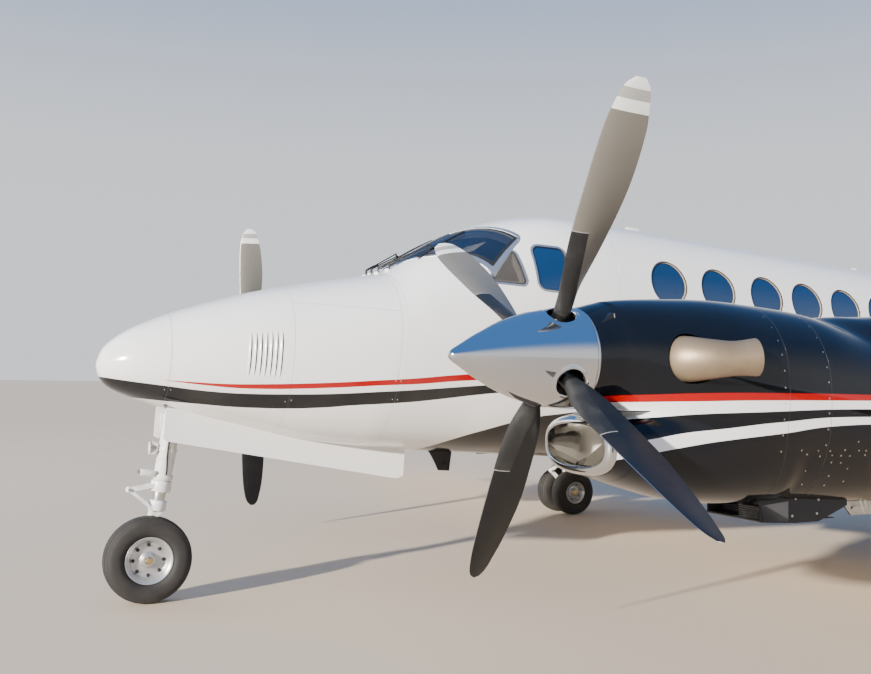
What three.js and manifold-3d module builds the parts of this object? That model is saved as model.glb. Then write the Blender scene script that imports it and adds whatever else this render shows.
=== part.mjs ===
// Twin turboprop business plane, parked on its gear.
// Millimetres. +X forward, +Y left, +Z up. Until the last step x = 0 is the propeller plane and z = 0 the ground.
import * as THREE from "three";
import { mergeVertices } from "three/addons/utils/BufferGeometryUtils.js";
import Module from "manifold-3d";

const wasm = await Module();
wasm.setup();

// Driving dimensions
const GROUND_ATTITUDE = THREE.MathUtils.degToRad(3.5); // the cabin sits nose up on its gear
const PIVOT_Z = 1000; // height on x = 0 that the attitude turns about
const GAP = 0.3; // between touching pieces
const FLAT = 0.1; // facets within this of one plane are joined
const RUN = 7; // clearance round moving surfaces
const WALL = 70; // cabin wall, skin to trim
const ENGINE_Y = 2615; // thrust lines, each side
const THRUST_Z = 1586;
const PROP_RADIUS = 1335;
const NOSE_WHEEL = { x: 1353, radius: 279, width: 165 };
const MAIN_WHEEL = { x: -3627, radius: 241.5, width: 165, spacing: 290 };

// Paint and metal
const MATERIALS = {
  white: { color: 0xf2f1ee, roughness: 0.3, metalness: 0 },
  black: { color: 0x0b0e14, roughness: 0.15, metalness: 0 },
  chrome: { color: 0xd8dadd, roughness: 0.06, metalness: 1 },
  glass: { color: 0x1c3c5e, roughness: 0.05, metalness: 0 },
  blade: { color: 0x3a3a3b, roughness: 0.5, metalness: 0 },
  exhaust: { color: 0xb9a48c, roughness: 0.4, metalness: 1 },
  steel: { color: 0x8d8f92, roughness: 0.4, metalness: 1 },
  tyre: { color: 0x2b2622, roughness: 0.9, metalness: 0 },
  trim: { color: 0x37393d, roughness: 0.7, metalness: 0 },
  leather: { color: 0xb7a68c, roughness: 0.6, metalness: 0 },
};
for (const [name, values] of Object.entries(MATERIALS)) {
  MATERIALS[name] = new THREE.MeshStandardMaterial({ name, ...values });
}

// Geometry helpers

function solid(geometry) {
  const bare = geometry.index ? geometry.toNonIndexed() : geometry.clone();
  bare.deleteAttribute("normal");
  bare.deleteAttribute("uv");
  const merged = mergeVertices(bare, 1e-3);
  const mesh = new wasm.Mesh({
    numProp: 3,
    vertProperties: new Float32Array(merged.attributes.position.array),
    triVerts: new Uint32Array(merged.index.array),
  });
  return new wasm.Manifold(mesh);
}

function geometryOf(manifold) {
  const mesh = manifold.simplify(FLAT).getMesh();
  const geometry = new THREE.BufferGeometry();
  geometry.setAttribute("position", new THREE.BufferAttribute(new Float32Array(mesh.vertProperties), 3));
  geometry.setIndex(new THREE.BufferAttribute(new Uint32Array(mesh.triVerts), 1));
  geometry.computeVertexNormals();
  return geometry;
}

// The largest single body of a cut, so that no sliver is left beside it.
function mainBody(manifold) {
  return manifold.decompose().sort((a, b) => b.volume() - a.volume())[0];
}

// Closed skin through rings of equal point counts, with a fan over each end.
function loftGeometry(rings) {
  const count = rings[0].length;
  const points = rings.flat();
  const index = [];
  for (let r = 0; r + 1 < rings.length; r++) {
    for (let i = 0; i < count; i++) {
      const a = r * count + i;
      const b = r * count + ((i + 1) % count);
      index.push(a, b, a + count, b, b + count, a + count);
    }
  }
  for (const [ring, base] of [[rings[0], 0], [rings.at(-1), (rings.length - 1) * count]]) {
    const centre = ring.reduce((sum, p) => sum.add(p), new THREE.Vector3()).divideScalar(count);
    const hub = points.push(centre) - 1;
    for (let i = 0; i < count; i++) {
      const a = base + i;
      const b = base + ((i + 1) % count);
      index.push(...(base === 0 ? [hub, b, a] : [hub, a, b]));
    }
  }
  const geometry = new THREE.BufferGeometry().setFromPoints(points);
  geometry.setIndex(index);
  return facingOut(geometry);
}

function facingOut(geometry) {
  const position = geometry.attributes.position;
  const index = geometry.index.array;
  const [a, b, c] = [new THREE.Vector3(), new THREE.Vector3(), new THREE.Vector3()];
  let volume = 0;
  for (let i = 0; i < index.length; i += 3) {
    a.fromBufferAttribute(position, index[i]);
    b.fromBufferAttribute(position, index[i + 1]);
    c.fromBufferAttribute(position, index[i + 2]);
    volume += a.dot(b.cross(c));
  }
  if (volume < 0) {
    for (let i = 0; i < index.length; i += 3) {
      [index[i + 1], index[i + 2]] = [index[i + 2], index[i + 1]];
    }
  }
  return geometry;
}

const loft = (rings) => solid(loftGeometry(rings));

// Box between two corners
function box(low, high) {
  const geometry = new THREE.BoxGeometry(high[0] - low[0], high[1] - low[1], high[2] - low[2]);
  geometry.translate((low[0] + high[0]) / 2, (low[1] + high[1]) / 2, (low[2] + high[2]) / 2);
  return solid(geometry);
}

// Round bar between two points, with its own radius at each end
function bar(from, to, radius, endRadius = radius, sides = 10) {
  const start = new THREE.Vector3(...from);
  const along = new THREE.Vector3(...to).sub(start);
  const geometry = new THREE.CylinderGeometry(endRadius, radius, along.length(), sides);
  geometry.translate(0, along.length() / 2, 0);
  const turn = new THREE.Quaternion().setFromUnitVectors(new THREE.Vector3(0, 1, 0), along.normalize());
  geometry.applyQuaternion(turn);
  geometry.translate(...from);
  return solid(geometry);
}

// Flat bar of a rectangular section, its width across the plane of travel along Y
function plank(from, to, width, thickness) {
  const start = new THREE.Vector3(...from);
  const along = new THREE.Vector3(...to).sub(start);
  const geometry = new THREE.BoxGeometry(along.length(), width, thickness);
  geometry.translate(along.length() / 2, 0, 0);
  geometry.rotateY(-Math.atan2(along.z, along.x));
  geometry.translate(...from);
  return solid(geometry);
}

// Profile of [x, radius] pairs turned about a line along X through (0, y, z)
function turnedAlongX(profile, y, z, sides = 20) {
  const geometry = new THREE.LatheGeometry(profile.map(([x, r]) => new THREE.Vector2(r, x)), sides);
  geometry.rotateZ(-Math.PI / 2);
  geometry.translate(0, y, z);
  return solid(facingOutOf(geometry));
}

// Profile of [y, radius] pairs turned about a line along Y through (x, 0, z)
function turnedAlongY(profile, x, z, sides = 28) {
  const geometry = new THREE.LatheGeometry(profile.map(([y, r]) => new THREE.Vector2(r, y)), sides, Math.PI / sides);
  geometry.translate(x, 0, z);
  return solid(facingOutOf(geometry));
}

function facingOutOf(geometry) {
  const bare = geometry.clone();
  bare.deleteAttribute("normal");
  bare.deleteAttribute("uv");
  return facingOut(mergeVertices(bare, 1e-3));
}

// Outline of [x, z] points pushed along Y from one side to the other
function pushedAlongY(outline, fromY, toY) {
  const shape = new THREE.Shape(outline.map(([x, z]) => new THREE.Vector2(x, z)));
  const geometry = new THREE.ExtrudeGeometry(shape, { depth: toY - fromY, bevelEnabled: false });
  geometry.rotateX(Math.PI / 2);
  geometry.translate(0, toY, 0);
  return solid(geometry);
}

// Outline of [x, y] points pushed up from one height to another
function pushedUp(outline, fromZ, toZ) {
  const shape = new THREE.Shape(outline.map(([x, y]) => new THREE.Vector2(x, y)));
  const geometry = new THREE.ExtrudeGeometry(shape, { depth: toZ - fromZ, bevelEnabled: false });
  geometry.translate(0, 0, fromZ);
  return solid(geometry);
}

// Convex polygon with its corners rounded by arcs, grown outwards by an offset
function rounded(corners, radius, grow = 0, steps = 4) {
  const size = radius + grow;
  return corners.flatMap((corner, i) => {
    const here = new THREE.Vector2(...corner);
    const before = new THREE.Vector2(...corners.at(i - 1)).sub(here).normalize();
    const after = new THREE.Vector2(...corners[(i + 1) % corners.length]).sub(here).normalize();
    const half = Math.acos(before.dot(after)) / 2;
    const outward = before.clone().add(after).normalize().negate();
    const centre = here.clone().addScaledVector(outward, -radius / Math.sin(half));
    const sweep = (Math.PI / 2 - half) * Math.sign(outward.cross(before));
    return Array.from({ length: steps + 1 }, (_, k) => {
      const arm = outward.clone().rotateAround(new THREE.Vector2(), sweep * (1 - (2 * k) / steps));
      return [centre.x + size * arm.x, centre.y + size * arm.y];
    });
  });
}

function circle(u, v, radius, sides = 16) {
  return Array.from({ length: sides }, (_, i) => {
    const angle = (2 * Math.PI * i) / sides;
    return [u + radius * Math.cos(angle), v + radius * Math.sin(angle)];
  });
}

function mirrored(manifold) {
  return manifold.mirror([0, 1, 0]);
}

// Value of every column of a table at x, by a smooth curve through its rows
function columnsAt(table, x) {
  const rows = table[0][0] > table.at(-1)[0] ? [...table].reverse() : table;
  let i = rows.findIndex((row) => row[0] >= x);
  i = Math.max(1, i === -1 ? rows.length - 1 : i);
  const [before, low, high, after] = [rows[Math.max(0, i - 2)], rows[i - 1], rows[i], rows[Math.min(rows.length - 1, i + 1)]];
  const span = high[0] - low[0];
  const t = (x - low[0]) / span;
  return low.slice(1).map((_, k) => {
    const c = k + 1;
    const slopeLow = low === before ? (high[c] - low[c]) / span : (high[c] - before[c]) / (high[0] - before[0]);
    const slopeHigh = high === after ? (high[c] - low[c]) / span : (after[c] - low[c]) / (after[0] - low[0]);
    const h00 = (1 + 2 * t) * (1 - t) ** 2;
    const h10 = t * (1 - t) ** 2;
    const h01 = t * t * (3 - 2 * t);
    const h11 = t * t * (t - 1);
    return h00 * low[c] + h10 * span * slopeLow + h01 * high[c] + h11 * span * slopeHigh;
  });
}

// Ring of a squared oval in the plane x, with separate crown and belly
function ovalRing(x, centreY, { top, bottom, half, middle, squareUp, squareDown }, count) {
  return Array.from({ length: count }, (_, i) => {
    const angle = (2 * Math.PI * (i + 0.5)) / count;
    const [c, s] = [Math.cos(angle), Math.sin(angle)];
    const power = 2 / (s > 0 ? squareUp : squareDown);
    const y = half * Math.sign(c) * Math.abs(c) ** power;
    const z = (s > 0 ? top - middle : middle - bottom) * Math.sign(s) * Math.abs(s) ** power;
    return new THREE.Vector3(x, centreY + y, middle + z);
  });
}

// Fuselage: x, crown, belly, half width, widest height, squareness above and below
const FUSELAGE = [
  [1736, 1452, 1412, 22, 1432, 2.0, 2.0],
  [1712, 1527, 1345, 98, 1435, 2.0, 2.0],
  [1650, 1600, 1288, 162, 1445, 2.0, 2.0],
  [1550, 1678, 1247, 232, 1455, 2.05, 2.05],
  [1337, 1790, 1184, 330, 1480, 2.1, 2.1],
  [1116, 1882, 1126, 408, 1505, 2.15, 2.2],
  [785, 2001, 1074, 502, 1545, 2.2, 2.3],
  [435, 2098, 1016, 580, 1600, 2.25, 2.4],
  [50, 2195, 988, 650, 1670, 2.3, 2.5],
  [-120, 2246, 985, 675, 1710, 2.3, 2.5],
  [-311, 2380, 985, 697, 1750, 2.3, 2.5],
  [-625, 2580, 985, 728, 1800, 2.3, 2.5],
  [-873, 2695, 985, 746, 1830, 2.4, 2.6],
  [-1132, 2780, 985, 758, 1855, 2.6, 2.6],
  [-1400, 2832, 985, 768, 1870, 2.7, 2.6],
  [-1750, 2842, 985, 775, 1880, 2.8, 2.6],
  [-6900, 2842, 985, 775, 1880, 2.8, 2.6],
  [-7400, 2840, 1040, 758, 1900, 2.7, 2.5],
  [-8500, 2826, 1330, 640, 1985, 2.4, 2.3],
  [-9500, 2800, 1650, 490, 2130, 2.3, 2.2],
  [-10500, 2762, 1940, 335, 2290, 2.2, 2.1],
  [-11400, 2705, 2170, 190, 2410, 2.1, 2.0],
  [-11950, 2640, 2350, 75, 2480, 2.0, 2.0],
];
const FUSELAGE_SIDES = 24;

function fuselageRing(x, inset = 0) {
  const [top, bottom, half, middle, squareUp, squareDown] = columnsAt(FUSELAGE, x);
  const section = { top: top - inset, bottom: bottom + inset, half: half - inset, middle, squareUp, squareDown };
  return ovalRing(x, 0, section, FUSELAGE_SIDES);
}

function fuselage(stations, inset = 0) {
  return loft(stations.map((x) => fuselageRing(x, inset)));
}

// Where the skin panels meet
const RADOME_JOINT = 1337;
const FIREWALL = -120;
const COCKPIT_AFT = -1750;
const BULKHEAD = -7400;
const TAIL_END = -11950;
const NOSE_RINGS = [1736, 1728, 1712, 1650, 1550, RADOME_JOINT];
const FRONT_RINGS = [RADOME_JOINT, 1116, 785, 435, 50, FIREWALL];
const COCKPIT_RINGS = [FIREWALL, -311, -460, -625, -873, -1132, -1400, COCKPIT_AFT];
const CABIN_RINGS = [COCKPIT_AFT, -6900, BULKHEAD];
const TAIL_RINGS = [BULKHEAD, -7900, -8500, -9500, -10500, -11400, TAIL_END];
const CAVITY_FRONT = -190;
const CAVITY_AFT = -6850;
const CAVITY_RINGS = [CAVITY_FRONT, ...COCKPIT_RINGS.slice(1), CAVITY_AFT];

// Stations from one joint to the next, each end held back by half a gap
function stationsBetween(stations, from, to) {
  return [from - GAP / 2, ...stations.filter((x) => x < from && x > to), to + GAP / 2];
}

// Openings in the skin: the windshield in top view [x, y], the rest in side view [x, z]
const WINDSHIELD = { outline: [[-150, 32], [-400, 345], [-745, 640], [-1000, 535], [-690, 32]], radius: 22 };
const STORM_WINDOW = { outline: [[-918, 2492], [-992, 2200], [-690, 2200]], radius: 35 };
const SIDE_WINDOW = { outline: [[-1050, 2512], [-1312, 2512], [-1312, 2185], [-1078, 2185]], radius: 60 };
const WINDOW_LEAN = THREE.MathUtils.degToRad(15.8); // the cabin side leans in at window height
const PANE = { recess: 16, board: 94 };
const CABIN_WINDOW = { radius: 173, z: 2362, xs: [-2220, -2706, -3211, -3654, -4101, -4549, -4997] };
const DOOR = { front: -5450, aft: -6130, sill: 1320, head: 2525, radius: 110, run: 8 };
const DOOR_HINGE = { y: 665, z: 1316.3, radius: 3.9 };
const TREAD = { count: 4, first: 150, step: 255, depth: 230, thickness: 18, angle: THREE.MathUtils.degToRad(32) };
const FLOOR = { low: 1296, high: 1309 };

const skinOuter = fuselage([...FRONT_RINGS.slice(0, -1), ...COCKPIT_RINGS.slice(0, -1), ...CABIN_RINGS]);
const cabinSpace = fuselage(CAVITY_RINGS, WALL);
const cabinSkin = skinOuter.subtract(cabinSpace);
const liningSpace = fuselage(CAVITY_RINGS, WALL + GAP);

// Glass from just under the skin to a given depth
function glassLayer(depth) {
  const stations = [...FRONT_RINGS.slice(0, -1), ...COCKPIT_RINGS.slice(0, -1), -6000];
  return fuselage(stations, 3).subtract(fuselage(stations, depth));
}

const windshieldCut = (grow) => pushedUp(rounded(WINDSHIELD.outline, WINDSHIELD.radius, grow), 2150, 3000);
const sideCut = (window, grow) => pushedAlongY(rounded(window.outline, window.radius, grow), 300, 900);
const portCut = (x, grow) => pushedAlongY(circle(x, CABIN_WINDOW.z, CABIN_WINDOW.radius + grow, 12), 400, 900);

function doorCut(grow) {
  const corners = [[DOOR.front, DOOR.sill], [DOOR.front, DOOR.head], [DOOR.aft, DOOR.head], [DOOR.aft, DOOR.sill]];
  return pushedAlongY(rounded(corners, DOOR.radius, grow), 300, 900);
}

// Relief outside the hinge, where the sill edge of the door swings down
const sillRelief = box([DOOR.aft + 90, DOOR_HINGE.y - 0.6, DOOR.sill - 18], [DOOR.front - 90, 900, DOOR.sill]);

// Aerofoil sections: the chord runs back along -X from the leading edge
const FOIL_STATIONS = [0, 0.012, 0.05, 0.12, 0.25, 0.4, 0.6, 0.8, 1];
const TRAILING_EDGE = 0.012; // half thickness left at the trailing edge, as a share of the foil's own

function foilHalf(t, thickness) {
  const body = 0.2969 * Math.sqrt(t) - 0.126 * t - 0.3516 * t * t + 0.2843 * t ** 3 - 0.1015 * t ** 4;
  return thickness * (5 * body + TRAILING_EDGE * t);
}

const foilLift = (t, camber) => 4 * camber * t * (1 - t);

// Loop of [back, up] pairs for a unit chord
function foilLoop(thickness, camber) {
  const upper = FOIL_STATIONS.map((t) => [t, foilLift(t, camber) + foilHalf(t, thickness)]);
  const lower = FOIL_STATIONS.slice(1).reverse().map((t) => [t, foilLift(t, camber) - foilHalf(t, thickness)]);
  return [...upper, ...lower];
}

// Section row: leading edge x, y, z, chord, thickness ratio, camber, incidence, lean of the section about X
function foilRing([x, y, z, chord, thickness, camber, incidence, lean]) {
  return foilLoop(thickness, camber).map(([back, up]) => {
    const alongBack = chord * (back * Math.cos(incidence) + up * Math.sin(incidence));
    const alongUp = chord * (up * Math.cos(incidence) - back * Math.sin(incidence));
    return new THREE.Vector3(x - alongBack, y - alongUp * Math.sin(lean), z + alongUp * Math.cos(lean));
  });
}

const foilLoft = (rows) => loft(rows.map(foilRing));

// The same section a hair larger all round, to cut its neighbours with
function swollen([x, y, z, chord, thickness, ...rest]) {
  const more = 5 * GAP;
  const wider = chord + 2 * more;
  return [x + more, y, z, wider, (thickness * chord + 4 * GAP) / wider, ...rest];
}

// Wing, left half
const DIHEDRAL = THREE.MathUtils.degToRad(6);
const INCIDENCE = THREE.MathUtils.degToRad(2);
const WING = { rootY: 300, rootZ: 1105, jointY: 3100, tipY: 8560 };
const WING_ROOT = { x: -2600, chord: 2180, thickness: 0.17 };
const WING_TIP = { x: -3130, chord: 900, thickness: 0.12 };
const WING_CAMBER = 0.018;

function wingRow(y) {
  const t = Math.max(0, (Math.abs(y) - WING.jointY) / (WING.tipY - WING.jointY));
  const mix = (key) => WING_ROOT[key] + (WING_TIP[key] - WING_ROOT[key]) * t;
  const z = WING.rootZ + Math.max(0, Math.abs(y) - WING.rootY) * Math.tan(DIHEDRAL);
  return [mix("x"), y, z, mix("chord"), mix("thickness"), WING_CAMBER, INCIDENCE, 0];
}

const TIP_Z = wingRow(WING.tipY)[2];
const WINGLET_ROWS = [
  [-3160, 8630, TIP_Z + 14, 850, 0.115, 0.012, 0.03, 0.3],
  [-3270, 8712, TIP_Z + 70, 730, 0.1, 0.006, 0.01, 0.85],
  [-3400, 8760, TIP_Z + 170, 610, 0.09, 0, 0, 1.3],
  [-3720, 8814, TIP_Z + 610, 290, 0.08, 0, 0, 1.42],
];
const outerWing = foilLoft([...[WING.jointY, 4500, 6500, WING.tipY].map(wingRow), ...WINGLET_ROWS]);
const centreRows = [-WING.jointY + GAP, -WING.rootY, WING.rootY, WING.jointY - GAP].map(wingRow);
const centreWing = foilLoft(centreRows);
const centreWingCut = foilLoft(centreRows.map(swollen));

// Trailing surfaces: span, hinge line as a share of the chord, and its level from -1 (lower skin) to 1
const FLAP_INBOARD = { y0: 870, y1: 2120, back: 0.74, level: -1 };
const FLAP_OUTBOARD = { y0: 3133, y1: 5535, back: 0.74, level: -1 };
const AILERON = { y0: 5562, y1: 8370, back: 0.76, level: 0 };

function hingeAt(y, { back, level }) {
  const [x, , z, chord, thickness, camber] = wingRow(y);
  const half = foilHalf(back, thickness);
  const up = foilLift(back, camber) + level * half;
  return {
    x: x - chord * (back * Math.cos(INCIDENCE) + up * Math.sin(INCIDENCE)),
    z: z + chord * (up * Math.cos(INCIDENCE) - back * Math.sin(INCIDENCE)),
    nose: chord * half * (1 + Math.abs(level)),
  };
}

// All behind a hinge line between two spans, with a round nose about the line
function spaceBehind(ends, reach, ring) {
  const block = ends.map(({ at, x, z }) =>
    [[x, z - reach], [x, z + reach], [x - 2 * reach, z + reach], [x - 2 * reach, z - reach]].map(([u, v]) => ring(at, u, v)));
  const nose = ends.map(({ at, x, z, nose: radius }) => circle(x, z, radius, 14).map(([u, v]) => ring(at, u, v)));
  return loft(block).add(loft(nose));
}

// Pins that run from a moving surface's two ends, a to b, up to the fixed walls beyond them
const PIN = { radius: 8, inside: 40, slack: 0.4, rakedSlack: 2.3 };

function hingePins(a, b, slack = PIN.slack) {
  const along = new THREE.Vector3(...b).sub(new THREE.Vector3(...a)).normalize();
  const out = RUN - slack;
  const reach = (from, distance) => new THREE.Vector3(...from).addScaledVector(along, distance).toArray();
  return bar(reach(a, -out), reach(a, PIN.inside), PIN.radius).add(bar(reach(b, -PIN.inside), reach(b, out), PIN.radius));
}

function wingPins(surface) {
  const [a, b] = [surface.y0, surface.y1].map((y) => {
    const { x, z } = hingeAt(y, surface);
    return [x, y, z];
  });
  return hingePins(a, b);
}

// The ends stand square to the hinge line, so that the surface swings along them
function wingSurface(surface, grow) {
  const ends = [surface.y0 - grow, surface.y1 + grow].map((y) => {
    const { x, z, nose } = hingeAt(y, surface);
    return { at: y, x, z, nose: nose + grow };
  });
  const [a, b] = ends;
  const [slopeX, slopeZ] = [(b.x - a.x) / (b.at - a.at), (b.z - a.z) / (b.at - a.at)];
  return spaceBehind(ends, 700, (y, u, v) => {
    const root = y === a.at ? a : b;
    return new THREE.Vector3(u, y - (u - root.x) * slopeX - (v - root.z) * slopeZ, v);
  });
}

// Fin: leading edge x, height, chord, thickness ratio; and the fairing ahead of it
const FIN = [
  [-10120, 2640, 1650, 0.11],
  [-11040, 4905, 1090, 0.1],
];
const DORSAL = { front: -8500, aft: -10500, foot: 2640, top: 3240, half: 45 };
const RUDDER = { back: 0.62, low: 2900, high: 4775 };
const TAILPLANE = { z: 4930, halfSpan: 2805, rootX: -10820, rootChord: 1400, tipX: -11420, tipChord: 800, thickness: 0.1 };
const ELEVATOR = { x: -11870, y0: 125, y1: 2780 };
const BULLET = [[-10480, 0], [-10500, 22], [-10650, 68], [-10900, 92], [-11900, 88], [-12180, 45], [-12286, 14], [-12292, 0]];

function finRing([x, z, chord, thickness]) {
  return foilLoop(thickness, 0).map(([back, side]) => new THREE.Vector3(x - back * chord, side * chord, z));
}

function rudderHinge(z) {
  const [low, high] = FIN.map(([x, height, chord, thickness]) => ({
    height, x: x - chord * RUDDER.back, nose: chord * foilHalf(RUDDER.back, thickness),
  }));
  const t = (z - low.height) / (high.height - low.height);
  return { x: low.x + (high.x - low.x) * t, nose: low.nose + (high.nose - low.nose) * t };
}

function rudderSpace(grow) {
  const ends = [RUDDER.low - grow, RUDDER.high + grow].map((height) => {
    const { x, nose } = rudderHinge(height);
    return { at: height, x, z: 0, nose: nose + grow };
  });
  return spaceBehind(ends, 600, (height, u, v) => new THREE.Vector3(u, v, height));
}

function tailRow(y) {
  const t = Math.abs(y) / TAILPLANE.halfSpan;
  const x = TAILPLANE.rootX + (TAILPLANE.tipX - TAILPLANE.rootX) * t;
  const chord = TAILPLANE.rootChord + (TAILPLANE.tipChord - TAILPLANE.rootChord) * t;
  return [x, y, TAILPLANE.z, chord, TAILPLANE.thickness, 0, 0, 0];
}

function elevatorSpace(grow) {
  const ends = [ELEVATOR.y0 - grow, ELEVATOR.y1 + grow].map((y) => {
    const [x, , z, chord, thickness] = tailRow(y);
    const nose = chord * foilHalf((x - ELEVATOR.x) / chord, thickness);
    return { at: y, x: ELEVATOR.x, z, nose: nose + grow };
  });
  return spaceBehind(ends, 300, (y, u, v) => new THREE.Vector3(u, y, v));
}

// Nacelle sections, level with the ground: x, top, bottom, half width, widest height, squareness above and below
const NACELLE = [
  [-134, 1824, 1348, 238, 1586, 2.0, 2.0],
  [-296, 1864, 1346, 270, 1592, 2.0, 2.0],
  [-420, 1880, 1190, 306, 1570, 2.1, 2.1],
  [-613, 1892, 1000, 352, 1530, 2.2, 2.2],
  [-880, 1900, 900, 392, 1480, 2.3, 2.3],
  [-1200, 1886, 862, 412, 1430, 2.3, 2.3],
  [-1506, 1858, 850, 420, 1390, 2.3, 2.4],
  [-1800, 1800, 842, 425, 1350, 2.2, 2.5],
  [-2250, 1735, 838, 425, 1300, 2.2, 2.5],
  [-3300, 1600, 840, 415, 1230, 2.2, 2.5],
  [-4100, 1480, 850, 380, 1160, 2.2, 2.4],
  [-4700, 1340, 900, 300, 1120, 2.1, 2.2],
  [-5250, 1160, 1010, 110, 1080, 2.0, 2.0],
];
const NACELLE_RINGS = [-134, -296, -420, -613, -880, -1200, -1506, -1800, -2250, -3300, -4100, -4700, -5250];
const LOCKER = [
  [-1640, 1790, 1300, 150, 1450, 2.2, 2.2],
  [-1720, 1842, 1290, 230, 1450, 2.4, 2.4],
  [-2020, 1861, 1250, 325, 1450, 2.5, 2.4],
  [-2260, 1874, 1200, 350, 1450, 2.6, 2.4],
  [-2800, 1885, 1150, 360, 1430, 2.7, 2.4],
  [-3800, 1790, 1120, 335, 1380, 2.6, 2.4],
  [-4700, 1480, 1100, 220, 1250, 2.4, 2.2],
  [-5300, 1200, 1080, 70, 1120, 2.0, 2.0],
];
const CHIN = [
  [-160, 1300, 1048, 262, 1176, 2.6, 2.6],
  [-176, 1310, 1038, 274, 1178, 2.6, 2.6],
  [-250, 1328, 1018, 290, 1182, 2.5, 2.5],
  [-420, 1370, 965, 318, 1180, 2.5, 2.4],
  [-700, 1400, 895, 350, 1180, 2.4, 2.4],
  [-1000, 1420, 877, 368, 1180, 2.4, 2.4],
  [-1250, 1420, 876, 360, 1180, 2.4, 2.4],
];
const INTAKE = { lip: -204, throat: -560, wall: 24, mouth: 42 };
const NACELLE_SIDES = 16;
const COWL_WALL = 34;
const FIREWALL_X = -1900; // at the back of the engine
const OIL_COOLER = { front: -900, aft: -1770, low: 768, half: 190 };
const WHEEL_WELL = { front: -2290, aft: -3920, half: 262, roof: 1240 };

function nacelleLoft(table, stations, inset = 0) {
  return loft(stations.map((x) => {
    const [top, bottom, half, middle, squareUp, squareDown] = columnsAt(table, x);
    const section = { top: top - inset, bottom: bottom + inset, half: half - inset, middle, squareUp, squareDown };
    return ovalRing(x, ENGINE_Y, section, NACELLE_SIDES);
  }));
}

const wheelWell = box(
  [WHEEL_WELL.aft, ENGINE_Y - WHEEL_WELL.half, 500],
  [WHEEL_WELL.front, ENGINE_Y + WHEEL_WELL.half, WHEEL_WELL.roof],
);

// Between the ground's frame and the airframe's
const levelToAirframe = new THREE.Matrix4()
  .makeTranslation(0, 0, PIVOT_Z)
  .multiply(new THREE.Matrix4().makeRotationY(GROUND_ATTITUDE))
  .multiply(new THREE.Matrix4().makeTranslation(0, 0, -PIVOT_Z));
const airframeToLevel = levelToAirframe.clone().invert();
const toAirframe = (manifold) => manifold.transform(levelToAirframe.elements);
const toLevel = (manifold) => manifold.transform(airframeToLevel.elements);

// Tube through [x, y, z, half width, half height] rows, each ring square to the path
function tube(rows, sides = 10) {
  const centres = rows.map(([x, y, z]) => new THREE.Vector3(x, y, z));
  const up = new THREE.Vector3(0, 0, 1);
  return loft(rows.map(([, , , half, rise], i) => {
    const ahead = centres[Math.min(i + 1, rows.length - 1)].clone().sub(centres[Math.max(i - 1, 0)]).normalize();
    const across = new THREE.Vector3().crossVectors(up, ahead).normalize();
    const over = new THREE.Vector3().crossVectors(ahead, across);
    return circle(0, 0, 1, sides).map(([u, v]) =>
      centres[i].clone().addScaledVector(across, u * half).addScaledVector(over, v * rise));
  }));
}

// The assembly: the airframe group carries the attitude on the ground
const aircraft = new THREE.Group();
const airframe = new THREE.Group();
airframe.rotation.y = -GROUND_ATTITUDE;
airframe.position.set(PIVOT_Z * Math.sin(GROUND_ATTITUDE), 0, PIVOT_Z * (1 - Math.cos(GROUND_ATTITUDE)));
aircraft.add(airframe);

function place(group, name, manifold, material) {
  const mesh = new THREE.Mesh(geometryOf(manifold), MATERIALS[material]);
  mesh.name = name;
  group.add(mesh);
}

// Places a left-hand piece and its mirror image
function placePair(group, name, manifold, material) {
  place(group, `${name}_left`, manifold, material);
  place(group, `${name}_right`, mirrored(manifold), material);
}

// Nose-wheel well and its doors, in the airframe's frame
const NOSE_WELL = { front: 1322, aft: -392, half: 160, roof: 1450, aftRoof: 1190 };
const NOSE_DOOR = { front: 1309, aft: -379, inner: 171, outer: 184, drop: 205 };

const noseWell = box([FIREWALL + GAP, -NOSE_WELL.half, 600], [NOSE_WELL.front, NOSE_WELL.half, NOSE_WELL.roof])
  .add(box([NOSE_WELL.aft, -NOSE_WELL.half, 600], [300, NOSE_WELL.half, NOSE_WELL.aftRoof]));

function noseSection() {
  return mainBody(fuselage(stationsBetween(FRONT_RINGS, RADOME_JOINT, FIREWALL)).subtract(noseWell));
}

function cockpitSection() {
  const slice = box([COCKPIT_AFT + GAP / 2, -1000, 800], [FIREWALL - GAP / 2, 1000, 3000]);
  const pan = box([-700, -420, 1000], [FIREWALL - GAP / 2, 420, FLOOR.low - 6]).intersect(skinOuter);
  let skin = cabinSkin.intersect(slice).add(pan).subtract(noseWell);
  const cuts = [windshieldCut(0), sideCut(STORM_WINDOW, 0), sideCut(SIDE_WINDOW, 0)];
  for (const cut of cuts) {
    skin = skin.subtract(cut).subtract(mirrored(cut));
  }
  return mainBody(skin);
}

function cabinSection() {
  const slice = box([BULKHEAD + GAP / 2, -1000, 800], [COCKPIT_AFT - GAP / 2, 1000, 3000]);
  let skin = cabinSkin.intersect(slice);
  for (const x of CABIN_WINDOW.xs) {
    const cut = portCut(x, 0);
    skin = skin.subtract(cut).subtract(mirrored(cut));
  }
  return mainBody(skin.subtract(doorCut(DOOR.run)).subtract(sillRelief).subtract(centreWingCut));
}

// Tail cone, open at its front face, with its two strakes
function tailSection() {
  const shell = fuselage(stationsBetween(TAIL_RINGS, BULKHEAD, TAIL_END));
  const space = fuselage([BULKHEAD + 60, -7900, -8500, -9500, -10000], 60);
  const strake = loft([
    [[-9350, 0], [-10950, 0], [-10950, 14], [-9350, 14]].map(([x, y]) => new THREE.Vector3(x, 150 + y, 2080)),
    [[-10150, 0], [-10800, 0], [-10800, 10], [-10150, 10]].map(([x, y]) => new THREE.Vector3(x, 520 + y, 1420)),
  ]);
  return mainBody(shell.add(strake).add(mirrored(strake)).subtract(space));
}

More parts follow.
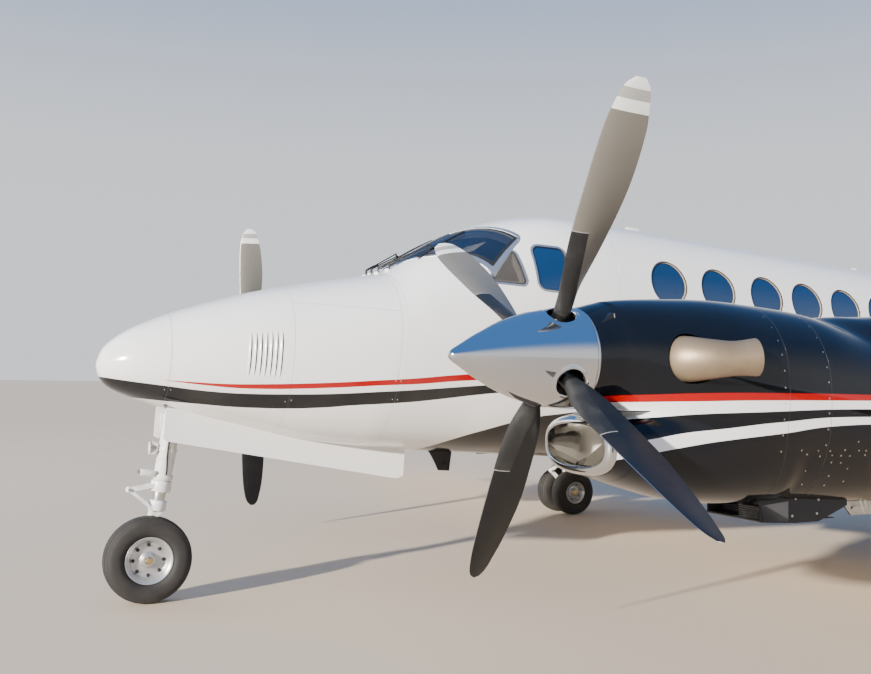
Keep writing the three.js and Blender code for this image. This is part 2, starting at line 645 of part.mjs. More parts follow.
// Flat panes of one side on the trim board behind them; the board's middle lies at (x, y, z) on the skin
function glazing(cuts, [x, y, z], length, height) {
  const lean = THREE.MathUtils.radToDeg(WINDOW_LEAN);
  const layer = (low, high, halfLength, halfHeight) =>
    box([-halfLength, low, -halfHeight], [halfLength, high, halfHeight]).rotate([lean, 0, 0]).translate([x, y, z]);
  const panes = layer(-PANE.board, -PANE.recess, length, height);
  const board = layer(-PANE.board, -WALL, length / 2, height / 2).intersect(liningSpace);
  return mainBody(cuts.reduce((sum, cut) => sum.add(panes.intersect(cut)), board));
}

place(airframe, "nose_cone", fuselage(stationsBetween(NOSE_RINGS, 1736 + GAP / 2, RADOME_JOINT)), "white");
place(airframe, "nose_section", noseSection(), "white");
place(airframe, "cockpit_section", cockpitSection(), "white");
place(airframe, "cabin_section", cabinSection(), "white");
place(airframe, "tail_section", tailSection(), "white");
placePair(airframe, "windshield", mainBody(glassLayer(27).intersect(windshieldCut(-GAP))), "glass");
placePair(airframe, "cockpit_glass", glazing(
  [sideCut(STORM_WINDOW, -GAP), sideCut(SIDE_WINDOW, -GAP)], [-1030, 712, 2345], 640, 360), "glass");
placePair(airframe, "cabin_glass", glazing(
  CABIN_WINDOW.xs.map((x) => portCut(x, -GAP)), [-3576, 733, CABIN_WINDOW.z], 3240, 372), "glass");

// Airstair door: the wall's own thickness, treads that come level once it is down, a hinge along its sill
function airstair() {
  const wall = cabinSkin.intersect(doorCut(0));
  const hinge = bar([DOOR.aft + DOOR.radius, DOOR_HINGE.y, DOOR_HINGE.z], [DOOR.front - DOOR.radius, DOOR_HINGE.y, DOOR_HINGE.z],
    DOOR_HINGE.radius, DOOR_HINGE.radius, 8);
  let door = wall.add(hinge);
  for (let i = 0; i < TREAD.count; i++) {
    const z = DOOR.sill + TREAD.first + i * TREAD.step;
    const plate = box([DOOR.aft + 90, -TREAD.thickness, -70], [DOOR.front - 90, 0, TREAD.depth])
      .rotate([THREE.MathUtils.radToDeg(TREAD.angle), 0, 0]);
    door = door.add(plate.translate([0, 650, z]).intersect(skinOuter));
  }
  return mainBody(door);
}
place(airframe, "airstair_door", airstair(), "white");

// Cabin
function seat(x, y, facing) {
  const at = (u) => x + facing * u;
  const block = (u0, u1, half, z0, z1) =>
    box([Math.min(at(u0), at(u1)), y - half, FLOOR.high + z0], [Math.max(at(u0), at(u1)), y + half, FLOOR.high + z1]);
  const back = loft([
    [[-250, -215], [-130, -215], [-130, 215], [-250, 215]].map(([u, v]) => new THREE.Vector3(at(u), y + v, FLOOR.high + 300)),
    [[-370, -200], [-270, -200], [-270, 200], [-370, 200]].map(([u, v]) => new THREE.Vector3(at(u), y + v, FLOOR.high + 1010)),
  ]);
  return block(-190, 190, 170, GAP, 200).add(block(-250, 270, 215, 190, 400)).add(back)
    .add(block(-200, 150, 250, 380, 560).subtract(block(-400, 400, 205, 390, 700)));
}

function passengerSeats() {
  const rows = [[-2450, -1], [-3600, 1], [-4150, -1], [-5160, 1]];
  const rail = box([-5300, 330, FLOOR.high + GAP], [-2300, 370, FLOOR.high + 30]);
  return rows.reduce((sum, [x, facing]) => sum.add(seat(x, 350, facing)), rail);
}

const floorSlab = box([CAVITY_AFT + 10, -900, FLOOR.low], [CAVITY_FRONT - 10, 900, FLOOR.high]).intersect(liningSpace);
place(airframe, "cabin_floor", floorSlab, "trim");
placePair(airframe, "crew_seat", seat(-1330, 300, 1), "leather");
placePair(airframe, "passenger_seats", passengerSeats(), "leather");

function instrumentPanel() {
  const dash = box([-470, -900, 1830], [-395, 900, 2140]);
  const shield = box([-520, -900, 2140], [CAVITY_FRONT - 5, 900, 2168]);
  const pedestal = box([-850, -130, FLOOR.high + GAP], [-400, 130, 1900]);
  return mainBody(dash.add(shield).intersect(liningSpace).add(pedestal));
}
place(airframe, "instrument_panel", instrumentPanel(), "trim");

// Wing
const airframeWell = toAirframe(wheelWell);
const aboveFloor = cabinSpace.intersect(box([CAVITY_AFT, -900, FLOOR.low - GAP], [CAVITY_FRONT, 900, 2000]));
let centrePiece = centreWing.subtract(aboveFloor);
for (const cut of [wingSurface(FLAP_INBOARD, RUN), airframeWell]) {
  centrePiece = centrePiece.subtract(cut).subtract(mirrored(cut));
}
place(airframe, "wing_center", mainBody(centrePiece), "white");
placePair(airframe, "wing", mainBody(
  outerWing.subtract(wingSurface(FLAP_OUTBOARD, RUN)).subtract(wingSurface(AILERON, RUN))), "white");
placePair(airframe, "flap_inboard", mainBody(centreWing.intersect(wingSurface(FLAP_INBOARD, 0)).add(wingPins(FLAP_INBOARD))), "white");
placePair(airframe, "flap_outboard", mainBody(outerWing.intersect(wingSurface(FLAP_OUTBOARD, 0)).add(wingPins(FLAP_OUTBOARD))), "white");
placePair(airframe, "aileron", mainBody(outerWing.intersect(wingSurface(AILERON, 0)).add(wingPins(AILERON))), "white");

// Tail
const finBlank = loft(FIN.map(finRing));
const tailplaneBlank = foilLoft([-TAILPLANE.halfSpan, 0, TAILPLANE.halfSpan].map(tailRow))
  .add(turnedAlongX(BULLET, 0, TAILPLANE.z, 10));

function dorsalFairing() {
  const { front, aft, foot, top, half } = DORSAL;
  const rise = [[front, 2826], [-9500, 2900], [-10000, 3020], [aft, top]];
  return loft(rise.map(([x, height], i) => {
    const width = 12 + (half * i) / (rise.length - 1);
    return [[-width, foot], [-width * 0.5, height - 8], [width * 0.5, height - 8], [width, foot]]
      .map(([y, z]) => new THREE.Vector3(x, y, z));
  }));
}

const tailCut = fuselage(TAIL_RINGS, -GAP);
const tailplaneCut = foilLoft([-TAILPLANE.halfSpan, 0, TAILPLANE.halfSpan].map(tailRow).map(swollen))
  .add(turnedAlongX(BULLET.map(([x, r]) => [x, r && r + 2 * GAP]), 0, TAILPLANE.z, 10));
place(airframe, "fin", mainBody(
  finBlank.add(dorsalFairing()).subtract(rudderSpace(RUN)).subtract(tailCut).subtract(tailplaneCut)), "white");
const rudderPins = hingePins(...[RUDDER.low, RUDDER.high].map((z) => [rudderHinge(z).x, 0, z]), PIN.rakedSlack);
const elevatorPins = hingePins(...[ELEVATOR.y0, ELEVATOR.y1].map((y) => [ELEVATOR.x, y, TAILPLANE.z]), GAP);
place(airframe, "rudder", mainBody(finBlank.intersect(rudderSpace(0)).add(rudderPins)), "white");
place(airframe, "tailplane", mainBody(
  tailplaneBlank.subtract(elevatorSpace(RUN)).subtract(mirrored(elevatorSpace(RUN)))), "white");
placePair(airframe, "elevator", mainBody(tailplaneBlank.intersect(elevatorSpace(0)).add(elevatorPins)), "white");

// Nacelle: a hollow cowl round the engine, a chin intake, an oil-cooler box, the locker over the wing, the wheel well
const stackRows = [
  [-560, ENGINE_Y + 187.9, 1588, 84, 104],
  [-570, ENGINE_Y + 300, 1588, 98, 110],
  [-638, ENGINE_Y + 386, 1590, 94, 100],
  [-740, ENGINE_Y + 440, 1594, 85, 88],
  [-838, ENGINE_Y + 478, 1602, 92, 89],
];

function stack() {
  const bore = stackRows.slice(2).map(([x, y, z, half, rise]) => [x, y, z, half - 8, rise - 8]);
  const mouth = bore.at(-1);
  bore.push([mouth[0] - 20, mouth[1] + 6, mouth[2] + 1, mouth[3], mouth[4]]);
  return mainBody(tube(stackRows).subtract(tube(bore)));
}

function stackCut() {
  const rows = stackRows.map(([x, y, z, half, rise]) => [x, y, z, half + 16, rise + 16]);
  return tube([[-560, ENGINE_Y + 150, 1588, 100, 120], ...rows.slice(1), [-1010, ENGINE_Y + 552, 1610, 100, 100]]);
}

function acrossEngine(manifold) {
  return manifold.add(manifold.mirror([0, 1, 0]).translate([0, 2 * ENGINE_Y, 0]));
}

function nacelle() {
  const chinRings = [INTAKE.lip - GAP, -420, -700, -1000, -1250];
  const cooler = pushedAlongY(
    [[OIL_COOLER.front, 960], [OIL_COOLER.aft, 960], [OIL_COOLER.aft, 840], [-1560, OIL_COOLER.low],
      [-1400, OIL_COOLER.low], [OIL_COOLER.front - 60, 800], [OIL_COOLER.front, 820]],
    ENGINE_Y - OIL_COOLER.half, ENGINE_Y + OIL_COOLER.half);
  const engineBay = nacelleLoft(NACELLE, [-180, -420, -613, -1200, FIREWALL_X], COWL_WALL)
    .intersect(box([FIREWALL_X, ENGINE_Y - 500, 1380], [-175, ENGINE_Y + 500, 2000]));
  const intake = nacelleLoft(CHIN, [-150, INTAKE.lip, -420, INTAKE.throat], INTAKE.wall);
  const shaftHole = turnedAlongX([[-120, 0], [-120, 150], [-215, 150], [-215, 0]], ENGINE_Y, THRUST_Z);
  return nacelleLoft(NACELLE, NACELLE_RINGS)
    .add(nacelleLoft(CHIN, chinRings))
    .add(nacelleLoft(LOCKER, [-1640, -1720, -2020, -2260, -2800, -3800, -4700, -5300]))
    .add(cooler)
    .simplify(2)
    .subtract(engineBay)
    .subtract(intake)
    .subtract(shaftHole)
    .subtract(acrossEngine(stackCut()))
    .subtract(wheelWell)
    .subtract(toLevel(centreWingCut));
}

function intakeLip() {
  const lip = nacelleLoft(CHIN, [-160, -176, INTAKE.lip]);
  return mainBody(lip.subtract(nacelleLoft(CHIN, [-150, INTAKE.lip - 5], INTAKE.mouth)));
}

placePair(aircraft, "nacelle", mainBody(nacelle()), "black");
placePair(aircraft, "intake_lip", intakeLip(), "chrome");
placePair(aircraft, "exhaust_outboard", stack(), "exhaust");
placePair(aircraft, "exhaust_inboard", stack().mirror([0, 1, 0]).translate([0, 2 * ENGINE_Y, 0]), "exhaust");

// Engine: one plain turned block, its shaft forward to the propeller
const HUB_BACK = -108;
const engineProfile = [
  [HUB_BACK - GAP, 0], [HUB_BACK - GAP, 55], [-225, 55], [-225, 140], [-430, 180], [-660, 180],
  [-740, 205], [-1250, 205], [-1500, 140], [FIREWALL_X + GAP, 120], [FIREWALL_X + GAP, 0],
];
placePair(aircraft, "engine", turnedAlongX(engineProfile, ENGINE_Y, THRUST_Z, 12), "steel");

// Spinner: x and radius of its skin, which is a shell over the hub
const SPINNER = [[520, 0], [508, 18], [470, 44], [385, 99], [250, 166], [120, 209], [-20, 233], [-122, 242]];
const SPINNER_WALL = 6;
const BACKPLATE = { front: [-92, 232.1], back: 233.7 }; // its rim lies against the shell
const BLADE_ANGLES = { left: 30.4, right: -7 };
const BLADE_HOLE = 68;

// Blade sections: radius, chord, thickness, pitch from the disc in degrees, how far the chord's middle lies back
const BLADE = [
  [95, 82, 82, 118, 0],
  [238, 80, 80, 118, 0],
  [300, 112, 72, 116, 2],
  [400, 158, 50, 108, 2],
  [600, 198, 33, 95, 8],
  [860, 220, 24, 86, 18],
  [1120, 198, 16, 78, 13],
  [1230, 158, 12, 76, 8],
  [1300, 112, 8, 75, 8],
  [PROP_RADIUS, 44, 4, 75, 10],
];

// One blade standing up from the hub, its leading edge turned forward to feather
function blade() {
  const oval = circle(0, 0, 0.5, 6);
  return loft(BLADE.map(([radius, chord, thickness, pitch, back]) => {
    const beta = THREE.MathUtils.degToRad(pitch);
    return oval.map(([u, v]) => {
      const [along, across] = [u * chord - back, v * thickness];
      return new THREE.Vector3(
        along * Math.sin(beta) + across * Math.cos(beta), -along * Math.cos(beta) + across * Math.sin(beta), radius);
    });
  }));
}

function turnedAboutThrust(manifold, degrees, side) {
  return manifold.rotate([-degrees, 0, 0]).translate([0, side * ENGINE_Y, THRUST_Z]);
}

function propeller() {
  const hub = turnedAlongX(
    [[130, 0], [130, 60], [90, 112], [-70, 112], [-80, 70], [-92, 70], BACKPLATE.front, [HUB_BACK, BACKPLATE.back], [HUB_BACK, 0]],
    0, 0, 20);
  return [0, 90, 180, 270].reduce((sum, angle) => sum.add(blade().rotate([angle, 0, 0])), hub);
}

function spinner() {
  const skin = turnedAlongX([...SPINNER, [-122, 0]], 0, 0, 20);
  const inside = [SPINNER[3], SPINNER[5], SPINNER[6], SPINNER[7]].map(([x, r]) => [Math.max(x - 12, -127), r - SPINNER_WALL]);
  const space = turnedAlongX([[inside[0][0], 0], ...inside, [-127, 0]], 0, 0, 20);
  let shell = skin.subtract(space);
  for (const angle of [0, 90, 180, 270]) {
    shell = shell.subtract(bar([0, 0, 100], [0, 0, 400], BLADE_HOLE, BLADE_HOLE, 10).rotate([angle, 0, 0]));
  }
  return mainBody(shell);
}

for (const [side, sign] of [["left", 1], ["right", -1]]) {
  place(aircraft, `propeller_${side}`, turnedAboutThrust(propeller(), BLADE_ANGLES[side], sign), "blade");
  place(aircraft, `spinner_${side}`, turnedAboutThrust(spinner(), BLADE_ANGLES[side], sign), "chrome");
}

// Nose gear, raked forward: distances up the leg from the axle
const RAKE = THREE.MathUtils.degToRad(8.5);
const upLeg = (distance, y = 0, ahead = 0) => [
  NOSE_WHEEL.x - distance * Math.sin(RAKE) + ahead * Math.cos(RAKE), y,
  NOSE_WHEEL.radius + distance * Math.cos(RAKE) + ahead * Math.sin(RAKE),
];

function noseLeg() {
  const trunnion = bar(upLeg(1040, -NOSE_WELL.half + GAP), upLeg(1040, NOSE_WELL.half - GAP), 34);
  const barrel = bar(upLeg(512 + GAP), upLeg(1060), 58);
  const brace = bar(upLeg(760), [700, 0, 1395], 24);
  const lampArm = bar(upLeg(715, 0, 30), upLeg(715, 0, 110), 22);
  const lamp = bar(upLeg(715, 0, 70), upLeg(715, 0, 118), 38, 52, 20);
  return trunnion.add(barrel).add(brace).add(lampArm).add(lamp);
}

function noseFork() {
  const piston = bar(upLeg(345), upLeg(512), 40);
  const collar = bar(upLeg(440), upLeg(512), 66);
  const knee = upLeg(430, 0, 195);
  const upperLink = plank(upLeg(478, 0, 40), knee, 60, 26);
  const lowerLink = plank(upLeg(330, 0, 40), knee, 50, 22);
  const foot = bar(upLeg(316), upLeg(385), 56);
  const yoke = box([NOSE_WHEEL.x - 105, -140, NOSE_WHEEL.radius + 297], [NOSE_WHEEL.x + 20, 45, NOSE_WHEEL.radius + 345]);
  const arm = bar(upLeg(-25, -128), upLeg(345, -128), 30, 36);
  const axle = bar([NOSE_WHEEL.x, -140, NOSE_WHEEL.radius], [NOSE_WHEEL.x, 60, NOSE_WHEEL.radius], 26, 26, 26);
  return [collar, upperLink, lowerLink, foot, yoke, arm, axle].reduce((sum, piece) => sum.add(piece), piston);
}

// Half section of a wheel with its tyre: y and radius, closed round an axle hole. A flat of the tread meets the ground.
function wheelProfile(height, width, rim, bore, sides) {
  const half = width / 2;
  const radius = height / Math.cos(Math.PI / sides);
  return [
    [-half * 0.42, bore], [-half * 0.72, rim], [-half, (rim + radius) / 2], [-half * 0.84, radius * 0.93],
    [-half * 0.45, radius], [half * 0.45, radius], [half * 0.84, radius * 0.93], [half, (rim + radius) / 2],
    [half * 0.72, rim], [half * 0.42, bore], [-half * 0.42, bore],
  ];
}

const NOSE_WHEEL_SIDES = 26;
const noseWheel = turnedAlongY(
  wheelProfile(NOSE_WHEEL.radius, NOSE_WHEEL.width, 138, 26.5, NOSE_WHEEL_SIDES), NOSE_WHEEL.x, NOSE_WHEEL.radius, NOSE_WHEEL_SIDES);
place(aircraft, "nose_leg", noseLeg(), "white");
place(aircraft, "nose_fork", noseFork(), "white");
place(aircraft, "nose_wheel", noseWheel, "tyre");

function noseDoor() {
  const panel = pushedAlongY(
    [[NOSE_DOOR.front, 1260], [NOSE_DOOR.aft, 1120], [NOSE_DOOR.aft, 985 - 180], [-330, 985 - 200], [1290, 1178 - NOSE_DOOR.drop],
      [NOSE_DOOR.front, 1190 - NOSE_DOOR.drop]],
    NOSE_DOOR.inner, NOSE_DOOR.outer);
  return mainBody(panel.subtract(fuselage([...NOSE_RINGS.slice(-2), ...FRONT_RINGS.slice(1), -311, -625], -GAP)));
}
placePair(airframe, "nose_door", noseDoor(), "white");

// Main gear: one leg between twin wheels that share an axle
function mainWheels() {
  const { x, radius, width, spacing } = MAIN_WHEEL;
  const sides = 20;
  const wheel = wheelProfile(radius, width, 108, 24, sides);
  const pair = [-1, 1].map((side) => turnedAlongY(wheel, x, radius, sides).translate([0, ENGINE_Y + (side * spacing) / 2, 0]));
  const half = spacing / 2 + width * 0.3;
  const axle = bar([x, ENGINE_Y - half, radius], [x, ENGINE_Y + half, radius], 28, 28, 20);
  return pair[0].add(pair[1]).add(axle);
}

function mainLeg() {
  const { x, radius } = MAIN_WHEEL;
  const well = WHEEL_WELL.half - GAP;
  const axleHole = bar([x, ENGINE_Y - 60, radius], [x, ENGINE_Y + 60, radius], 28.6, 28.6, 20);
  const trunnion = bar([x, ENGINE_Y - well, 1090], [x, ENGINE_Y + well, 1090], 38);
  const barrel = bar([x, ENGINE_Y, 560], [x, ENGINE_Y, 1130], 58);
  const piston = bar([x, ENGINE_Y, radius + 20], [x, ENGINE_Y, 580], 38);
  const collar = bar([x, ENGINE_Y - 44, radius], [x, ENGINE_Y + 44, radius], 58, 58, 20)
    .subtract(axleHole);
  const link = plank([x + 40, ENGINE_Y, 600], [x + 190, ENGINE_Y, 470], 60, 24)
    .add(plank([x + 190, ENGINE_Y, 470], [x + 35, ENGINE_Y, 330], 60, 24));
  const brace = bar([x, ENGINE_Y, 760], [x + 720, ENGINE_Y, WHEEL_WELL.roof - GAP - 30], 28);
  const cleared = piston.subtract(axleHole);
  return trunnion.add(barrel).add(cleared).add(collar).add(link).add(brace);
}

function mainDoor(side) {
  const y = ENGINE_Y + side * (WHEEL_WELL.half + 8);
  const panel = box([-3500, Math.min(y, y + side * 12), 700], [WHEEL_WELL.front + 8, Math.max(y, y + side * 12), 1100]);
  return mainBody(panel.subtract(nacelleLoft(NACELLE, NACELLE_RINGS, -GAP)));
}

placePair(aircraft, "main_leg", mainLeg(), "white");
placePair(aircraft, "main_wheels", mainWheels(), "tyre");
placePair(aircraft, "main_door_outboard", mainDoor(1), "black");
placePair(aircraft, "main_door_inboard", mainDoor(-1), "black");

// The origin goes to the middle of the footprint, on the ground
const bounds = new THREE.Box3().setFromObject(aircraft);
const middle = bounds.getCenter(new THREE.Vector3());
aircraft.position.set(-middle.x, -middle.y, -bounds.min.z);

export default aircraft;
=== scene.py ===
"""Looks for a twin turboprop business plane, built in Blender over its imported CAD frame."""

from __future__ import annotations

import logging
import math
from dataclasses import dataclass, field
from enum import Enum
from functools import partial
from typing import Callable, Iterable, Sequence

import bmesh
import bpy
import numpy as np
from mathutils import Matrix, Vector
from mathutils.bvhtree import BVHTree
from mathutils.interpolate import poly_3d_calc

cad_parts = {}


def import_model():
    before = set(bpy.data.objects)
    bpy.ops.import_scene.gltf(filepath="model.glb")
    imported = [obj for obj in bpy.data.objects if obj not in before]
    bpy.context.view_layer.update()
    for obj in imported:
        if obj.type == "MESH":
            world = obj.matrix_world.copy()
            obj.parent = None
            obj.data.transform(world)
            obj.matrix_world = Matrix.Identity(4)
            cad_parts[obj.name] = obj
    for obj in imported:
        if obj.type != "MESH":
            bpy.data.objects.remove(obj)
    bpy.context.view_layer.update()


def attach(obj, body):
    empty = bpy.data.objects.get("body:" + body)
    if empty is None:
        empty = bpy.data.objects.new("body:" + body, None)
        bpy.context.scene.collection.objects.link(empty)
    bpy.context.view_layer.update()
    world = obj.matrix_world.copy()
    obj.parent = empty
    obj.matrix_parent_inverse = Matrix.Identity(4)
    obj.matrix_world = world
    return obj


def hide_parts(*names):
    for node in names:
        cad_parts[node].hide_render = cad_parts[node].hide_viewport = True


LOG = logging.getLogger("plane")

Array = np.ndarray
Outline = Sequence[Sequence[float]]

# Placement: tables are in millimetres, from the propeller plane at ground level
SHIFT = 5.396615
ATTITUDE = math.radians(3.5)
LEVEL = Matrix.Translation((SHIFT, 0, 0)) @ Matrix.Scale(0.001, 4)
AIRFRAME = (
    Matrix.Translation((SHIFT, 0, 1))
    @ Matrix.Rotation(-ATTITUDE, 4, "Y")
    @ Matrix.Translation((0, 0, -1))
    @ Matrix.Scale(0.001, 4)
)
MIRROR = Matrix.Scale(-1, 4, (0, 1, 0))
ENGINE_Y = 2615.0
THRUST_Z = 1586.0


class Side(Enum):
    """Side of the plane, seen from its own seats."""

    LEFT = 1
    RIGHT = -1

    @property
    def word(self) -> str:
        """The side's name as the nodes spell it."""
        return self.name.lower()

    def matrix(self, base: Matrix) -> Matrix:
        """Placement of a left-hand shape on this side."""
        return base if self is Side.LEFT else MIRROR @ base


# Shapes


@dataclass
class Shape:
    """A surface of points and faces, with a material number for each face."""

    points: Array
    faces: list[tuple[int, ...]]
    paint: list[int] = field(default_factory=list)

    def __post_init__(self) -> None:
        """Gives every face the first material where none is named."""
        self.points = np.asarray(self.points, float)
        if not self.paint:
            self.paint = [0] * len(self.faces)

    def placed(self, matrix: Matrix) -> Shape:
        """The shape moved by a matrix, turned right side out again after a mirror."""
        grid = np.array(matrix)
        points = self.points @ grid[:3, :3].T + grid[:3, 3]
        flips = matrix.determinant() < 0
        faces = [tuple(reversed(f)) for f in self.faces] if flips else self.faces
        return Shape(points, faces, list(self.paint))

    def moved(self, x: float = 0, y: float = 0, z: float = 0) -> Shape:
        """The shape shifted along its axes."""
        return Shape(self.points + np.array([x, y, z]), self.faces, list(self.paint))

    def turned(self, degrees: float, axis: str) -> Shape:
        """The shape turned about an axis through its origin."""
        return self.placed(Matrix.Rotation(math.radians(degrees), 4, axis))

    def painted(self, number: int) -> Shape:
        """The shape with one material number on every face."""
        return Shape(self.points, self.faces, [number] * len(self.faces))

    def outward(self) -> Shape:
        """The shape with its faces pointing out."""
        volume = 0.0
        for face in self.faces:
            a = self.points[face[0]]
            for i in range(1, len(face) - 1):
                volume += float(np.dot(a, np.cross(self.points[face[i]], self.points[face[i + 1]])))
        if volume >= 0:
            return self
        return Shape(self.points, [tuple(reversed(f)) for f in self.faces], list(self.paint))


def joined(shapes: Iterable[Shape]) -> Shape:
    """One shape of several."""
    points: list[Array] = []
    faces: list[tuple[int, ...]] = []
    paint: list[int] = []
    base = 0
    for shape in shapes:
        points.append(shape.points)
        faces += [tuple(i + base for i in f) for f in shape.faces]
        paint += shape.paint
        base += len(shape.points)
    return Shape(np.vstack(points), faces, paint)


def loft(rings: Array, caps: tuple[bool, bool] = (True, True), wrap: bool = False) -> Shape:
    """Skin through rings of equal point counts.

    Args:
        rings: Array of rings, points and coordinates.
        caps: Whether the first and the last ring are closed.
        wrap: Whether the last ring joins the first, as on a tyre.

    Returns:
        The skin, facing out.
    """
    rings = np.asarray(rings, float)
    count, sides = rings.shape[:2]
    faces: list[tuple[int, ...]] = []
    for r in range(count if wrap else count - 1):
        low, high = r * sides, ((r + 1) % count) * sides
        for i in range(sides):
            j = (i + 1) % sides
            faces.append((low + i, low + j, high + j, high + i))
    if caps[0] and not wrap:
        faces.append(tuple(reversed(range(sides))))
    if caps[1] and not wrap:
        faces.append(tuple(range((count - 1) * sides, count * sides)))
    return Shape(rings.reshape(-1, 3), faces).outward()


def circle(u: float, v: float, radius: float, sides: int = 32) -> list[tuple[float, float]]:
    """Points of a circle in a plane."""
    turns = [2 * math.pi * i / sides for i in range(sides)]
    return [(u + radius * math.cos(a), v + radius * math.sin(a)) for a in turns]


def rounded(corners: Outline, radius: float, grow: float = 0, steps: int = 8) -> list[tuple[float, float]]:
    """Convex polygon with arcs for corners, grown outwards.

    Args:
        corners: Corner points in order.
        radius: Radius of each corner's arc.
        grow: How far the outline stands outside its first place.
        steps: Facets of each arc.

    Returns:
        The outline's points.
    """
    size = radius + grow
    points: list[tuple[float, float]] = []
    for i, corner in enumerate(corners):
        here = np.array(corner, float)
        before = np.array(corners[i - 1], float) - here
        after = np.array(corners[(i + 1) % len(corners)], float) - here
        before /= np.linalg.norm(before)
        after /= np.linalg.norm(after)
        half = math.acos(float(np.dot(before, after))) / 2
        outward = -(before + after) / np.linalg.norm(before + after)
        centre = here - outward * radius / math.sin(half)
        sweep = math.copysign(math.pi / 2 - half, outward[0] * before[1] - outward[1] * before[0])
        for k in range(steps + 1):
            turn = sweep * (1 - 2 * k / steps)
            c, s = math.cos(turn), math.sin(turn)
            arm = (outward[0] * c - outward[1] * s, outward[0] * s + outward[1] * c)
            points.append((centre[0] + size * arm[0], centre[1] + size * arm[1]))
    return points


def prism(outline: Outline, low: float, high: float, axis: str) -> Shape:
    """Outline pushed along an axis: [x, y] for Z, [x, z] for Y and [y, z] for X."""
    flat = np.array(outline, float)
    order = {"Z": (0, 1, 2), "Y": (0, 2, 1), "X": (1, 2, 0)}[axis]
    rings = np.zeros((2, len(flat), 3))
    for ring, level in zip(rings, (low, high)):
        ring[:, order[0]] = flat[:, 0]
        ring[:, order[1]] = flat[:, 1]
        ring[:, order[2]] = level
    return loft(rings)


def turned(profile: Outline, sides: int = 48, wrap: bool = False) -> Shape:
    """Profile of (x, radius) pairs turned about X; a radius of 0 makes a pole.

    Args:
        profile: Pairs along the axis.
        sides: Facets of the turn.
        wrap: Whether the profile closes on itself.

    Returns:
        The turned skin, facing out.
    """
    angles = np.arange(sides) * 2 * math.pi / sides
    points: list[tuple[float, float, float]] = []
    rings: list[list[int]] = []
    for x, radius in profile:
        start = len(points)
        around = [(x, 0.0, 0.0)] if radius <= 1e-6 else [(x, radius * math.cos(a), radius * math.sin(a))
                                                         for a in angles]
        points += around
        rings.append(list(range(start, start + len(around))))
    faces: list[tuple[int, ...]] = []
    for low, high in zip(rings, rings[1:] + (rings[:1] if wrap else [])):
        for i in range(sides):
            j = (i + 1) % sides
            corners = (low[i % len(low)], low[j % len(low)], high[j % len(high)], high[i % len(high)])
            face = tuple(dict.fromkeys(corners))
            if len(face) > 2:
                faces.append(face)
    if not wrap:
        faces += [tuple(reversed(rings[0]))] if len(rings[0]) > 1 else []
        faces += [tuple(rings[-1])] if len(rings[-1]) > 1 else []
    return Shape(np.array(points), faces).outward()


def along_y(shape: Shape, x: float, y: float, z: float) -> Shape:
    """A shape turned about X laid along Y at a place."""
    return shape.turned(90, "Z").moved(x, y, z)


def slab(low: Sequence[float], high: Sequence[float], bevel: float = 2.0, segments: int = 3) -> Shape:
    """Box between two corners with rounded edges."""
    mesh = bmesh.new()
    size = [b - a for a, b in zip(low, high)]
    middle = [(a + b) / 2 for a, b in zip(low, high)]
    bmesh.ops.create_cube(mesh, size=1, matrix=Matrix.Translation(middle) @ Matrix.Diagonal((*size, 1)))
    bevel = min(bevel, 0.45 * min(size))
    bmesh.ops.bevel(mesh, geom=list(mesh.edges), offset=bevel, segments=segments, profile=0.5,
                    affect="EDGES")
    mesh.verts.ensure_lookup_table()
    mesh.verts.index_update()
    shape = Shape(np.array([v.co[:] for v in mesh.verts]),
                  [tuple(v.index for v in f.verts) for f in mesh.faces])
    mesh.free()
    return shape


def along(path: Outline, rows: Outline, sides: int = 20, up: Sequence[float] = (0, 0, 1)) -> Shape:
    """Tube along a path, with a half width and half height at each point.

    Args:
        path: Points of the centre line.
        rows: Half width across and half height over, for each point.
        sides: Facets of the section.
        up: Direction that the height follows.

    Returns:
        The closed tube.
    """
    centres = np.array(path, float)
    ahead = np.gradient(centres, axis=0)
    ahead /= np.linalg.norm(ahead, axis=1)[:, None]
    across = np.cross(np.array(up, float), ahead)
    across /= np.linalg.norm(across, axis=1)[:, None]
    over = np.cross(ahead, across)
    turns = np.arange(sides) * 2 * math.pi / sides
    rings = [
        c + np.outer(np.cos(turns) * half, a) + np.outer(np.sin(turns) * rise, o)
        for c, a, o, (half, rise) in zip(centres, across, over, rows)
    ]
    return loft(np.array(rings))


def rod(start: Sequence[float], end: Sequence[float], radius: float, end_radius: float | None = None,
        sides: int = 24, round_by: float = 1.5) -> Shape:
    """Round bar between two points, its rims eased.

    Args:
        start: First end.
        end: Second end.
        radius: Radius at the first end.
        end_radius: Radius at the second end, or the same.
        sides: Facets round the bar.
        round_by: Size of the eased rims.

    Returns:
        The closed bar.
    """
    last = radius if end_radius is None else end_radius
    length = (Vector(end) - Vector(start)).length
    ease = min(round_by, 0.3 * length, 0.6 * min(radius, last))
    profile = [(0, radius - ease), (ease * 0.3, radius - ease * 0.3), (ease, radius)]
    profile += [(length - ease, last), (length - ease * 0.3, last - ease * 0.3), (length, last - ease)]
    turn = Vector((1, 0, 0)).rotation_difference(Vector(end) - Vector(start)).to_matrix().to_4x4()
    return turned(profile, sides).placed(Matrix.Translation(start) @ turn)


def smooth_rows(rows: Outline, count: int) -> Array:
    """Rows resampled on a smooth curve through them, evenly by number."""
    rows = np.array(rows, float)
    knots = np.arange(len(rows))
    slopes = np.gradient(rows, axis=0)
    out = []
    for t in np.linspace(0, len(rows) - 1, count):
        i = min(int(t), len(rows) - 2)
        u = t - knots[i]
        a, b, m, n = rows[i], rows[i + 1], slopes[i], slopes[i + 1]
        out.append((2 * u**3 - 3 * u**2 + 1) * a + (u**3 - 2 * u**2 + u) * m + (3 * u**2 - 2 * u**3) * b
                   + (u**3 - u**2) * n)
    return np.array(out)


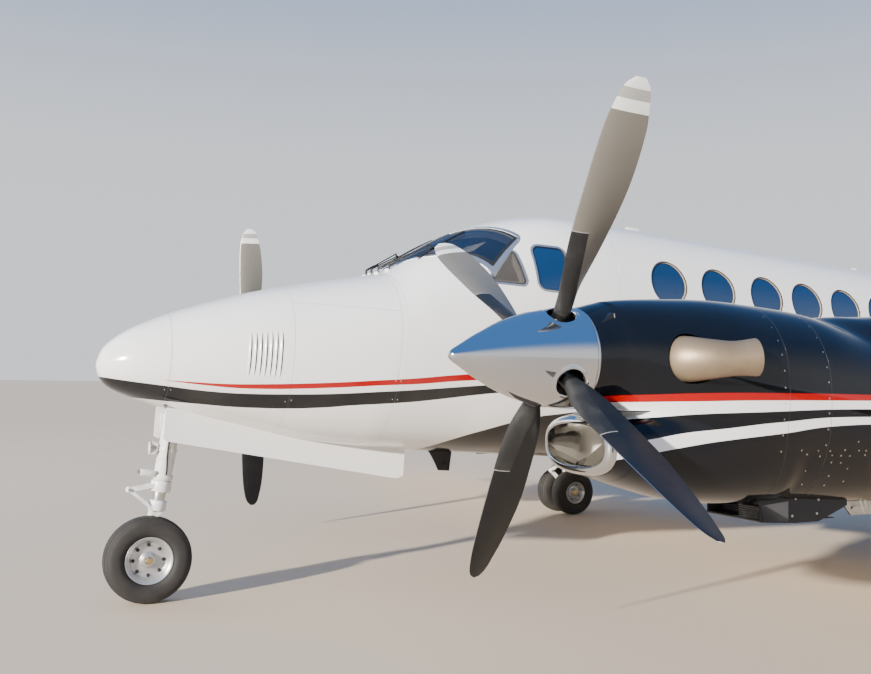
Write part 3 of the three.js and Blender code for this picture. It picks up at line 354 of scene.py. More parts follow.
def columns_at(table: Outline, x: float) -> list[float]:
    """Every column of a table at x, by the CAD's own smooth curve through the rows."""
    rows = sorted(table, key=lambda row: row[0])
    i = next((k for k, row in enumerate(rows) if row[0] >= x), len(rows) - 1)
    i = max(1, i)
    before, low, high, after = rows[max(0, i - 2)], rows[i - 1], rows[i], rows[min(len(rows) - 1, i + 1)]
    span = high[0] - low[0]
    t = (x - low[0]) / span
    values = []
    for c in range(1, len(low)):
        first, last = low is before, high is after
        slope_low = (high[c] - low[c]) / span if first else (high[c] - before[c]) / (high[0] - before[0])
        slope_high = (high[c] - low[c]) / span if last else (after[c] - low[c]) / (after[0] - low[0])
        h00, h10 = (1 + 2 * t) * (1 - t) ** 2, t * (1 - t) ** 2
        h01, h11 = t * t * (3 - 2 * t), t * t * (t - 1)
        values.append(h00 * low[c] + h10 * span * slope_low + h01 * high[c] + h11 * span * slope_high)
    return values


def spaced(start: float, end: float, step: float, extra: Iterable[float] = ()) -> list[float]:
    """Stations from start to end, falling, with named ones kept."""
    count = max(1, round(abs(start - end) / step))
    stations = set(np.linspace(start, end, count + 1).tolist())
    kept = [x for x in extra if min(start, end) < x < max(start, end)]
    stations = {s for s in stations if all(abs(s - k) > step * 0.35 for k in kept) or s in (start, end)}
    return sorted(stations | set(kept), reverse=start > end)


# Meshes and objects


def mesh_of(shape: Shape, materials: Sequence[bpy.types.Material] = (),
            name: str = "shape") -> bpy.types.Mesh:
    """Blender mesh of a shape."""
    mesh = bpy.data.meshes.new(name)
    mesh.from_pydata(shape.points.tolist(), [], shape.faces)
    for material in materials:
        mesh.materials.append(material)
    mesh.polygons.foreach_set("material_index", shape.paint)
    mesh.update()
    return mesh


def linked(name: str, mesh: bpy.types.Mesh) -> bpy.types.Object:
    """Object of a mesh, in the scene."""
    piece = bpy.data.objects.new(name, mesh)
    bpy.context.scene.collection.objects.link(piece)
    return piece


def evaluated(piece: bpy.types.Object) -> bpy.types.Mesh:
    """Mesh of an object with its modifiers applied; the object is removed."""
    graph = bpy.context.evaluated_depsgraph_get()
    graph.update()
    mesh = bpy.data.meshes.new_from_object(piece.evaluated_get(graph))
    bpy.data.objects.remove(piece)
    return mesh


def carved(base: Shape, minus: Sequence[Shape] = (), keep: Sequence[Shape] = (), plus: Sequence[Shape] = (),
           materials: Sequence[bpy.types.Material] = ()) -> Shape:
    """A solid cut by others.

    Args:
        base: The solid.
        minus: Solids cut away.
        keep: Solids whose common space with the base is kept.
        plus: Solids added before the cuts.
        materials: Materials by number, so that faces keep theirs.

    Returns:
        The cut solid.
    """
    piece = linked("base", mesh_of(base, materials))
    tools: list[bpy.types.Object] = []
    for group, operation in ((plus, "UNION"), (keep, "INTERSECT"), (minus, "DIFFERENCE")):
        for shape in group:
            tool = linked("tool", mesh_of(shape, materials))
            tools.append(tool)
            modifier = piece.modifiers.new("cut", "BOOLEAN")
            modifier.operation = operation
            modifier.solver = "MANIFOLD"
            modifier.object = tool
    mesh = evaluated(piece)
    for tool in tools:
        bpy.data.objects.remove(tool)
    points = np.zeros(len(mesh.vertices) * 3)
    mesh.vertices.foreach_get("co", points)
    faces = [tuple(p.vertices) for p in mesh.polygons]
    paint = [p.material_index for p in mesh.polygons]
    bpy.data.meshes.remove(mesh)
    return Shape(points.reshape(-1, 3), faces, paint)


SKIN_REACH = 0.0006
SKIN_AGREEMENT = 0.9


def skin_normals(mesh: bpy.types.Mesh, skins: Sequence[Shape], crease: float = 35.0) -> None:
    """Smooth normals for a cut mesh, taken from the uncut skins where its faces lie on them.

    Args:
        mesh: The mesh, which gets its own corner normals.
        skins: The uncut skins, in the mesh's frame.
        crease: Angle in degrees past which other edges stay sharp.
    """
    mesh.shade_smooth()
    mesh.set_sharp_from_angle(angle=math.radians(crease))
    corner = np.zeros(len(mesh.loops) * 3)
    mesh.corner_normals.foreach_get("vector", corner)
    corner = corner.reshape(-1, 3)
    sources = []
    for skin in skins:
        source = mesh_of(skin)
        source.shade_smooth()
        normals = np.zeros(len(source.vertices) * 3)
        source.vertices.foreach_get("normal", normals)
        tree = BVHTree.FromPolygons([Vector(p) for p in skin.points], skin.faces)
        sources.append((tree, skin, normals.reshape(-1, 3)))
        bpy.data.meshes.remove(source)
    found: dict[tuple[int, int], Array | None] = {}
    for polygon in mesh.polygons:
        face_normal = np.array(polygon.normal)
        for loop in polygon.loop_indices:
            index = mesh.loops[loop].vertex_index
            for number, (tree, skin, normals) in enumerate(sources):
                key = (index, number)
                if key not in found:
                    found[key] = _normal_on(tree, skin, normals, mesh.vertices[index].co)
                value = found[key]
                if value is not None and float(np.dot(value, face_normal)) > SKIN_AGREEMENT:
                    corner[loop] = value
                    break
    mesh.normals_split_custom_set([Vector(n) for n in corner])


def _normal_on(tree: BVHTree, skin: Shape, normals: Array, point: Vector) -> Array | None:
    """Blended normal of a skin at a point on it, or None away from it."""
    place, _, face, distance = tree.find_nearest(point, SKIN_REACH * 4)
    if face is None or distance > SKIN_REACH:
        return None
    corners = skin.faces[face]
    weights = poly_3d_calc([Vector(skin.points[i]) for i in corners], place)
    value = sum(w * normals[i] for w, i in zip(weights, corners))
    length = float(np.linalg.norm(value))
    return value / length if length > 1e-6 else None


@dataclass(frozen=True)
class Fitting:
    """How a finished piece is tied to the CAD frame."""

    body: str = "airframe"
    slot: str = "white"
    replaces: tuple[str, ...] = ()


def finish_piece(name: str, shape: Shape, materials: Sequence[bpy.types.Material], fitting: Fitting,
                 skins: Sequence[Shape] = (), crease: float = 35.0) -> bpy.types.Object:
    """Makes a finished piece of a shape in the row's frame and ties it to the frame.

    Args:
        name: Name of the piece.
        shape: Its surface, in metres.
        materials: Materials by number.
        fitting: Body, slot and replaced nodes.
        skins: Uncut skins whose normals it keeps.
        crease: Angle in degrees past which edges are sharp.

    Returns:
        The piece.
    """
    mesh = mesh_of(shape, materials, name)
    if skins:
        skin_normals(mesh, skins, crease)
    else:
        mesh.shade_smooth()
        mesh.set_sharp_from_angle(angle=math.radians(crease))
    piece = linked(name, mesh)
    tie(piece, fitting)
    return piece


def tie(piece: bpy.types.Object, fitting: Fitting) -> None:
    """Rides and swaps a piece for its nodes, and reports it."""
    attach(piece, fitting.body)
    if fitting.replaces:
        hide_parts(*fitting.replaces)
    triangles = sum(len(p.vertices) - 2 for p in piece.data.polygons)
    LOG.info("%s: %d triangles on %s", piece.name, triangles, fitting.body)


# Shader graphs


PAINT_EDGE = 0.0006
JOINT_HALF = 0.0011
SEAM_HALF = 0.0009


class Graph:
    """Short words for building a node tree."""

    def __init__(self, tree: bpy.types.NodeTree) -> None:
        """Takes the tree that the nodes go into."""
        self.tree = tree

    def add(self, kind: str, **inputs: object) -> bpy.types.Node:
        """Adds a node; inputs are named by socket, with _ for a space."""
        node = self.tree.nodes.new(kind)
        for name, value in inputs.items():
            self.feed(node.inputs[name.replace("_", " ")], value)
        return node

    def feed(self, socket: bpy.types.NodeSocket, value: object) -> None:
        """Links a socket, or sets it to a value."""
        if isinstance(value, bpy.types.NodeSocket):
            self.tree.links.new(value, socket)
        elif value is not None:
            socket.default_value = value

    def math(self, operation: str, *values: object) -> bpy.types.NodeSocket:
        """Result of a Math node."""
        node = self.tree.nodes.new("ShaderNodeMath")
        node.operation = operation
        for socket, value in zip(node.inputs, values):
            self.feed(socket, value)
        return node.outputs[0]

    def remap(self, value: object, low: float, high: float, to_low: float = 0.0, to_high: float = 1.0,
              smooth: bool = False) -> bpy.types.NodeSocket:
        """Value carried from one range to another, clamped."""
        node = self.tree.nodes.new("ShaderNodeMapRange")
        node.interpolation_type = "SMOOTHSTEP" if smooth else "LINEAR"
        for socket, item in zip(node.inputs, (value, low, high, to_low, to_high)):
            self.feed(socket, item)
        return node.outputs[0]

    def blend(self, mask: object, first: object, second: object) -> bpy.types.NodeSocket:
        """Colour mixed from the first to the second by a mask."""
        node = self.tree.nodes.new("ShaderNodeMix")
        node.data_type = "RGBA"
        self.feed(node.inputs[0], mask)
        self.feed(node.inputs[6], first)
        self.feed(node.inputs[7], second)
        return node.outputs[2]

    def noise(self, place: object, scale: float, detail: float = 3.0,
              rough: float = 0.5) -> bpy.types.NodeSocket:
        """Value of a noise texture."""
        node = self.add("ShaderNodeTexNoise", Scale=scale, Detail=detail, Roughness=rough)
        self.feed(node.inputs["Vector"], place)
        return node.outputs["Fac"]

    def split(self, vector: object) -> tuple[bpy.types.NodeSocket, ...]:
        """The three parts of a vector."""
        node = self.tree.nodes.new("ShaderNodeSeparateXYZ")
        self.feed(node.inputs[0], vector)
        return tuple(node.outputs)

    def place(self, turn: float = 0.0, offset: Sequence[float] = (0, 0, 0)) -> bpy.types.NodeSocket:
        """Object coordinates, turned about Y and shifted."""
        source = self.tree.nodes.new("ShaderNodeTexCoord")
        node = self.tree.nodes.new("ShaderNodeMapping")
        self.tree.links.new(source.outputs["Object"], node.inputs["Vector"])
        node.inputs["Rotation"].default_value = (0, turn, 0)
        node.inputs["Location"].default_value = tuple(offset)
        return node.outputs[0]

    def curve(self, value: object, pairs: Outline) -> bpy.types.NodeSocket:
        """Height of a smooth curve through (x, height) pairs."""
        xs, zs = [p[0] for p in pairs], [p[1] for p in pairs]
        low, high = min(xs), max(xs)
        floor, roof = min(zs), max(max(zs), min(zs) + 1e-3)
        share = self.remap(value, low, high)
        node = self.tree.nodes.new("ShaderNodeFloatCurve")
        line = node.mapping.curves[0]
        points = sorted(((x - low) / (high - low), (z - floor) / (roof - floor)) for x, z in pairs)
        while len(line.points) < len(points):
            line.points.new(0.5, 0.5)
        for knot, (x, z) in zip(line.points, points):
            knot.location = (x, z)
            knot.handle_type = "AUTO_CLAMPED"
        node.mapping.update()
        self.feed(node.inputs["Value"], share)
        return self.remap(node.outputs[0], 0, 1, floor, roof)

    def between(self, value: object, low: object, high: object) -> bpy.types.NodeSocket:
        """Mask that is 1 where a value lies between two others."""
        above = self.remap(self.math("SUBTRACT", value, low), -PAINT_EDGE, PAINT_EDGE)
        below = self.remap(self.math("SUBTRACT", high, value), -PAINT_EDGE, PAINT_EDGE)
        return self.math("MULTIPLY", above, below)

    def near(self, value: object, target: float, half: float) -> bpy.types.NodeSocket:
        """Mask of a thin line at one value."""
        away = self.math("ABSOLUTE", self.math("SUBTRACT", value, target))
        return self.remap(away, half + PAINT_EDGE, max(half - PAINT_EDGE, 0.0))

    def most(self, masks: Sequence[object]) -> bpy.types.NodeSocket:
        """The strongest of several masks."""
        value = masks[0]
        for mask in masks[1:]:
            value = self.math("MAXIMUM", value, mask)
        return value


def new_group(name: str, inputs: dict[str, tuple[str, object]],
              outputs: dict[str, str]) -> tuple[bpy.types.NodeTree, Graph]:
    """Empty shader node group with named sockets."""
    tree = bpy.data.node_groups.new(name, "ShaderNodeTree")
    kinds = {"value": "NodeSocketFloat", "colour": "NodeSocketColor", "vector": "NodeSocketVector"}
    for label, (kind, default) in inputs.items():
        socket = tree.interface.new_socket(name=label, in_out="INPUT", socket_type=kinds[kind])
        if default is not None:
            socket.default_value = default
    for label, kind in outputs.items():
        tree.interface.new_socket(name=label, in_out="OUTPUT", socket_type=kinds[kind])
    return tree, Graph(tree)


class Effects:
    """Shader groups that several finishes share, each built once."""

    def __init__(self) -> None:
        """Builds the groups."""
        self.weather = self._weather()
        self.grain = self._grain()

    def _weather(self) -> bpy.types.NodeTree:
        """Broad soiling and fine flecks over a colour, with its roughness."""
        tree, g = new_group(
            "weathering",
            {
                "Place": ("vector", None),
                "Colour": ("colour", (1, 1, 1, 1)),
                "Dirt": ("colour", (0.2, 0.16, 0.12, 1)),
                "Amount": ("value", 0.1),
                "Scale": ("value", 3.0),
                "Gloss": ("value", 0.2),
                "Wear": ("value", 0.1),
            },
            {"Colour": "colour", "Roughness": "value"},
        )
        start, end = g.add("NodeGroupInput"), g.add("NodeGroupOutput")
        pick = start.outputs
        broad = g.add("ShaderNodeTexNoise", Detail=4.0, Roughness=0.6)
        g.feed(broad.inputs["Vector"], pick["Place"])
        g.feed(broad.inputs["Scale"], pick["Scale"])
        fine = g.add("ShaderNodeTexNoise", Detail=2.0)
        g.feed(fine.inputs["Vector"], pick["Place"])
        g.feed(fine.inputs["Scale"], g.math("MULTIPLY", pick["Scale"], 14.0))
        cloud = g.remap(broad.outputs["Fac"], 0.42, 0.72, smooth=True)
        fleck = g.remap(fine.outputs["Fac"], 0.58, 0.75)
        mask = g.math("ADD", g.math("MULTIPLY", cloud, 0.75), g.math("MULTIPLY", fleck, 0.25))
        g.feed(end.inputs["Colour"],
               g.blend(g.math("MULTIPLY", mask, pick["Amount"]), pick["Colour"], pick["Dirt"]))
        g.feed(end.inputs["Roughness"],
               g.math("ADD", pick["Gloss"], g.math("MULTIPLY", mask, pick["Wear"])))
        return tree

    def _grain(self) -> bpy.types.NodeTree:
        """Height of a fine surface grain, from orange peel to cast pits."""
        tree, g = new_group(
            "surface grain",
            {"Place": ("vector", None), "Scale": ("value", 60.0), "Pits": ("value", 0.3)},
            {"Height": "value"},
        )
        start, end = g.add("NodeGroupInput"), g.add("NodeGroupOutput")
        pick = start.outputs
        waves = g.add("ShaderNodeTexNoise", Detail=2.0)
        g.feed(waves.inputs["Vector"], pick["Place"])
        g.feed(waves.inputs["Scale"], pick["Scale"])
        cells = g.add("ShaderNodeTexVoronoi")
        g.feed(cells.inputs["Vector"], pick["Place"])
        g.feed(cells.inputs["Scale"], g.math("MULTIPLY", pick["Scale"], 4.0))
        height = g.math("ADD", waves.outputs["Fac"],
                        g.math("MULTIPLY", cells.outputs["Distance"], pick["Pits"]))
        g.feed(end.inputs["Height"], height)
        return tree


Colour = tuple[float, float, float, float]
Paint = tuple[object, object, object]
SEAM_DEPTH = 0.002


@dataclass(frozen=True)
class Finish:
    """A material of one base colour, with soiling, grain and gloss at the real scale."""

    name: str
    colour: Colour
    gloss: float = 0.3
    metallic: float = 0.0
    dirt: Colour = (0.16, 0.13, 0.1, 1)
    amount: float = 0.12
    scale: float = 3.0
    wear: float = 0.12
    grain: float = 120.0
    pits: float = 0.2
    bump: float = 0.02
    depth: float = 0.0004
    coat: float = 0.0
    coat_rough: float = 0.05
    specular: float = 0.5
    alpha: float = 1.0

    def build(self, effects: Effects) -> bpy.types.Material:
        """The finished material."""
        material = bpy.data.materials.new(self.name)
        material.use_nodes = True
        material.diffuse_color = self.colour
        g = Graph(material.node_tree)
        shader = material.node_tree.nodes["Principled BSDF"]
        values = {"Metallic": self.metallic, "Coat Weight": self.coat, "Coat Roughness": self.coat_rough,
                  "Specular IOR Level": self.specular, "Alpha": self.alpha}
        for label, value in values.items():
            shader.inputs[label].default_value = value
        place = self._place(g)
        colour, rough, sunk = self._paint(g, effects, place)
        g.feed(shader.inputs["Base Color"], colour)
        g.feed(shader.inputs["Roughness"], rough)
        self._texture(g, effects, place, shader, sunk)
        return material

    def _place(self, g: Graph) -> bpy.types.NodeSocket:
        """Coordinates that the pattern follows: the piece's own."""
        return g.place()

    def _paint(self, g: Graph, effects: Effects, place: object) -> Paint:
        """Colour, roughness and sunk lines; here soiled paint without lines."""
        return (*self._soiled(g, effects, place, self.colour), None)

    def _soiled(self, g: Graph, effects: Effects, place: object,
                colour: object) -> tuple[bpy.types.NodeSocket, ...]:
        """Colour and roughness after soiling."""
        node = g.tree.nodes.new("ShaderNodeGroup")
        node.node_tree = effects.weather
        values = {"Place": place, "Colour": colour, "Dirt": self.dirt, "Amount": self.amount,
                  "Scale": self.scale, "Gloss": self.gloss, "Wear": self.wear}
        for label, value in values.items():
            g.feed(node.inputs[label], value)
        return node.outputs["Colour"], node.outputs["Roughness"]

    def _texture(self, g: Graph, effects: Effects, place: object, shader: bpy.types.Node,
                 sunk: object) -> None:
        """Grain and sunk lines as bump."""
        node = g.tree.nodes.new("ShaderNodeGroup")
        node.node_tree = effects.grain
        for label, value in {"Place": place, "Scale": self.grain, "Pits": self.pits}.items():
            g.feed(node.inputs[label], value)
        normal = g.add("ShaderNodeBump", Strength=self.bump, Distance=self.depth)
        g.feed(normal.inputs["Height"], node.outputs["Height"])
        if sunk is not None:
            lines = g.add("ShaderNodeBump", Strength=1.0, Distance=SEAM_DEPTH)
            lines.invert = True
            g.feed(lines.inputs["Height"], sunk)
            g.feed(lines.inputs["Normal"], normal.outputs[0])
            normal = lines
        g.feed(shader.inputs["Normal"], normal.outputs[0])


WHITE: Colour = (0.86, 0.845, 0.815, 1)
RED: Colour = (0.36, 0.0008, 0.0015, 1)
BLACK: Colour = (0.004, 0.0045, 0.006, 1)

# Paint lines along the fuselage, in metres in the airframe's frame: (x, height) pairs
STRIPE_TOP = ((-12.3, 3.03), (-9.0, 2.385), (-6.5, 1.99), (-4.0, 1.80), (-2.2, 1.69), (-1.3, 1.622),
              (-0.55, 1.543), (-0.173, 1.486), (0.034, 1.46), (0.372, 1.418), (0.806, 1.376),
              (0.987, 1.364), (1.25, 1.36), (1.8, 1.36))
STRIPE_WIDTH = ((-12.3, 0.06), (-6.5, 0.055), (-2.2, 0.046), (-0.39, 0.042), (0.03, 0.035), (0.61, 0.033),
                (0.8, 0.03), (0.89, 0.027), (0.984, 0.023), (1.075, 0.017), (1.166, 0.013), (1.255, 0.008),
                (1.344, 0.003), (1.43, 0.0), (1.8, 0.0))
BAND_TOP = ((-12.3, 2.94), (-9.0, 2.295), (-6.5, 1.905), (-4.0, 1.72), (-2.2, 1.62), (-1.3, 1.555),
            (-0.675, 1.477), (-0.4, 1.439), (-0.186, 1.41), (0.021, 1.385), (0.36, 1.346), (0.608, 1.326),
            (0.795, 1.314), (0.978, 1.308), (1.159, 1.312), (1.339, 1.324), (1.514, 1.335), (1.65, 1.346),
            (1.8, 1.362))
BAND_BOTTOM = ((-12.3, 2.90), (-9.0, 2.25), (-6.5, 1.85), (-4.0, 1.665), (-2.2, 1.57), (-1.3, 1.50),
               (-0.8, 1.434), (-0.634, 1.407), (-0.417, 1.368), (-0.204, 1.332), (0.003, 1.305),
               (0.202, 1.281), (0.34, 1.26), (0.586, 1.234), (0.772, 1.224), (0.955, 1.22), (1.138, 1.224),
               (1.313, 1.227), (1.505, 1.234), (1.8, 1.245))
BELLY_TOP = ((-12.3, 2.8), (-9.0, 2.1), (-6.5, 1.62), (-4.0, 1.46), (-2.3, 1.4), (-1.494, 1.345),
             (-1.35, 1.321), (-1.21, 1.298), (-1.093, 1.266), (-0.977, 1.234), (-0.843, 1.186),
             (-0.718, 1.138), (-0.605, 1.086), (-0.507, 1.032), (-0.42, 0.97), (-0.36, 0.9), (1.8, 0.88))


@dataclass(frozen=True)
class Livery(Finish):
    """White fuselage paint with its red line, black band, black belly and panel joints."""

    joints: tuple[float, ...] = (1.328, 0.604, -0.082, -1.752, -7.4)
    seams: tuple[float, ...] = (-9.3, -10.6)
    locker: tuple[float, ...] = (-0.082, 0.604, 1.03, 1.93)
    belly_seam: tuple[float, ...] = (-0.735, 1.29)
    joints_end: tuple[float, ...] = (0.95, 1.0)
    joint_tint: Colour = (0.09, 0.08, 0.07, 1)
    joint_strength: float = 0.3

    def _place(self, g: Graph) -> bpy.types.NodeSocket:
        """Coordinates of the airframe, as it stands nose up."""
        cosine, sine = math.cos(ATTITUDE), math.sin(ATTITUDE)
        return g.place(ATTITUDE, (-SHIFT * cosine - sine, 0, SHIFT * sine + 1 - cosine))

    def _paint(self, g: Graph, effects: Effects, place: object) -> Paint:
        """Line, band, belly and joints over the white."""
        x, _, z = g.split(place)
        top = g.curve(x, STRIPE_TOP)
        red = g.between(z, g.math("SUBTRACT", top, g.curve(x, STRIPE_WIDTH)), top)
        band = g.between(z, g.curve(x, BAND_BOTTOM), g.curve(x, BAND_TOP))
        belly = g.remap(g.math("SUBTRACT", g.curve(x, BELLY_TOP), z), -PAINT_EDGE, PAINT_EDGE)
        colour = g.blend(red, g.blend(g.math("MAXIMUM", band, belly), self.colour, BLACK), RED)
        sides = g.remap(z, *self.joints_end)
        lines = [g.near(x, at, JOINT_HALF) for at in self.joints]
        aft, front, low, high = self.locker
        lines += [g.math("MULTIPLY", g.near(z, at, SEAM_HALF), g.between(x, aft, front))
                  for at in (high, low)]
        at, roof = self.belly_seam
        lines.append(g.math("MULTIPLY", g.near(x, at, SEAM_HALF), g.remap(z, roof + 0.002, roof - 0.002)))
        lines += [g.near(x, at, SEAM_HALF) for at in self.seams]
        seam = g.math("MULTIPLY", g.most(lines), sides)
        colour = g.blend(g.math("MULTIPLY", seam, self.joint_strength), colour, self.joint_tint)
        return (*self._soiled(g, effects, place, colour), seam)


# Paint lines along each nacelle, in metres from the propeller plane, level with the ground
COWL_RED_TOP = ((-5.3, 1.18), (-4.3, 1.28), (-3.2, 1.37), (-2.3, 1.415), (-1.59, 1.433), (-0.944, 1.436),
                (-0.656, 1.432), (-0.384, 1.421), (-0.06, 1.398))
COWL_RED_LOW = ((-5.3, 1.17), (-4.3, 1.256), (-3.2, 1.342), (-2.3, 1.385), (-1.59, 1.402), (-0.944, 1.400),
                (-0.656, 1.394), (-0.393, 1.387), (-0.06, 1.366))
COWL_WHITE_LOW = ((-5.3, 1.15), (-4.3, 1.225), (-3.2, 1.305), (-2.3, 1.345), (-1.59, 1.359),
                  (-0.949, 1.344), (-0.666, 1.335), (-0.415, 1.315), (-0.06, 1.285))
COWL_SECOND_TOP = ((-5.3, 1.14), (-4.3, 1.21), (-3.2, 1.285), (-2.3, 1.318), (-1.59, 1.320),
                   (-1.094, 1.296), (-0.751, 1.264), (-0.585, 1.249), (-0.4, 1.222), (-0.06, 1.17))
COWL_SECOND_LOW = ((-5.3, 1.12), (-4.3, 1.185), (-3.2, 1.255), (-2.3, 1.285), (-1.59, 1.281),
                   (-1.103, 1.241), (-0.763, 1.209), (-0.603, 1.189), (-0.4, 1.158), (-0.06, 1.1))


@dataclass(frozen=True)
class EngineFinish(Finish):
    """A finish whose pattern is measured from the propeller plane, level with the ground."""

    def _place(self, g: Graph) -> bpy.types.NodeSocket:
        """Coordinates from the propeller plane."""
        return g.place(0, (-SHIFT, 0, 0))


@dataclass(frozen=True)
class CowlPaint(EngineFinish):
    """Gloss black nacelle paint with one red and two white lines and cowl joints."""

    joints: tuple[float, ...] = (-1.13, -1.402, -2.27)
    joint_tint: Colour = (0.03, 0.03, 0.03, 1)
    joint_strength: float = 0.7

    def _paint(self, g: Graph, effects: Effects, place: object) -> Paint:
        """Lines and joints over the black."""
        x, _, z = g.split(place)
        low = g.curve(x, COWL_RED_LOW)
        red = g.between(z, low, g.curve(x, COWL_RED_TOP))
        first = g.between(z, g.curve(x, COWL_WHITE_LOW), low)
        second = g.between(z, g.curve(x, COWL_SECOND_LOW), g.curve(x, COWL_SECOND_TOP))
        colour = g.blend(g.math("MAXIMUM", first, second), self.colour, WHITE)
        colour = g.blend(red, colour, RED)
        seam = g.most([g.near(x, at, JOINT_HALF) for at in self.joints])
        colour = g.blend(g.math("MULTIPLY", seam, self.joint_strength), colour, self.joint_tint)
        return (*self._soiled(g, effects, place, colour), seam)


@dataclass(frozen=True)
class TyreRubber(Finish):
    """Worn rubber with scuffed rings and dust."""

    ring_share: float = 0.4
    dust_share: float = 0.6
    cover: float = 0.55
    dusty_gloss: float = 0.95

    def _paint(self, g: Graph, effects: Effects, place: object) -> Paint:
        """Dust in rings and patches over the rubber."""
        _, y, _ = g.split(place)
        rings = g.noise(y, 90.0, 1.0)
        dust = g.remap(g.noise(place, 9.0, 5.0, 0.65), 0.4, 0.75)
        both_marks = g.math("ADD", g.math("MULTIPLY", rings, self.ring_share),
                            g.math("MULTIPLY", dust, self.dust_share))
        mask = g.math("MULTIPLY", both_marks, self.cover)
        rough = g.remap(mask, 0, 1, self.gloss, self.dusty_gloss)
        return g.blend(mask, self.colour, self.dirt), rough, None


@dataclass(frozen=True)
class HeatedMetal(EngineFinish):
    """Exhaust metal tanned by heat, darker towards its mouth."""

    soot_run: tuple[float, float] = (-0.74, -0.88)
    soot_share: float = 0.35
    soot_colour: Colour = (0.2, 0.15, 0.1, 1)

    def _paint(self, g: Graph, effects: Effects, place: object) -> Paint:
        """Patchy tan with soot near the mouth."""
        x, _, _ = g.split(place)
        tan = g.remap(g.noise(place, 7.0, 4.0, 0.6), 0.35, 0.7, smooth=True)
        colour = g.blend(tan, self.colour, self.dirt)
        soot = g.remap(x, *self.soot_run, 0.0, self.soot_share, smooth=True)
        colour = g.blend(soot, colour, self.soot_colour)
        return colour, g.remap(tan, 0, 1, self.gloss, self.gloss + self.wear), None


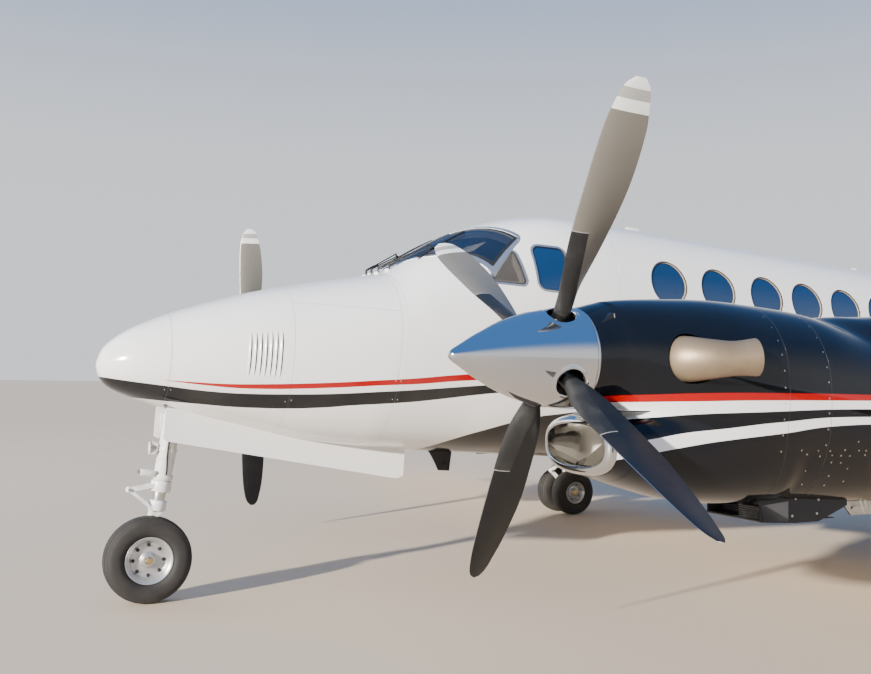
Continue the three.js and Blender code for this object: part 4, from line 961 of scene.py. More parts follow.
class Palette:
    """Every material of the plane, built once."""

    def __init__(self) -> None:
        """Builds the finishes."""
        self.effects = e = Effects()
        self.livery = Livery("white_paint_with_stripes", WHITE, gloss=0.16, amount=0.05, scale=1.6,
                             wear=0.06, grain=18.0, bump=0.006, depth=0.002, coat=0.4,
                             dirt=(0.42, 0.38, 0.33, 1)).build(e)
        self.cowl = CowlPaint("black_cowl_paint", BLACK, gloss=0.06, amount=0.02, scale=2.0, wear=0.04,
                              grain=14.0, bump=0.005, depth=0.002, specular=0.36,
                              dirt=(0.06, 0.055, 0.05, 1)).build(e)
        self.white = Finish("white_gloss_paint", WHITE, gloss=0.2, amount=0.07, scale=3.0, wear=0.08,
                            grain=30.0, bump=0.01, depth=0.001, coat=0.3, dirt=(0.4, 0.36, 0.3, 1)).build(e)
        self.gear = Finish("white_gear_enamel", (0.78, 0.77, 0.74, 1), gloss=0.3, amount=0.35, scale=9.0,
                           wear=0.2, dirt=(0.33, 0.3, 0.27, 1), grain=200.0, bump=0.05).build(e)
        self.black = Finish("black_gloss_paint", BLACK, gloss=0.12, amount=0.05, scale=5.0, specular=0.36,
                            dirt=(0.08, 0.075, 0.07, 1)).build(e)
        # Near-black finish: painted shade inside the cooler's mouth, on the cooler's side sheet, in the
        # exhaust bores and behind the nose louvres; on the nose wheel it is the bolt heads' own dark colour.
        self.dark = Finish("dark_opening", (0.012, 0.012, 0.013, 1), gloss=0.6, amount=0.2,
                           scale=8.0).build(e)
        self.rubber = Finish("black_rubber", (0.012, 0.012, 0.012, 1), gloss=0.5, amount=0.25, scale=12.0,
                             dirt=(0.08, 0.075, 0.07, 1), grain=400.0, bump=0.1).build(e)
        self.chrome = Finish("polished_spinner_metal", (0.64, 0.64, 0.645, 1), gloss=0.035, metallic=1.0,
                             amount=0.03, scale=6.0, wear=0.05, grain=20.0, bump=0.003,
                             dirt=(0.5, 0.47, 0.42, 1)).build(e)
        self.duct = Finish("pale_duct_paint", (0.82, 0.77, 0.68, 1), gloss=0.5, amount=0.2, scale=7.0,
                           dirt=(0.5, 0.45, 0.37, 1)).build(e)
        self.shank = Finish("dark_shank_metal", (0.16, 0.155, 0.15, 1), gloss=0.3, metallic=1.0, amount=0.3,
                            scale=14.0, wear=0.15, dirt=(0.05, 0.045, 0.04, 1)).build(e)
        self.edge = Finish("bare_blade_edge", (0.66, 0.64, 0.6, 1), gloss=0.3, metallic=1.0, amount=0.3,
                           scale=30.0, wear=0.2, dirt=(0.3, 0.27, 0.23, 1)).build(e)
        self.lip = Finish("polished_lip_metal", (0.66, 0.65, 0.63, 1), gloss=0.08, metallic=1.0,
                          amount=0.12, scale=9.0, wear=0.12, grain=60.0, bump=0.02,
                          dirt=(0.4, 0.36, 0.3, 1)).build(e)
        self.alloy = Finish("machined_alloy", (0.62, 0.62, 0.61, 1), gloss=0.28, metallic=1.0, amount=0.25,
                            scale=14.0, wear=0.2, dirt=(0.25, 0.22, 0.19, 1), grain=300.0,
                            bump=0.05).build(e)
        self.frame = Finish("window_frame_metal", (0.5, 0.51, 0.52, 1), gloss=0.35, metallic=0.85,
                            amount=0.25, scale=10.0, wear=0.15, grain=260.0, bump=0.04).build(e)
        self.blade_face = Finish("taupe_blade_paint", (0.155, 0.142, 0.118, 1), gloss=0.4, amount=0.2,
                                 scale=7.0, wear=0.15, dirt=(0.11, 0.1, 0.082, 1), grain=160.0,
                                 bump=0.03).build(e)
        self.blade_back = Finish("black_blade_paint", (0.007, 0.007, 0.008, 1), gloss=0.42, amount=0.3,
                                 scale=7.0, specular=0.4, wear=0.1, dirt=(0.03, 0.027, 0.024, 1),
                                 grain=160.0, bump=0.03).build(e)
        self.blade_tip = Finish("white_tip_paint", (0.76, 0.75, 0.72, 1), gloss=0.35, amount=0.15,
                                scale=9.0).build(e)
        self.blade_grey = Finish("grey_tip_paint", (0.33, 0.32, 0.3, 1), gloss=0.38, amount=0.15,
                                 scale=9.0).build(e)
        self.exhaust = HeatedMetal("heat_tanned_metal", (0.31, 0.235, 0.15, 1), gloss=0.42, metallic=0.6,
                                   wear=0.12, dirt=(0.25, 0.185, 0.12, 1), grain=90.0, bump=0.03).build(e)
        self.tyre = TyreRubber("tyre_rubber", (0.013, 0.012, 0.011, 1), gloss=0.7,
                               dirt=(0.06, 0.052, 0.044, 1), grain=500.0, pits=0.6, bump=0.25,
                               depth=0.0006).build(e)
        self.glass = Finish("dark_blue_glass", (0.005, 0.028, 0.085, 1), gloss=0.03, amount=0.02, wear=0.02,
                            grain=6.0, bump=0.002, specular=0.6, coat=0.5, coat_rough=0.02).build(e)
        self.shield_glass = Finish("windshield_glass", (0.006, 0.022, 0.06, 1), gloss=0.02, amount=0.02,
                                   wear=0.02, grain=6.0, bump=0.001, specular=0.5, alpha=0.42).build(e)
        self.clear_glass = Finish("shaded_side_glass", (0.1, 0.09, 0.078, 1), gloss=0.03, amount=0.02,
                                  wear=0.02, grain=6.0, bump=0.001, specular=0.4, alpha=0.5).build(e)
        self.trim = Finish("dark_cabin_trim", (0.045, 0.046, 0.05, 1), gloss=0.65, amount=0.15, scale=12.0,
                           grain=500.0, pits=0.8, bump=0.2).build(e)
        self.lining = Finish("cream_cabin_lining", (0.56, 0.52, 0.45, 1), gloss=0.75, amount=0.15,
                             scale=5.0, grain=420.0, pits=0.9, bump=0.2,
                             dirt=(0.36, 0.32, 0.26, 1)).build(e)
        self.leather = Finish("tan_seat_leather", (0.47, 0.38, 0.27, 1), gloss=0.45, amount=0.3, scale=8.0,
                              wear=0.15, dirt=(0.26, 0.2, 0.14, 1), grain=240.0, pits=1.0, bump=0.35,
                              depth=0.0008).build(e)
        self.tan = Finish("tan_window_seal", (0.46, 0.36, 0.25, 1), gloss=0.6, amount=0.2,
                          scale=16.0).build(e)
        self.steel = Finish("engine_steel", (0.34, 0.34, 0.35, 1), gloss=0.42, metallic=1.0, amount=0.4,
                            scale=9.0, wear=0.2, dirt=(0.1, 0.085, 0.07, 1)).build(e)
        self.screw = Finish("screw_heads", (0.5, 0.49, 0.47, 1), gloss=0.3, metallic=1.0, amount=0.3,
                            scale=40.0, dirt=(0.2, 0.18, 0.15, 1)).build(e)
        self.white_screw = Finish("painted_screw_heads", (0.62, 0.6, 0.57, 1), gloss=0.35, amount=0.3,
                                  scale=40.0, dirt=(0.3, 0.27, 0.23, 1)).build(e)
        self.lamp = Finish("lamp_glass", (0.85, 0.87, 0.88, 1), gloss=0.05, amount=0.05, scale=8.0,
                           specular=0.9, coat=1.0).build(e)
        self.red_lens = Finish("red_lens", (0.5, 0.02, 0.02, 1), gloss=0.08, amount=0.05, coat=1.0).build(e)
        self.green_lens = Finish("green_lens", (0.02, 0.3, 0.08, 1), gloss=0.08, amount=0.05,
                                 coat=1.0).build(e)
        self.bracket = Finish("blue_grey_bracket", (0.3, 0.36, 0.42, 1), gloss=0.4, amount=0.3, scale=12.0,
                              dirt=(0.2, 0.18, 0.15, 1)).build(e)
        self.brass = Finish("brass_nut", (0.62, 0.45, 0.2, 1), gloss=0.35, metallic=1.0, amount=0.3,
                            scale=30.0, dirt=(0.2, 0.14, 0.07, 1)).build(e)
        self.hub = Finish("silver_wheel_paint", (0.55, 0.55, 0.55, 1), gloss=0.3, metallic=0.7, amount=0.35,
                          scale=14.0, wear=0.2, dirt=(0.14, 0.12, 0.1, 1), grain=300.0, bump=0.05).build(e)


# Fuselage


# x, crown, belly, half width, widest height, squareness above and below
FUSELAGE = (
    (1736, 1452, 1412, 22, 1432, 2.0, 2.0),
    (1712, 1527, 1345, 98, 1435, 2.0, 2.0),
    (1650, 1600, 1288, 162, 1445, 2.0, 2.0),
    (1550, 1678, 1247, 232, 1455, 2.05, 2.05),
    (1337, 1790, 1184, 330, 1480, 2.1, 2.1),
    (1116, 1882, 1126, 408, 1505, 2.15, 2.2),
    (785, 2001, 1074, 502, 1545, 2.2, 2.3),
    (435, 2098, 1016, 580, 1600, 2.25, 2.4),
    (50, 2195, 988, 650, 1670, 2.3, 2.5),
    (-120, 2246, 985, 675, 1710, 2.3, 2.5),
    (-311, 2380, 985, 697, 1750, 2.3, 2.5),
    (-625, 2580, 985, 728, 1800, 2.3, 2.5),
    (-873, 2695, 985, 746, 1830, 2.4, 2.6),
    (-1132, 2780, 985, 758, 1855, 2.6, 2.6),
    (-1400, 2832, 985, 768, 1870, 2.7, 2.6),
    (-1750, 2842, 985, 775, 1880, 2.8, 2.6),
    (-6900, 2842, 985, 775, 1880, 2.8, 2.6),
    (-7400, 2840, 1040, 758, 1900, 2.7, 2.5),
    (-8500, 2826, 1330, 640, 1985, 2.4, 2.3),
    (-9500, 2800, 1650, 490, 2130, 2.3, 2.2),
    (-10500, 2762, 1940, 335, 2290, 2.2, 2.1),
    (-11400, 2705, 2170, 190, 2410, 2.1, 2.0),
    (-11950, 2640, 2350, 75, 2480, 2.0, 2.0),
)
NOSE_TIP, RADOME_JOINT, FIREWALL, COCKPIT_AFT, BULKHEAD, TAIL_END = 1736, 1337, -120, -1750, -7400, -11950


def oval(x: float, centre_y: float, row: Sequence[float], sides: int, inset: float = 0) -> Array:
    """Ring of a squared oval in the plane x, with separate crown and belly."""
    top, bottom, half, middle, square_up, square_down = row
    top, bottom, half = top - inset, bottom + inset, half - inset
    angle = 2 * np.pi * (np.arange(sides) + 0.5) / sides
    c, s = np.cos(angle), np.sin(angle)
    power = np.where(s > 0, 2 / square_up, 2 / square_down)
    y = half * np.sign(c) * np.abs(c) ** power
    rise = np.where(s > 0, top - middle, middle - bottom)
    z = rise * np.sign(s) * np.abs(s) ** power
    return np.column_stack([np.full(sides, x), centre_y + y, middle + z])


@dataclass
class Skin:
    """The fuselage's outer surface, as rings and as a point finder."""

    sides: int = 112

    def loft(self, stations: Sequence[float], inset: float = 0) -> Shape:
        """Closed solid through stations, held in from the skin."""
        return loft(np.array([oval(x, 0, columns_at(FUSELAGE, x), self.sides, inset) for x in stations]))

    def stations(self, start: float, end: float, step: float = 55) -> list[float]:
        """Stations between two places, finer than the table."""
        return spaced(start, end, step, [row[0] for row in FUSELAGE])

    def height(self, x: float, y: float) -> float:
        """Height of the crown side at a place in top view."""
        top, _, half, middle, square, _ = columns_at(FUSELAGE, x)
        share = min(abs(y) / half, 1.0) ** square
        return middle + (top - middle) * (1 - share) ** (1 / square)

    def width(self, x: float, z: float) -> float:
        """Half width of the skin at a height."""
        top, bottom, half, middle, square_up, square_down = columns_at(FUSELAGE, x)
        rise, square = (top - middle, square_up) if z > middle else (middle - bottom, square_down)
        return half * (1 - min(abs(z - middle) / rise, 1.0) ** square) ** (1 / square)

    def above(self, x: float, y: float) -> tuple[Vector, Vector]:
        """Point and outward direction on the crown side."""
        point = Vector((x, y, self.height(x, y)))
        ahead = Vector((x + 3, y, self.height(x + 3, y))) - point
        across = Vector((x, y + 3, self.height(x, y + 3))) - point
        return point, ahead.cross(across).normalized()

    def beside(self, x: float, z: float) -> tuple[Vector, Vector]:
        """Point and outward direction on the left side."""
        point = Vector((x, self.width(x, z), z))
        ahead = Vector((x - 3, self.width(x - 3, z), z)) - point
        over = Vector((x, self.width(x, z + 3), z + 3)) - point
        return point, ahead.cross(over).normalized()


WINDSHIELD = (((-150, 32), (-400, 345), (-745, 640), (-1000, 535), (-690, 32)), 22)
STORM_WINDOW = (((-918, 2492), (-992, 2200), (-690, 2200)), 35)
SIDE_WINDOW = (((-1050, 2512), (-1312, 2512), (-1312, 2185), (-1078, 2185)), 60)
PORT_RADIUS, PORT_Z = 173, 2362
PORTS = (-2220, -2706, -3211, -3654, -4101, -4549, -4997)
DOOR_FRONT, DOOR_AFT, DOOR_SILL, DOOR_HEAD, DOOR_CORNER, DOOR_RUN = -5450, -6130, 1320, 2525, 110, 8
DOOR_HINGE = (665, 1316.3)
HINGE_ROOM_END, HINGE_ROOM_DEPTH, HINGE_ROOM_DROP = 52, 11, 38
NOSE_WELL_FRONT, NOSE_WELL_AFT, NOSE_WELL_HALF = 1322, -392, 160
NOSE_WELL_ROOF, NOSE_WELL_AFT_ROOF = 1450, 1190
CAVITY_FRONT, CAVITY_AFT, WALL = -190, -6850, 70
FLOOR_LOW, FLOOR_HIGH = 1296, 1309


def shield_prism(grow: float) -> Shape:
    """Space over one windshield pane."""
    return prism(rounded(WINDSHIELD[0], WINDSHIELD[1], grow), 2150, 3000, "Z")


def side_prism(window: tuple[Outline, float], grow: float) -> Shape:
    """Space beside one cockpit side window."""
    return prism(rounded(window[0], window[1], grow, 12), 300, 900, "Y")


def port_prism(x: float, grow: float) -> Shape:
    """Space beside one round cabin window."""
    return prism(circle(x, PORT_Z, PORT_RADIUS + grow, 72), 400, 900, "Y")


def door_prism(grow: float) -> Shape:
    """Space beside the airstair door."""
    corners = ((DOOR_FRONT, DOOR_SILL), (DOOR_FRONT, DOOR_HEAD), (DOOR_AFT, DOOR_HEAD),
               (DOOR_AFT, DOOR_SILL))
    return prism(rounded(corners, DOOR_CORNER, grow, 14), 300, 900, "Y")


def both(shapes: Iterable[Shape]) -> list[Shape]:
    """Shapes with their mirror images."""
    kept = list(shapes)
    return kept + [s.placed(MIRROR) for s in kept]


@dataclass
class Fuselage:
    """The five skins of the fuselage, cut for windows, wheels and the door."""

    palette: Palette
    skin: Skin = field(default_factory=Skin)
    joint: float = 1.0

    def build(self) -> None:
        """Makes every skin."""
        self._section("radome", "nose_cone", self._nose_stations(), [])
        well = [slab((FIREWALL - 20, -NOSE_WELL_HALF, 600),
                     (NOSE_WELL_FRONT, NOSE_WELL_HALF, NOSE_WELL_ROOF), 6),
                slab((NOSE_WELL_AFT, -NOSE_WELL_HALF, 600), (300, NOSE_WELL_HALF, NOSE_WELL_AFT_ROOF), 6)]
        self._section("nose_skin", "nose_section", self._between(RADOME_JOINT, FIREWALL), well)
        cavity = self.skin.loft(self.skin.stations(CAVITY_FRONT, -2100) + [CAVITY_AFT], WALL)
        windows = both([shield_prism(0), side_prism(STORM_WINDOW, 0), side_prism(SIDE_WINDOW, 0)])
        self._section("cockpit_skin", "cockpit_section", self._between(FIREWALL, COCKPIT_AFT),
                      [cavity, *well, *windows])
        ports = both([port_prism(x, 0) for x in PORTS])
        hinge_room = slab((DOOR_AFT + HINGE_ROOM_END, DOOR_HINGE[0] - HINGE_ROOM_DEPTH,
                           DOOR_SILL - HINGE_ROOM_DROP),
                          (DOOR_FRONT - HINGE_ROOM_END, 900, DOOR_SILL + 2), 0.5)
        self._section("cabin_skin", "cabin_section", self._between(COCKPIT_AFT, BULKHEAD, 170),
                      [cavity, *ports, door_prism(DOOR_RUN - 3), hinge_room])
        self._section("tail_cone_skin", "tail_section", self._between(BULKHEAD, TAIL_END, 90), [],
                      self._strakes())

    def _nose_stations(self) -> list[float]:
        """Stations that close in on the nose's tip."""
        return [NOSE_TIP, 1735, 1731, 1725, 1716, 1702, 1685, 1665, 1640, 1610, 1575, 1535, 1490, 1440,
                1385, RADOME_JOINT + self.joint / 2]

    def _between(self, start: float, end: float, step: float = 50) -> list[float]:
        """Stations of one skin, each end held back by half a joint."""
        return self.skin.stations(start - self.joint / 2, end + self.joint / 2, step)

    def _strakes(self) -> list[Shape]:
        """The two fins under the tail cone."""
        top = [(-9350, 150, 2080), (-10950, 150, 2080), (-10950, 163, 2080), (-9350, 163, 2080)]
        low = [(-10150, 520, 1420), (-10800, 520, 1420), (-10800, 529, 1420), (-10150, 529, 1420)]
        return both([loft(np.array([top, low], float))])

    def _section(self, name: str, node: str, stations: list[float], cuts: list[Shape],
                 plus: Sequence[Shape] = ()) -> None:
        """One skin with its cuts."""
        outer = self.skin.loft(stations)
        shape = carved(outer, cuts, plus=plus) if cuts or plus else outer
        skins = [outer.placed(AIRFRAME)]
        finish_piece(name, shape.placed(AIRFRAME), [self.palette.livery], Fitting(replaces=(node,)), skins)


@dataclass
class Glazing:
    """Panes, seals and frames of the cockpit and the cabin."""

    palette: Palette
    skin: Skin = field(default_factory=Skin)
    frame_out: float = 21.0
    frame_in: float = 5.0
    seal: float = 22.0

    def build(self) -> None:
        """Makes the glass of both sides."""
        self.stations = self.skin.stations(0, -1500, 45)
        for side in Side:
            self._windshield(side)
            self._side_windows(side)
            self._ports(side)

    def _layer(self, outer: float, inner: float, keep: Shape, minus: Sequence[Shape] = (),
               straight: bool = False) -> Shape:
        """Part of the skin between two depths inside an outline, along the cockpit or the straight cabin."""
        stations = [-1900, -5400] if straight else self.stations
        hollow = self.skin.loft([stations[0] + 30, *stations[1:-1], stations[-1] - 30], inner)
        return carved(self.skin.loft(stations, outer), [hollow, *minus], [keep])

    def _ring(self, outer: float, inner: float, cut: Callable[[float], Shape], wide: float, narrow: float,
              straight: bool = False) -> Shape:
        """Band of the skin round an outline."""
        return self._layer(outer, inner, cut(wide), [cut(narrow)], straight)

    def _windshield(self, side: Side) -> None:
        """One raked pane with its metal frame and dark seal."""
        matrix = side.matrix(AIRFRAME)
        frame = self._ring(-1.6, 10, shield_prism, self.frame_out, -self.frame_in)
        seal = self._ring(1.0, 14, shield_prism, -self.frame_in + 0.5, -self.frame_in - self.seal)
        inner = self._ring(16, 62, shield_prism, -0.5, -14)
        glass = self._layer(3.0, 10.0, shield_prism(-self.frame_in - 1))
        parts = joined([frame, seal.painted(1), inner.painted(2)])
        p = self.palette
        finish_piece(f"windshield_frame_{side.word}", parts.placed(matrix), [p.frame, p.rubber, p.trim],
                     Fitting(slot="steel"))
        finish_piece(f"windshield_pane_{side.word}", glass.placed(matrix), [p.shield_glass],
                     Fitting(slot="glass", replaces=(f"windshield_{side.word}",)))

    def _side_windows(self, side: Side) -> None:
        """The triangular and the square window beside each pilot."""
        matrix = side.matrix(AIRFRAME)
        frames: list[Shape] = []
        panes: list[Shape] = []
        for window in (STORM_WINDOW, SIDE_WINDOW):
            cut = partial(side_prism, window)
            frames.append(self._ring(-1.2, 8, cut, 13, -3))
            frames.append(self._ring(2, 20, cut, -2.5, -9).painted(1))
            frames.append(self._ring(18, 66, cut, -0.5, -20).painted(2))
            panes.append(self._layer(8, 14, cut(-5)).painted(1 if window is STORM_WINDOW else 0))
        p = self.palette
        finish_piece(f"side_window_frames_{side.word}", joined(frames).placed(matrix),
                     [p.frame, p.rubber, p.lining], Fitting(slot="steel"))
        finish_piece(f"side_window_panes_{side.word}", joined(panes).placed(matrix),
                     [p.glass, p.clear_glass],
                     Fitting(slot="glass", replaces=(f"cockpit_glass_{side.word}",)))

    def _ports(self, side: Side) -> None:
        """Round cabin panes with their dark rims and tan seals."""
        matrix = side.matrix(AIRFRAME)
        rims: list[Shape] = []
        panes: list[Shape] = []
        for x in PORTS:
            cut = partial(port_prism, x)
            rims.append(self._ring(0.6, 12, cut, 0.4, -5, True))
            rims.append(self._ring(9, 30, cut, -4, -13, True).painted(1))
            rims.append(self._ring(30, 64, cut, -0.5, -16, True).painted(2))
            panes.append(self._layer(13, 19, cut(-3), straight=True))
        p = self.palette
        finish_piece(f"cabin_window_rims_{side.word}", joined(rims).placed(matrix),
                     [p.rubber, p.tan, p.lining], Fitting(slot="trim"))
        finish_piece(f"cabin_panes_{side.word}", joined(panes).placed(matrix), [p.glass],
                     Fitting(slot="glass", replaces=(f"cabin_glass_{side.word}",)))


@dataclass
class Airstair:
    """Door with built-in steps, hinged along its sill."""

    palette: Palette
    skin: Skin = field(default_factory=Skin)
    treads: int = 4
    first: float = 150
    step: float = 255
    depth: float = 230
    thickness: float = 18
    tread_turn: float = 32
    tread_margin: float = 92
    grips: int = 7
    grip_step: float = 26
    grip_margin: float = 110
    wall: float = 62

    def build(self) -> None:
        """Makes the door with its steps, handle and hinge bar."""
        stations = spaced(-5300, -6300, 100)
        outer = self.skin.loft(stations)
        inner = self.skin.loft([stations[0] + 30, *stations[1:-1], stations[-1] - 30], self.wall)
        wall = carved(outer, [inner], [door_prism(-1.5)])
        margin, grip_margin = self.tread_margin, self.grip_margin
        steps: list[Shape] = []
        for i in range(self.treads):
            z = DOOR_SILL + self.first + i * self.step
            plate = slab((DOOR_AFT + margin, -self.thickness, -70), (DOOR_FRONT - margin, 0, self.depth), 4)
            rises = [20 + k * self.grip_step for k in range(self.grips)]
            grips = [slab((DOOR_AFT + grip_margin, 0, rise), (DOOR_FRONT - grip_margin, 2.4, rise + 14), 1, 1)
                     for rise in rises]
            grips = [grip.painted(1) for grip in grips]
            steps.append(joined([plate.painted(2), *grips]).turned(self.tread_turn, "X").moved(0, 650, z))
        handle = rod((-5870, 742, 2060), (-5700, 742, 2060), 9).painted(3)
        hinge = rod((DOOR_AFT + DOOR_CORNER, *DOOR_HINGE), (DOOR_FRONT - DOOR_CORNER, *DOOR_HINGE), 3.9,
                    sides=16)
        shape = joined([wall, *steps, handle, hinge.painted(3)]).placed(AIRFRAME)
        p = self.palette
        finish_piece("airstair", shape, [p.livery, p.rubber, p.trim, p.alloy],
                     Fitting(body="airstair_door", replaces=("airstair_door",)), [outer.placed(AIRFRAME)])


PILLOW_CUTS, PILLOW_CORNER, PILLOW_RIM, PILLOW_PINCH = 7, 6, 0.84, 0.035


def pillow(size: Sequence[float], crown: float = 0.16) -> Shape:
    """Crowned cushion about its own middle, with sides that pull in between its corners."""
    mesh = bmesh.new()
    bmesh.ops.create_cube(mesh, size=2)
    bmesh.ops.subdivide_edges(mesh, edges=list(mesh.edges), cuts=PILLOW_CUTS, use_grid_fill=True)
    half = np.array(size) / 2
    mesh.verts.index_update()
    points = np.array([v.co[:] for v in mesh.verts])
    faces = [tuple(v.index for v in f.verts) for f in mesh.faces]
    mesh.free()
    rounded_by = np.linalg.norm(np.abs(points) ** PILLOW_CORNER, axis=1) ** (1 / PILLOW_CORNER)
    points = points / np.maximum(rounded_by, 1e-6)[:, None]
    puff = (1 - points[:, 0] ** 2) * (1 - points[:, 1] ** 2)
    points[:, 2] *= PILLOW_RIM + crown * puff
    points[:, :2] *= (1 - PILLOW_PINCH * (1 - points[:, 2] ** 2))[:, None]
    return Shape(points * half, faces).outward()


@dataclass
class CabinFit:
    """Floor, seats, panel and visors."""

    palette: Palette
    skin: Skin = field(default_factory=Skin)
    crew_seat: tuple[float, float, float] = (-1330, 300, 1)
    club_seats: tuple[tuple[float, float], ...] = ((-2450, -1), (-3600, 1), (-4150, -1), (-5160, 1))
    club_y: float = 350
    club_rail: tuple[float, float] = (-5300, -2300)
    recline: float = math.atan2(110, 710)
    arm_y: float = 228
    arm_top: float = 556
    screens: tuple[float, ...] = (-330, -60, 210)
    dials: tuple[float, ...] = (-420, -395, 430, 455)
    levers: tuple[float, ...] = (-60, -20, 20, 60)
    yoke_y: float = 300
    yoke_half: tuple[float, float] = (150, 105)

    def build(self) -> None:
        """Makes the inside."""
        self._floor()
        self._panel()
        for side in Side:
            self._crew_seat(side)
            self._passenger_seats(side)
            self._visor(side)

    def _floor(self) -> None:
        """Carpeted floor up to the cabin's walls."""
        space = self.skin.loft([CAVITY_FRONT - 8, *self.skin.stations(-260, -2000, 120), CAVITY_AFT + 8],
                               WALL + 2)
        board = slab((CAVITY_AFT + 12, -900, FLOOR_LOW), (CAVITY_FRONT - 12, 900, FLOOR_HIGH), 3)
        finish_piece("cabin_carpet", carved(board, keep=[space]).placed(AIRFRAME), [self.palette.trim],
                     Fitting(slot="trim", replaces=("cabin_floor",)))

    def _panel(self) -> None:
        """Instrument panel with its shield, screens, dials, control pedestal and yokes."""
        space = self.skin.loft([CAVITY_FRONT - 5, *self.skin.stations(-230, -1000, 60)], WALL + 2)
        dash = carved(slab((-470, -900, 1830), (-395, 900, 2140), 12), keep=[space])
        shield = carved(slab((-525, -900, 2138), (CAVITY_FRONT - 8, 900, 2168), 12), keep=[space])
        pedestal = slab((-850, -130, FLOOR_HIGH + 1), (-400, 130, 1900), 22)
        parts = [dash, shield, pedestal]
        for y in self.screens:
            parts.append(slab((-478, y, 1925), (-468, y + 235, 2095), 4).painted(1))
        for y in self.dials:
            parts.append(rod((-468, y, 1890), (-478, y, 1890), 11).painted(2))
        for y in self.levers:
            parts.append(rod((-640, y, 1890), (-690, y, 2010), 8).painted(2))
            parts.append(slab((-705, y - 14, 1995), (-680, y + 14, 2035), 7).painted(2))
        across, rise = self.yoke_half
        for side in Side:
            y = side.value * self.yoke_y
            parts.append(rod((-475, y, 1990), (-640, y, 1975), 14).painted(2))
            arc = [(-645, y + across * math.cos(a), 1965 + rise * math.sin(a))
                   for a in np.linspace(0.35, -math.pi - 0.35, 15)]
            parts.append(along(arc, [(13, 13)] * len(arc), 12, (1, 0, 0)))
        p = self.palette
        finish_piece("flight_deck_panel", joined(parts).placed(AIRFRAME), [p.trim, p.glass, p.rubber],
                     Fitting(slot="trim", replaces=("instrument_panel",)))

    def _seat(self, x: float, y: float, facing: float) -> tuple[list[Shape], list[Shape]]:
        """Cushions and hard parts of one seat."""
        lean = math.degrees(self.recline) * facing
        cushion = pillow((500, 425, 150)).moved(x + facing * 10, y, FLOOR_HIGH + 335)
        rests = (((720, 425, 120), 0.2, 245, 690), ((190, 300, 105), 0.25, 315, 960))
        upright = [pillow(size, crown).turned(-90, "Y").turned(-lean, "Y") for size, crown, _, _ in rests]
        back, head = (soft.moved(x - facing * away, y, FLOOR_HIGH + up)
                      for soft, (_, _, away, up) in zip(upright, rests))
        hard = [slab((x - 185, y - 165, FLOOR_HIGH + 1), (x + 185, y + 165, FLOOR_HIGH + 195), 20),
                slab((x - 245, y - 212, FLOOR_HIGH + 190), (x + 262, y + 212, FLOOR_HIGH + 268), 24)]
        for arm in (-1, 1):
            near = y + arm * self.arm_y
            low, high = sorted((x - facing * 195, x + facing * 145))
            hard.append(slab((low, near - 21, FLOOR_HIGH + self.arm_top - 171),
                             (high, near + 21, FLOOR_HIGH + self.arm_top), 14))
        return [cushion, back, head], hard

    def _crew_seat(self, side: Side) -> None:
        """A pilot's seat."""
        soft, hard = self._seat(*self.crew_seat)
        self._seat_pieces("crew_seat", "crew_seat", soft, hard, side)

    def _passenger_seats(self, side: Side) -> None:
        """The facing seats of one side."""
        soft: list[Shape] = []
        (aft, front), y = self.club_rail, self.club_y
        hard: list[Shape] = [slab((aft, y - 20, FLOOR_HIGH + 1), (front, y + 20, FLOOR_HIGH + 30), 4)]
        for x, facing in self.club_seats:
            cushions, frame = self._seat(x, y, facing)
            soft += cushions
            hard += frame
        self._seat_pieces("club_seats", "passenger_seats", soft, hard, side)

    def _seat_pieces(self, name: str, node: str, soft: list[Shape], hard: list[Shape], side: Side) -> None:
        """Leather and frame pieces of a seat or a row of seats."""
        matrix, leather = side.matrix(AIRFRAME), [self.palette.leather]
        cushions = finish_piece(f"{name}_{side.word}_cushions", joined(soft).placed(matrix), leather,
                                Fitting(slot="leather", replaces=(f"{node}_{side.word}",)), crease=60)
        finish_piece(f"{name}_{side.word}_frame", joined(hard).placed(matrix), leather,
                     Fitting(slot="leather"))

    def _visor(self, side: Side) -> None:
        """Sun visor under the top of the windshield."""
        plate = slab((-15, -165, -4), (15, 165, 4), 3)
        board = slab((-120, -150, -3), (0, 150, 3), 3).moved(-10).turned(38, "Y")
        shape = joined([plate, board]).moved(-700, 250, 2440)
        finish_piece(f"sun_visor_{side.word}", shape.placed(side.matrix(AIRFRAME)), [self.palette.lining],
                     Fitting(slot="trim"))


# Wing and tail


FOIL_SPACING = 0.5 * (1 - np.cos(np.linspace(0, math.pi, 33)))
BOOT_SHARE = 0.055
DIHEDRAL = math.radians(6)
INCIDENCE = math.radians(2)
WING_ROOT_Y, WING_ROOT_Z, WING_JOINT_Y, WING_TIP_Y = 300, 1105, 3100, 8560
WING_ROOT = (-2600, 2180, 0.17)
WING_TIP = (-3130, 900, 0.12)
WING_CAMBER = 0.018
PIN_REACH, PIN_RADIUS = 40, 8
SURFACE_GAP = 7


def foil_half(t: Array | float, thickness: float) -> Array | float:
    """Half thickness of the section at a share of its chord."""
    body = 0.2969 * np.sqrt(t) - 0.126 * t - 0.3516 * t**2 + 0.2843 * t**3 - 0.1015 * t**4
    return thickness * (5 * body + 0.012 * t)


def foil_lift(t: Array | float, camber: float) -> Array | float:
    """Height of the camber line at a share of the chord."""
    return 4 * camber * t * (1 - t)


def foil_ring(row: Sequence[float]) -> Array:
    """Wing section: leading edge x, y, z, chord, thickness ratio, camber, incidence, lean about X."""
    x, y, z, chord, thickness, camber, incidence, lean = row
    t = FOIL_SPACING
    back = np.concatenate([t, t[1:][::-1]])
    up = np.concatenate([foil_lift(t, camber) + foil_half(t, thickness),
                         (foil_lift(t, camber) - foil_half(t, thickness))[1:][::-1]])
    along_back = chord * (back * math.cos(incidence) + up * math.sin(incidence))
    along_up = chord * (up * math.cos(incidence) - back * math.sin(incidence))
    return np.column_stack([x - along_back, y - along_up * math.sin(lean), z + along_up * math.cos(lean)])


